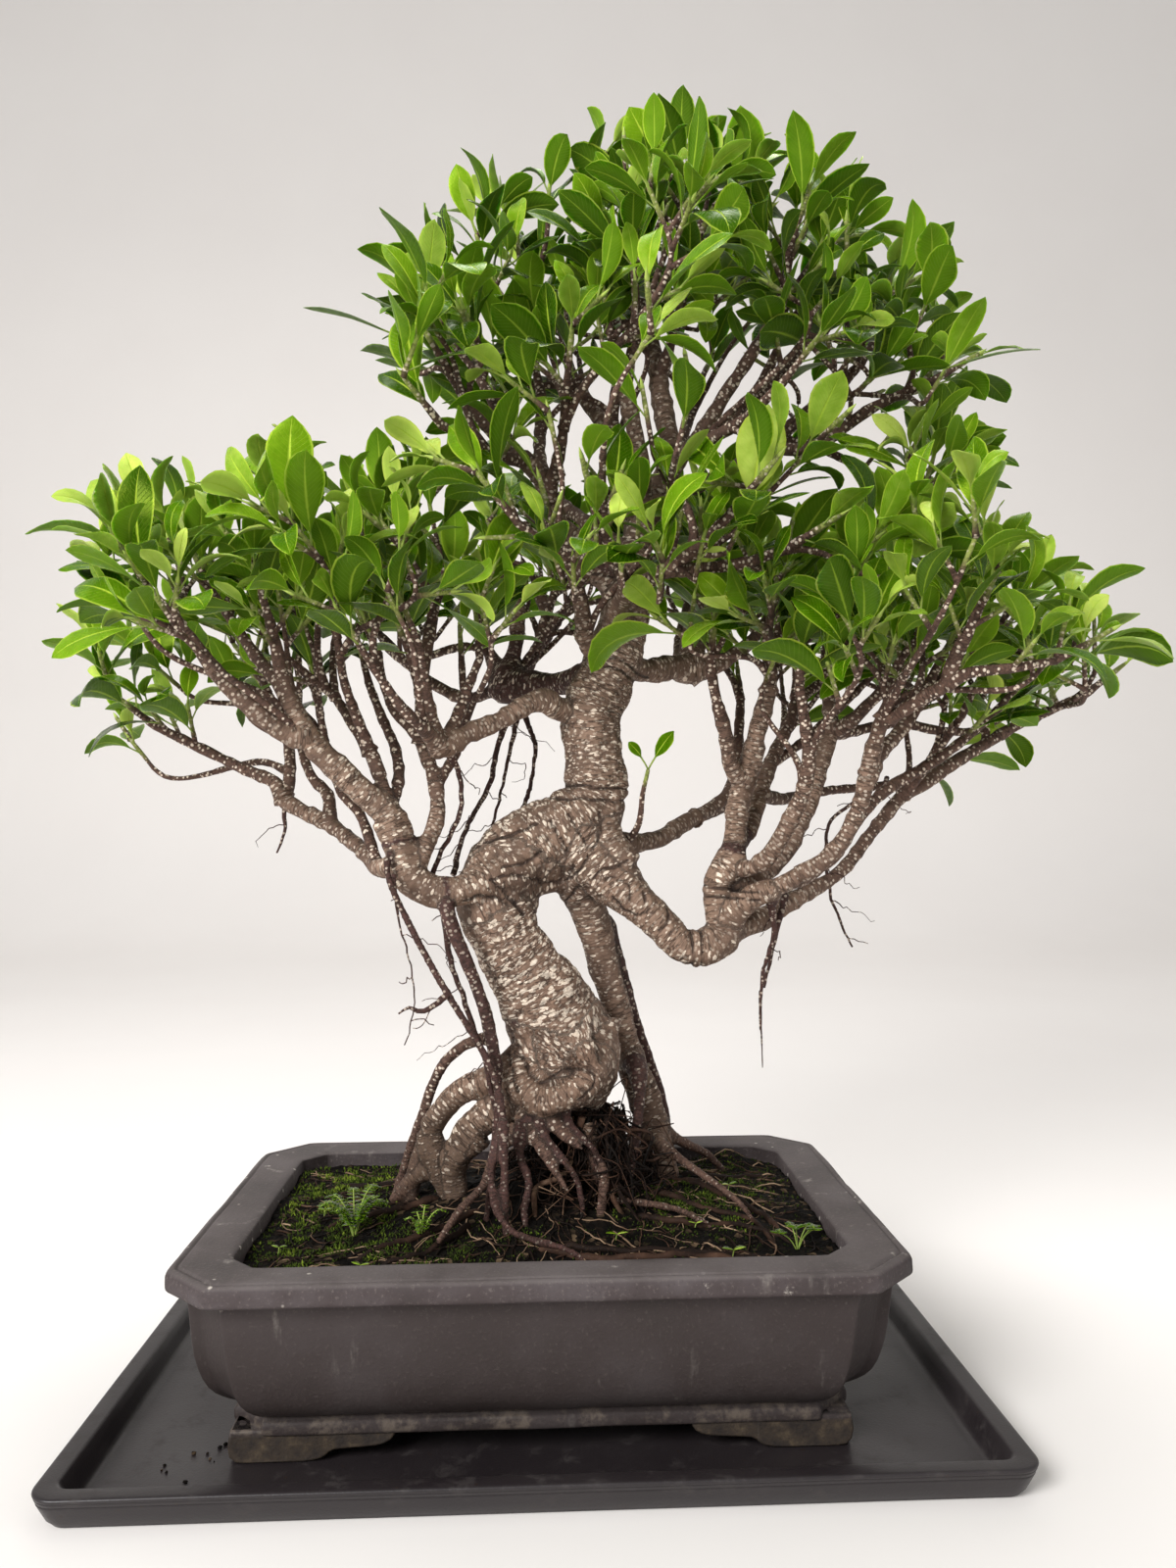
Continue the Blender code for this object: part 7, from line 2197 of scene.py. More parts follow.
def leaf_look():
    """Leathery leaves from yellow-green to deep green, with a pale midrib, margin and underside."""
    look = Look("leaf")
    side, share, face = look.split(look.mark("leaf_place", "Vector"))
    world = look.places()
    tone = look.mark("leaf_tone") + (look.noise(world, 120, 3) - 0.5) * 0.22
    colour = look.ramp(tone, (0.0, 17, 40, 1), (0.25, 31, 60, 1), (0.5, 58, 94, 2), (0.75, 103, 139, 20),
                       (1.0, 186, 205, 94))
    off = abs(side)
    rib_width = look.span(share, 0.0, 1.0, 0.15, 0.04)
    rib = look.math("SUBTRACT", 1.0, off / rib_width, clamp=True)
    vein = abs(look.math("FRACT", share * 17.0 + off * -3.4) - 0.5)
    vein = look.span(vein, 0.10, 0.0)
    edge = look.span(off, 0.86, 0.94)
    colour = look.mix(look.most(rib * 0.9, vein * 0.14, edge * 0.5), colour, tint(170, 192, 64))
    under = look.span(face, 0.0, -0.5)
    colour = look.mix(under * 0.4, colour, tint(98, 134, 36))
    stalk = look.span(share, 0.03, -0.04)
    colour = look.mix(stalk * 0.8, colour, tint(150, 166, 88))
    roughness = look.span(look.noise(world, 260, 2), 0.35, 0.65, 0.18, 0.30) + under * 0.3
    height = vein * -0.4 + rib * -0.7 + look.noise(world, 900, 2) * 0.35
    return look.surface(Base_Color=colour, Roughness=roughness, Normal=look.bump(height, 0.0005, 0.6),
                        Specular_IOR_Level=0.22, Specular_Tint=(0.75, 1.0, 0.05, 1.0),
                        Subsurface_Weight=0.2, Subsurface_Radius=(0.4, 1.0, 0.2), Subsurface_Scale=0.002)


def clay_lime(look, place, aside, tall, grain):
    """Lime on the clay: runs near the corners, blots and bloom high up."""
    runs = look.span(look.noise(look.scaled(place, (60, 60, 9)), 1.0, 4, 0.6), 0.60, 0.74)
    reach = look.span(look.noise(place, 9, 2), 0.50, 0.66)
    reach = look.most(reach, look.span(aside, 0.186, 0.204, 0, 0.9))
    corner = look.span(abs(aside), 0.172, 0.205, 0.35, 0.9)
    way, pick = look.cells(place, 95)
    blot = look.span(way, 0.16, 0.08) * look.span(pick[0], 0.80, 0.86)
    bloom = look.span(look.noise(place, 46, 6, 0.75), 0.64, 0.76)
    upper = look.span(tall, 0.098, 0.110)
    lime = look.most(runs * reach * corner, look.most(blot, bloom) * upper)
    return lime * look.span(grain, 0.3, 0.6, 0.35, 0.8)


def clay_look():
    """Unglazed clay: mauve brown-grey, with painted shade on the wall below the lip and a painted highlight
    on the rim's top, dirt low down, lime bloom and runs.
    """
    look = Look("clay")
    place = look.places()
    aside, _, tall = look.split(place)
    cloud = look.noise(place, 14, 5, 0.6)
    grain = look.noise(place, 420, 3, 0.6)
    colour = look.ramp(cloud, (0.3, 44, 37, 36), (0.48, 62, 53, 53), (0.68, 82, 75, 76))
    colour = look.mix(look.span(grain, 0.55, 0.75, 0, 0.5), colour, tint(112, 103, 98))
    colour = look.mix(look.span(grain, 0.42, 0.25, 0, 0.5), colour, tint(44, 38, 37))
    # painted highlight: the rim's top is lighter, as light falls on it from above
    top = look.span(tall, 0.1192, 0.1212, 0, 0.4) * look.span(cloud, 0.3, 0.6, 0.5, 1.0)
    colour = look.mix(top, colour, tint(122, 114, 112))
    # painted shade: the wall below the lip is darker
    colour = look.mix(look.span(tall, 0.112, 0.10) * 0.7, colour, tint(44, 36, 34))
    dirt = look.noise(place, 90, 5, 0.7)
    dirt = look.ramp(dirt, (0.35, 30, 25, 21), (0.55, 58, 48, 36), (0.7, 92, 78, 58))
    colour = look.mix(look.span(tall, 0.0225, 0.0205) * 0.7, colour, dirt)
    dust = look.span(look.noise(place, 70, 5, 0.7), 0.46, 0.66)
    dust *= look.span(tall, 0.020, 0.024) * look.span(tall, 0.040, 0.028)
    colour = look.mix(dust * 0.5, colour, tint(112, 100, 88))
    lime = clay_lime(look, place, aside, tall, grain)
    colour = look.mix(lime, colour, tint(196, 188, 178))
    height = grain * 0.6 + cloud * 0.6 + lime * 0.3
    return look.surface(Base_Color=colour, Roughness=look.span(cloud, 0.3, 0.7, 0.62, 0.86),
                        Normal=look.bump(height, 0.0009, 0.7), Specular_IOR_Level=0.35)


def plastic_look():
    """Moulded brown plastic, satin, with faint dust and dried water."""
    look = Look("tray_plastic")
    place = look.places()
    cloud = look.noise(place, 11, 4)
    dust = look.span(look.noise(place, 60, 5, 0.7), 0.52, 0.72)
    colour = look.ramp(cloud, (0.3, 34, 29, 31), (0.7, 43, 38, 39))
    colour = look.mix(dust * 0.12, colour, tint(118, 111, 106))
    way, pick = look.cells(place, 160)
    specks = look.span(way, 0.22, 0.1) * look.span(pick[0], 0.88, 0.92)
    colour = look.mix(specks * 0.7, colour, tint(44, 34, 28))
    roughness = look.span(cloud, 0.3, 0.7, 0.36, 0.46) + dust * 0.2
    return look.surface(Base_Color=colour, Roughness=roughness, Specular_IOR_Level=0.4,
                        Normal=look.bump(look.noise(place, 700, 2), 0.0003, 0.35))


def soil_look():
    """Damp dark soil with brown and pale crumbs."""
    look = Look("soil")
    place = look.places()
    crumb, pick = look.cells(place, 260)
    cloud = look.noise(place, 40, 4, 0.6)
    colour = look.ramp(pick[0], (0.0, 8, 6, 5), (0.6, 15, 12, 9), (0.9, 30, 23, 17), (0.99, 92, 76, 58))
    colour = look.mix(look.span(cloud, 0.4, 0.65, 0, 0.6), colour, tint(10, 8, 6))
    height = crumb + look.noise(place, 300, 4) * 0.8
    return look.surface(Base_Color=colour, Roughness=look.span(cloud, 0.3, 0.7, 0.7, 0.95),
                        Normal=look.bump(height, 0.002, 0.8), Specular_IOR_Level=0.08)


def moss_look():
    """Moss from bright yellow-green to dull brown-green, with painted shade at the foot of each tuft."""
    look = Look("moss")
    colour = look.ramp(look.mark("moss_tone"), (0.0, 18, 18, 9), (0.4, 38, 46, 16), (0.75, 64, 80, 24),
                       (1.0, 118, 134, 44))
    # painted shade: each tuft darkens towards its foot
    colour = look.mix(look.span(look.mark("moss_height"), 0.7, 0.0, 0, 0.9), colour, tint(13, 13, 6))
    grain = look.noise(look.places(), 900, 2)
    return look.surface(Base_Color=colour, Roughness=look.span(grain, 0.3, 0.7, 0.7, 0.9),
                        Normal=look.bump(grain, 0.0004, 0.5), Specular_IOR_Level=0.08)


def root_look():
    """Dark reddish brown rootlets, almost black where they are damp, some of them pale."""
    look = Look("root")
    place = look.places()
    fine = look.noise(place, 500, 4, 0.7)
    tone = look.mark("root_tone") + (look.noise(place, 60, 3) - 0.5) * 0.8
    colour = look.ramp(tone, (0.0, 12, 8, 6), (0.35, 32, 21, 16), (0.65, 76, 54, 42), (1.0, 160, 134, 108))
    colour = look.mix(look.span(fine, 0.55, 0.78, 0, 0.25), colour, tint(132, 106, 84))
    return look.surface(Base_Color=colour, Roughness=look.span(fine, 0.3, 0.7, 0.55, 0.85),
                        Normal=look.bump(fine, 0.0008, 0.7), Specular_IOR_Level=0.12)


def floor_look():
    """Plain pale floor and backdrop."""
    look = Look("pale_floor")
    grain = look.noise(look.places(), 3, 3)
    return look.surface(Base_Color=look.ramp(grain, (0.0, 238, 233, 229), (1.0, 242, 238, 234)),
                        Roughness=look.span(grain, 0.2, 0.8, 0.7, 0.8))


def rounded(ring, reach, steps, spacing):
    """A ring of 2-D points with its corners rounded and its straights divided."""
    count = len(ring)
    found = []
    for index, corner in enumerate(ring):
        before, after = ring[index - 1], ring[(index + 1) % count]
        start = corner + (before - corner).normalized() * min(reach, (before - corner).length * 0.45)
        end = corner + (after - corner).normalized() * min(reach, (after - corner).length * 0.45)
        for step in range(steps + 1):
            share = step / steps
            found.append(start.lerp(corner, share).lerp(corner.lerp(end, share), share))
        nearest = after + (corner - after).normalized() * min(reach, (after - corner).length * 0.45)
        parts = spacing[index % len(spacing)]
        found += [end.lerp(nearest, part / parts) for part in range(1, parts)]
    return found


def pot_ring(width, depth, cut, notch, reach=2.2):
    """Fine outline of the pot: round beads beside each canted corner, divided straights."""
    ring = corner_ring(width, depth, cut, notch)
    return rounded(ring, reach, 4, (1, 4, 1, 24))


def surface_object(name, levels, material):
    """A closed body through rings of 3-D points in millimetres, with smooth faces."""
    shape = Shape()
    places = [tuple(point) for ring in levels for point in ring]
    shape.add(places, ring_faces(len(levels), len(levels[0])))
    return shape.item(name, material)


def uneven(point, seed, amount):
    """A point moved a little, as hand-pressed clay is."""
    place = Vector(point)
    spot = place / 46 + Vector((seed, seed, seed))
    return place + Vector((noise.noise(spot), noise.noise(spot + Vector((7, 3, 1))), 0)) * amount


def make_pot(material):
    """Body of the pot: plinth, bulging wall, lip with a groove, inside wall and drain holes."""
    levels = []
    for rise, growth, cut, notch in POT_PROFILE:
        ring = pot_ring(BASE_WIDTH + growth, BASE_DEPTH + growth, cut, notch)
        levels.append([uneven((x, y, UNDERSIDE + rise), 2, 0.9) for x, y in ring])
    for inset, drop, cut in LIP_PROFILE:
        ring = pot_ring(POT_WIDTH - 2 * inset, POT_DEPTH - 2 * inset, cut, 0, 10)
        levels.append([uneven((x, y, POT_TOP - drop), 2, 0.9) for x, y in ring])
    for height, width, depth, cut in reversed(POT_INSIDE):
        ring = pot_ring(width, depth, cut, 0, 10)
        levels.append([(x, y, height) for x, y in ring])
    mesh = cut_mesh(surface_object("shell", levels, material), drain_cutters())
    chip_lip(mesh)
    return finished("fine_pot", mesh, material, False)


def drain_cutters():
    """Round bars where the pot's drain holes are."""
    cutters = []
    for sign in (-1, 1):
        work = bmesh.new()
        bmesh.ops.create_cone(work, cap_ends=True, segments=32, radius1=DRAIN_RADIUS * MM,
                              radius2=DRAIN_RADIUS * MM, depth=DRAIN_DEPTH * MM)
        bmesh.ops.translate(work, verts=work.verts, vec=Vector((sign * DRAIN_X, 0, UNDERSIDE)) * MM)
        cutters.append(mesh_of(work, "drain"))
    return cutters


def placed_leg(edge, sign_x, sign_y):
    """Leg of one foot, along the front or the side of the pot's base."""
    leg = foot_leg(LEG_LENGTHS[edge])
    x = BASE_WIDTH / 2 - LEG_INSETS[edge]
    y = BASE_DEPTH / 2 - LEG_INSETS[edge]
    if edge == "front":
        turn = Matrix.Scale(-sign_x, 4, (1, 0, 0))
        y -= LEG_THICK / 2
    else:
        turn = Matrix.Scale(-sign_y, 4, (0, 1, 0)) @ Matrix.Rotation(math.pi / 2, 4, "Z")
        x -= LEG_THICK / 2
    leg.transform(Matrix.Translation(Vector((sign_x * x, sign_y * y, UNDERSIDE)) * MM) @ turn)
    return leg


def chip_lip(mesh):
    """Small dents along the lip and the corners, pressed straight down or inward."""
    for vertex in mesh.vertices:
        x, y, z = vertex.co / MM
        wear = noise.noise(Vector((x, y, z)) / 5.5) - 0.42
        if wear > 0 and z > POT_TOP - 14 and (abs(x) > POT_WIDTH / 2 - 6 or abs(y) > POT_DEPTH / 2 - 6):
            vertex.co -= Vector((math.copysign(1, x), math.copysign(1, y), 0.6)) * wear * 1.6 * MM


def make_feet(material):
    """Bracket feet: eight legs with a deep rounded lobe and a thin ledge, softly bevelled."""
    work = bmesh.new()
    for sign_x in (-1, 1):
        for sign_y in (-1, 1):
            for edge in ("front", "side"):
                work.from_mesh(placed_leg(edge, sign_x, sign_y))
    bmesh.ops.remove_doubles(work, verts=work.verts, dist=1e-6)
    bmesh.ops.recalc_face_normals(work, faces=work.faces)
    *chip, reach = FOOT_CHIP
    for vertex in work.verts:
        off = vertex.co / MM - Vector(chip)
        if off.length < reach:
            vertex.co -= off.normalized() * (off.length - reach) * -0.6 * MM
    return finished("pot_feet", mesh_of(work, "pot_feet"), material, False)


def foot_leg(length):
    """One leg along +X from the origin, hanging down, with rounded edges."""
    height = FOOT_HEIGHT
    outline = [(1.6, -3), (0.5, 2), (0, 6), (1.2, height - 4), (4.5, height - 0.7)]
    outline += [(share * length, drop * height) for share, drop in LEG_CURVE]
    outline += [(length, -3)]
    curve = bpy.data.curves.new("leg", "CURVE")
    curve.dimensions = "2D"
    curve.fill_mode = "BOTH"
    curve.extrude = (LEG_THICK / 2 - LEG_EDGE) * MM
    curve.bevel_depth = LEG_EDGE * MM
    curve.bevel_resolution = 3
    curve.offset = -LEG_EDGE * MM
    spline = curve.splines.new("POLY")
    spline.points.add(len(outline) - 1)
    for point, (x, z) in zip(spline.points, outline):
        point.co = (x * MM, -z * MM, 0, 1)
    spline.use_cyclic_u = True
    mesh = baked_mesh(placed("leg", curve))
    mesh.transform(Matrix.Rotation(math.pi / 2, 4, "X"))
    return mesh


def round_ring(width, depth, radius, steps, parts):
    """Outline of a rectangle with round corners and divided straights."""
    ring = []
    for quarter, (sign_x, sign_y) in enumerate(CORNERS):
        middle = Vector((sign_x * (width / 2 - radius), sign_y * (depth / 2 - radius)))
        for step in range(steps + 1):
            angle = math.pi / 2 * (quarter + step / steps)
            ring.append(middle + radius * Vector((math.cos(angle), math.sin(angle))))
    found = []
    for index, point in enumerate(ring):
        found.append(point)
        if index % (steps + 1) == steps:
            after = ring[(index + 1) % len(ring)]
            found += [point.lerp(after, part / parts) for part in range(1, parts)]
    return found


def make_tray(material):
    """Drip tray with a grooved rim and a slightly sagging wall."""
    levels = []
    for height, inset, corner_cut in TRAY_PROFILE:
        ring = round_ring(TRAY_WIDTH - 2 * inset, TRAY_DEPTH - 2 * inset, TRAY_CORNER - corner_cut, 8, 20)
        row = []
        for x, y in ring:
            sag = 0.35 * noise.noise(Vector((x / 90, y / 90, 3.0))) if height > 1 else 0
            row.append((x, y + TRAY_SHIFT_Y, height + sag))
        levels.append(row)
    return surface_object("fine_tray", levels, material)


def soil_grid(columns, rows):
    """Points of the soil's top, on a grid that is cut to the pot's opening."""
    _, width, depth, cut = POT_INSIDE[-2]
    half_x, half_y = width / 2 - GAP, depth / 2 - GAP
    places = []
    for row in range(rows + 1):
        for column in range(columns + 1):
            x = -half_x + 2 * half_x * column / columns
            y = -half_y + 2 * half_y * row / rows
            over = (abs(x) - half_x + cut) + (abs(y) - half_y)
            if over > 0:
                x -= math.copysign(over / 2, x)
                y -= math.copysign(over / 2, y)
            places.append((x, y, soil_top(x, y)))
    return places


def grid_border(columns, rows):
    """Numbers of the points around a grid, in order."""
    wide = columns + 1
    border = list(range(wide)) + [row * wide + columns for row in range(1, rows)]
    border += [rows * wide + columns - step for step in range(wide)]
    return border + [row * wide for row in range(rows - 1, 0, -1)]


def soil_top(x, y):
    """Height of the fine soil: the plain mound with clods, crumbs and a heap at the back right."""
    height = max(soil_height(x, y), SOIL_EDGE - 0.5)
    spot = Vector((x, y, 0))
    height += 2.2 * noise.noise(spot / 16) + 1.3 * noise.noise(spot / 6.5) + 0.8 * noise.noise(spot / 3)
    for lump_x, lump_y, rise, reach in SOIL_LUMPS:
        height += rise * math.exp(-((x - lump_x) ** 2 + (y - lump_y) ** 2) / reach ** 2)
    return height


def make_soil(material):
    """Soil with a crumbly top on a fine grid, with its sides and its flat underside."""
    _, width, depth, _ = POT_INSIDE[-2]
    columns, rows = round(width / SOIL_GRID), round(depth / SOIL_GRID)
    places = soil_grid(columns, rows)
    wide = columns + 1
    faces = []
    for row in range(rows):
        for column in range(columns):
            corner = row * wide + column
            faces.append((corner, corner + 1, corner + wide + 1, corner + wide))
    border = grid_border(columns, rows)
    first = len(places)
    shrink_x, shrink_y = POT_INSIDE[0][1] / width, POT_INSIDE[0][2] / depth
    for point in border:
        x, y, _ = places[point]
        places.append((x * shrink_x, y * shrink_y, POT_FLOOR + GAP))
    count = len(border)
    for index in range(count):
        after = (index + 1) % count
        faces.append((border[after], border[index], first + index, first + after))
    faces.append(tuple(first + index for index in range(count))[::-1])
    shape = Shape()
    shape.add(places, faces)
    return shape.item("fine_soil", material)


def moss_tuft(x, y, height, draw):
    """Points of one pointed spike of moss: two triangles and a tip."""
    root = Vector((x, y, soil_top(x, y) - MOSS_FOOT))
    lean = Vector((draw.uniform(-0.7, 0.7), draw.uniform(-0.7, 0.7), 1)).normalized()
    radius = draw.uniform(0.5, 0.95)
    turn = draw.uniform(0, math.tau)
    places = []
    for level, girth in ((0, 1.0), (0.55, 0.8)):
        for side in range(3):
            off = level_way(turn + math.tau * side / 3 + level) * radius * girth
            places.append(root + lean * (height + MOSS_FOOT) * level + off)
    return places + [root + lean * (height + MOSS_FOOT)]


def near_roots(roots, x, y):
    """True if a place lies in the thick roots at the foot of the trunk."""
    return any((x - root_x) ** 2 + (y - root_y) ** 2 < reach ** 2 for root_x, root_y, reach in roots)


def make_moss(material):
    """Tufts of pointed closed spikes, dense and bright on the left, thin and dull elsewhere."""
    draw = random.Random(MOSS_SEED)
    edge_x, edge_y, edge_sum = MOSS_EDGE
    shape = Shape("moss_tone", "moss_height")
    for middle_x, middle_y, reach_x, reach_y, count, tone, tallest in MOSS_PATCHES:
        for _ in range(count):
            x = middle_x + draw.gauss(0, 0.5) * reach_x
            y = middle_y + draw.gauss(0, 0.5) * reach_y
            if abs(x) > edge_x or abs(y) > edge_y or abs(x) + abs(y) > edge_sum:
                continue
            thin = noise.noise(Vector((x / 14, y / 14, 5))) + 0.5 * noise.noise(Vector((x / 5, y / 5, 1)))
            if thin < -0.12 or near_roots(ROOT_MASS, x, y):
                continue
            height = draw.uniform(0.45, 1.0) * tallest * (0.8 + 0.6 * thin)
            places = moss_tuft(x, y, height, draw)
            shade = clamped(tone + 0.5 * thin + draw.uniform(-TONE_PLAY, TONE_PLAY))
            shape.add(places, TUFT_FACES, moss_tone=[shade] * 7, moss_height=[0, 0, 0, 0.6, 0.6, 0.6, 1])
    return shape.item("moss", material)


def make_rootlets(material):
    """Roots that run over the soil, and many fine ones between them."""
    shape = Shape("root_tone")
    draw = random.Random(ROOTLET_SEED)
    edge_x, edge_y = ROOT_EDGE
    for route in SURFACE_ROOTS:
        points = [(Vector((x, y, 0)), radius) for x, y, radius in route]
        add_ground_root(shape, curved(points, 4), draw, 0.3)
    for _ in range(FINE_ROOTS):
        x, y = draw.uniform(-170, 170), draw.uniform(-110, 110)
        turn = math.atan2(y, x) + draw.uniform(-0.9, 0.9)
        radius = draw.uniform(0.28, 0.75)
        points = []
        for _ in range(draw.randint(8, 20)):
            points.append((Vector((x, y, 0)), radius))
            turn += draw.uniform(-0.45, 0.45)
            x += 4 * math.cos(turn)
            y += 4 * math.sin(turn)
            radius *= 0.97
        inside = [point for point in points if abs(point[0].x) < edge_x and abs(point[0].y) < edge_y]
        if len(inside) > 3:
            add_ground_root(shape, inside, draw, 1.3)
    return shape.item("rootlets", material)


def add_root_tube(shape, points, sides, tone, *uneven_by):
    """Add a root in one tone."""
    places, faces, _, _ = tube(points, sides, *uneven_by)
    shape.add(places, faces, root_tone=[tone] * len(places))


def tangle_ends(wild, draw):
    """Start of a root under the knee, its end at the soil, and the turn it leads out by."""
    middle = Vector(UNDER_MIDDLE)
    turn = draw.uniform(0, math.tau)
    start = middle + level_way(turn) * UNDER_REACH * draw.uniform(0.2, 1.0)
    start.z += draw.uniform(-6, 4) + 2 * (start - middle).length / UNDER_REACH
    turn += draw.uniform(-0.7, 0.7) * wild
    end = Vector((middle.x, middle.y - 6, 0)) + level_way(turn) * UNDER_SPREAD * draw.uniform(0.45, 1.0)
    end.z = soil_height(end.x, end.y) - 2
    if draw.random() < 0.3 * (wild - 1):
        end.z += draw.uniform(8, 34)
    return start, end, turn


def make_root_mass(material):
    """Tangle of roots between the knee and the soil, the fine ones pale."""
    shape = Shape("root_tone")
    draw = random.Random(TANGLE_SEED)
    for count, slimmest, thickest, pale, wild in UNDER_ROOTS:
        for _ in range(count):
            start, end, turn = tangle_ends(wild, draw)
            points = [start]
            for share in (0.25, 0.5, 0.75):
                place = start.lerp(end, share)
                place.z -= 10 * math.sin(math.pi * share)
                points.append(place + random_vector(draw) * 4.5 * wild)
            points.append(end)
            radius = draw.uniform(slimmest, thickest)
            fine = [(point, radius * (1.2 - 0.4 * number / 4)) for number, point in enumerate(points)]
            tone = clamped(pale + draw.uniform(-0.3, 0.4))
            add_root_tube(shape, curved(fine, 5), 7 if radius > 1 else 4, tone, 0.2, turn)
    return shape.item("root_mass", material)


def add_ground_root(shape, points, draw, lift):
    """Add a root that lies on the soil, its ends a little under it."""
    laid = []
    seed = draw.uniform(0, 50)
    for index, (place, radius) in enumerate(points):
        wave = 0.9 * noise.noise(Vector((place.x / 9, place.y / 9, seed)))
        rise = radius * lift + max(0.0, wave) * 1.2
        end = min(index, len(points) - 1 - index)
        if end < 2:
            rise -= radius * (2 - end)
        x = place.x + 1.5 * noise.noise(Vector((place.x / 12, seed, 0)))
        y = place.y + 1.5 * noise.noise(Vector((seed, place.y / 12, 0)))
        laid.append((Vector((x, y, soil_top(x, y) + rise)), radius * (1 + 0.3 * wave)))
    start, radius = laid[0]
    is_thick = radius > 1.2
    pale = 1.6 if start.x < 20 else 0.8
    tone = draw.uniform(0.25, 0.5) if is_thick else draw.uniform(0.0, 1.0) ** pale
    add_root_tube(shape, laid, 8 if is_thick else 4, tone)


def small_leaf(shape, root, direction, length, width, tone, draw, cup=0.2):
    """A small plain leaf with a keel, closed, for weeds."""
    direction = direction.normalized()
    across = direction.cross(Vector((0, 0, 1))).normalized()
    normal = across.cross(direction).normalized()
    places, marks = [], []
    droop = draw.uniform(0.05, 0.25)
    for share, half in LEAFLET_STOPS:
        for side, face in ((-1, 0), (0, 1), (1, 0), (0, -1)):
            place = root + direction * length * share - normal * droop * length * share ** 2
            place = place + across * side * half * width + normal * (abs(side) * half * width * cup)
            places.append(place + normal * face * 0.18)
            marks.append((side, share, face))
    faces = ring_faces(len(LEAFLET_STOPS), 4)
    shape.add(places, faces, leaf_place=marks, leaf_tone=[tone] * len(places))


def stalk(shape, points, radius, tone):
    """Thin green stalk through a few points."""
    add_green_tube(shape, curved([(Vector(point), radius) for point in points], 2.5), 5, tone, 0.6)


def make_fern(name, x, y, height, fronds, material, seed):
    """Small fern-like weed: arched fronds with pairs of leaflets."""
    draw = random.Random(seed)
    shape = Shape("leaf_place", "leaf_tone")
    start = Vector((x, y, soil_top(x, y) - 2))
    for frond in range(fronds):
        out = level_way(math.tau * frond / fronds + draw.uniform(-0.4, 0.4))
        reach = height * draw.uniform(0.5, 0.8)
        tall = height * draw.uniform(0.75, 1.0)
        points = [start] + [start + out * reach * away + Vector((0, 0, tall * rise))
                            for away, rise in ((0.3, 0.65), (0.7, 0.95), (1, 0.9))]
        stalk(shape, points, 0.45, 0.7)
        fine = curved([(point, 1) for point in points], 2.6)
        pairs = fine[len(fine) // 3:]
        across = out.cross(Vector((0, 0, 1)))
        for index, (place, _) in enumerate(pairs):
            size = height * 0.21 * (1 - 0.5 * index / len(pairs))
            for side in (-1, 1):
                way = across * side + out * 0.45 + Vector((0, 0, 0.1))
                small_leaf(shape, place, way, size, size * 0.42, draw.uniform(0.3, 0.6), draw)
    return shape.item(name, material)


def make_clover(name, x, y, height, stalks, material, seed):
    """Clover-like weed: three round leaflets on each thin stalk."""
    draw = random.Random(seed)
    shape = Shape("leaf_place", "leaf_tone")
    ground = soil_top(x, y) - 2
    for number in range(stalks):
        turn = math.tau * number / stalks + draw.uniform(-0.5, 0.5)
        out = level_way(turn) * height * draw.uniform(0.35, 0.75)
        tall = height * draw.uniform(0.45, 0.8)
        top = Vector((x, y, ground + tall)) + out
        bend = (x + out.x * 0.4, y + out.y * 0.4, ground + tall * 0.6)
        stalk(shape, [(x, y, ground), bend, top], 0.4, 0.6)
        for part in range(3):
            way = level_way(turn + math.tau * part / 3) + Vector((0, 0, 0.25))
            size = height * draw.uniform(0.2, 0.28)
            small_leaf(shape, top, way, size, size * 0.5, draw.uniform(0.25, 0.5), draw, -0.1)
    return shape.item(name, material)


def make_lone_leaves(material):
    """Single leaflets of tiny weeds that stand up from the soil."""
    draw = random.Random(LONE_SEED)
    shape = Shape("leaf_place", "leaf_tone")
    for x, y, height, length in LONE_LEAVES:
        ground = soil_top(x, y) - 2
        top = Vector((x + 1, y - 1, ground + height + 2))
        stalk(shape, [(x, y, ground), (x + 0.4, y, ground + height * 0.6), top], 0.35, 0.6)
        for side in (-1, 1):
            way = Vector((side, draw.uniform(-0.5, 0.3), 0.35))
            small_leaf(shape, top, way, length, length * 0.36, draw.uniform(0.6, 0.95), draw)
    return shape.item("lone_leaves", material)


def make_crumbs(material):
    """Crumbs of soil that lie on the tray."""
    draw = random.Random(CRUMB_SEED)
    shape = Shape()
    for x, y, spread, count in CRUMBS:
        for _ in range(count):
            size = draw.uniform(0.5, 1.6)
            middle = Vector((x + draw.gauss(0, 1) * spread, y + draw.gauss(0, 1) * spread * 0.6,
                             TRAY_FLOOR + size * 0.5))
            work = bmesh.new()
            bmesh.ops.create_icosphere(work, subdivisions=1, radius=size)
            for vertex in work.verts:
                vertex.co *= 1 + 0.5 * noise.noise(vertex.co * 0.9 + middle)
                vertex.co.z *= 0.7
            places = [vertex.co + middle for vertex in work.verts]
            shape.add(places, [tuple(vertex.index for vertex in face.verts) for face in work.faces])
            work.free()
    return shape.item("tray_crumbs", material)


def make_stage():
    """Pale floor that bends up into a backdrop far behind."""
    shape = Shape()
    places = [(x, y, z) for y, z in STAGE_ROWS for x in STAGE_ENDS]
    faces = [(2 * row, 2 * row + 1, 2 * row + 3, 2 * row + 2) for row in range(len(STAGE_ROWS) - 1)]
    shape.add(places, faces)
    floor = shape.item("floor", floor_look())
    bevel = floor.modifiers.new("smooth", "SUBSURF")
    bevel.levels = bevel.render_levels = 3


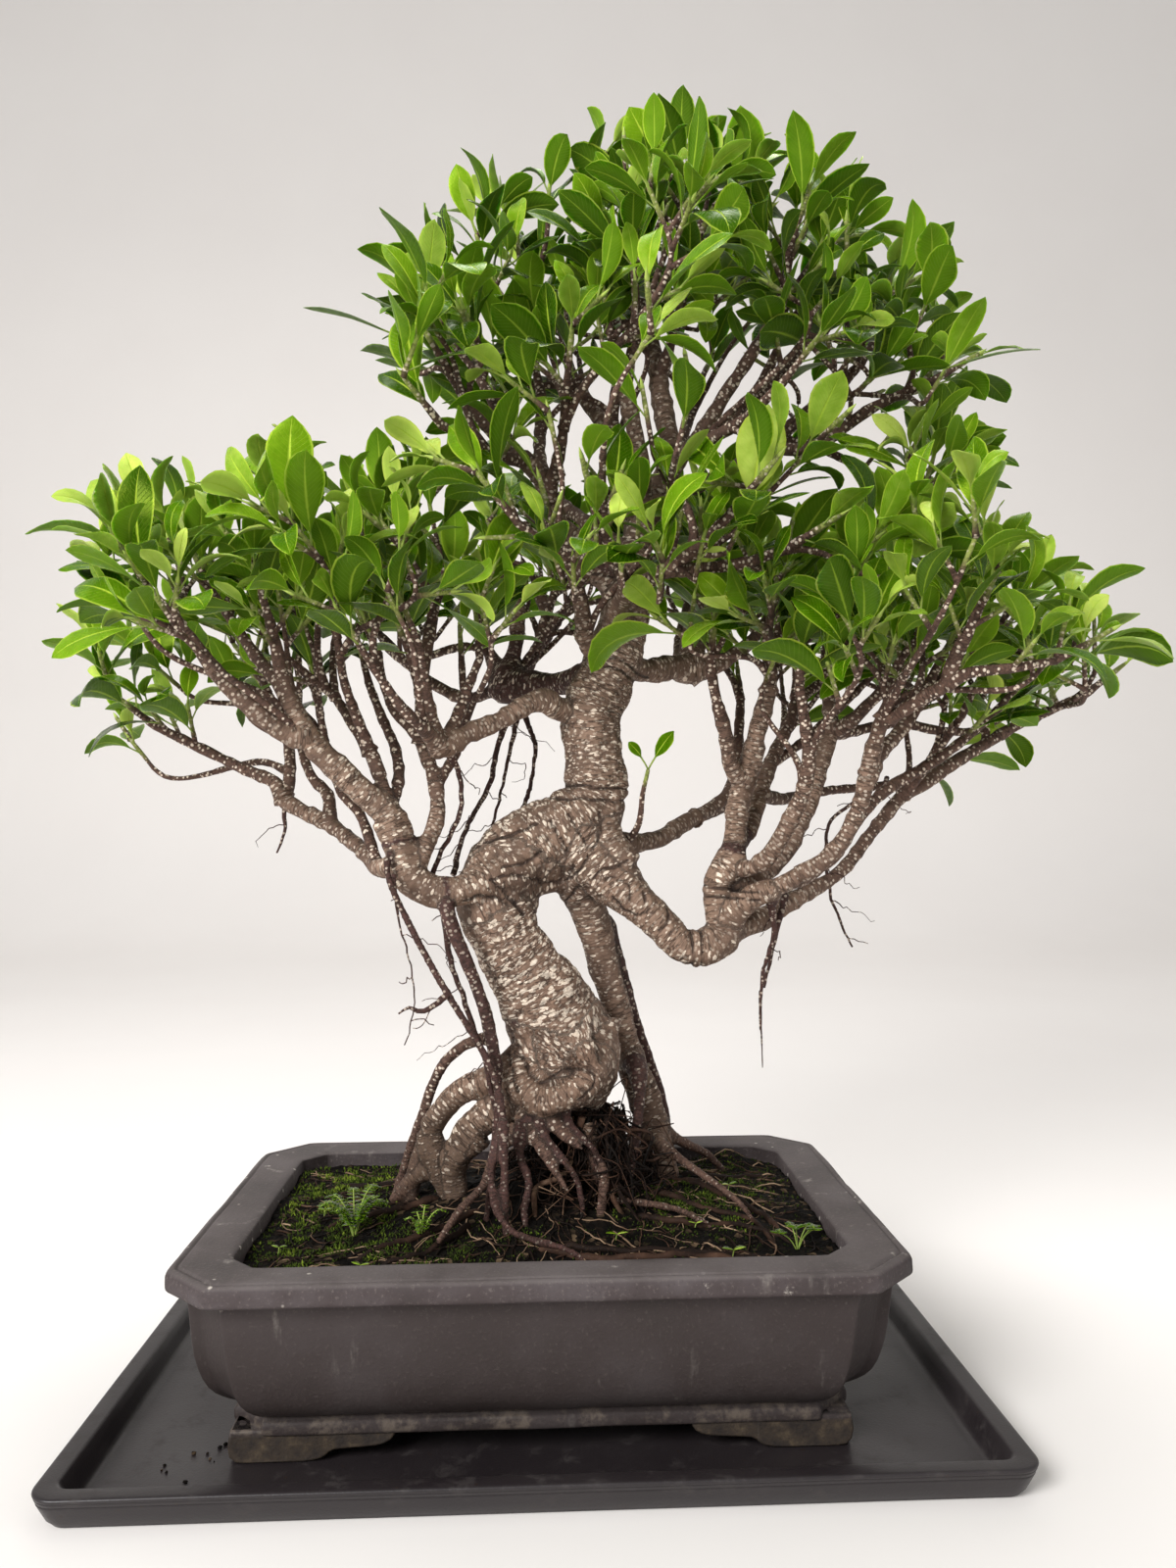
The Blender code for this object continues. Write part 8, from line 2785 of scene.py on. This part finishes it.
def make_camera():
    """The photo's camera."""
    camera = bpy.data.cameras.new("camera")
    camera.sensor_width = SENSOR
    camera.lens = FOCAL_PIXELS / FRAME_HEIGHT * SENSOR
    item = placed("camera", camera)
    right, up, roll = [math.radians(angle) for angle in CAMERA_TURNS]
    item.matrix_world = (Matrix.Translation(CAMERA_PLACE) @ Matrix.Rotation(-right, 4, "Z")
                         @ Matrix.Rotation(math.pi / 2 + up, 4, "X") @ Matrix.Rotation(-roll, 4, "Z"))
    bpy.context.scene.camera = item


def make_lights():
    """Soft light from the upper left front, a weaker fill from the right, and an even sky."""
    for name, place, size, power in LIGHTS:
        light = bpy.data.lights.new(name, "AREA")
        light.shape = "DISK"
        light.size = size
        light.energy = power
        item = placed(name, light)
        item.location = place
        item.rotation_euler = (Vector(LIGHT_AIM) - Vector(place)).to_track_quat("-Z", "Y").to_euler()
    world = bpy.data.worlds.new("sky")
    world.use_nodes = True
    back = world.node_tree.nodes["Background"]
    back.inputs["Color"].default_value = (1.0, 1.0, 1.0, 1.0)
    back.inputs["Strength"].default_value = SKY_STRENGTH
    bpy.context.scene.world = world
    bpy.context.scene.view_settings.view_transform = "Standard"


def show(piece, slot, *nodes):
    """A finished piece: it rides on the one body and stands for CAD nodes, which it hides. The slot is not
    used.
    """
    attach(piece, "root")
    if nodes:
        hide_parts(*nodes)


def show_pot(clay, earth, root, leaf):
    """Tray and pot, the soil and what lies or grows on it."""
    show(make_tray(plastic_look()), "tray_plastic", "tray")
    show(make_pot(clay), "clay", "pot")
    show(make_feet(clay), "clay")
    show(make_soil(earth), "soil", "soil")
    show(make_moss(moss_look()), "soil")
    show(make_rootlets(root), "bark")
    show(make_root_mass(root), "bark")
    show(make_crumbs(earth), "soil")
    show(make_fern("fern_left", *WEEDS["seedling_left"], leaf, 3), "leaf", "seedling_left")
    show(make_fern("fern_middle", *WEEDS["seedling_middle"], leaf, 5), "leaf", "seedling_middle")
    show(make_clover("clover_right", *WEEDS["seedling_right"], leaf, 7), "leaf", "seedling_right")
    show(make_lone_leaves(leaf), "leaf")


def show_tree(bark, leaf):
    """Wood, strands and sprout, and the twigs and leaves of each spray."""
    tree = grow_tree()
    wood, sprays = make_wood(tree, bark)
    show(wood, "bark", "wood")
    show(make_strands(bark), "bark")
    for piece, slot in zip(make_sprout(bark, leaf), ("bark", "leaf")):
        show(piece, slot)
    own_tips = (len(tree.tips), tube_tree(tree))
    add_long_shoots(tree, sprays)
    add_side_shoots(tree, sprays)
    frames = place_leaves(tree, blade_template(), own_tips)
    for number, (runs, tips) in enumerate(sprays):
        name = "spray_%02d" % (number + 1)
        show(make_twigs("twigs_" + name[6:], runs, tips, tree, bark), "bark", name)
        leaves = make_leaves("leaves_" + name[6:], tips, frames, tree, leaf)
        if leaves:
            show(leaves, "leaf", name)
    show(make_show_leaves(leaf), "leaf")


def main():
    """Build the stage and all pieces."""
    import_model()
    make_camera()
    make_lights()
    make_stage()
    clay, bark, leaf, earth, root = clay_look(), bark_look(), leaf_look(), soil_look(), root_look()
    show_pot(clay, earth, root, leaf)
    show_tree(bark, leaf)


main()
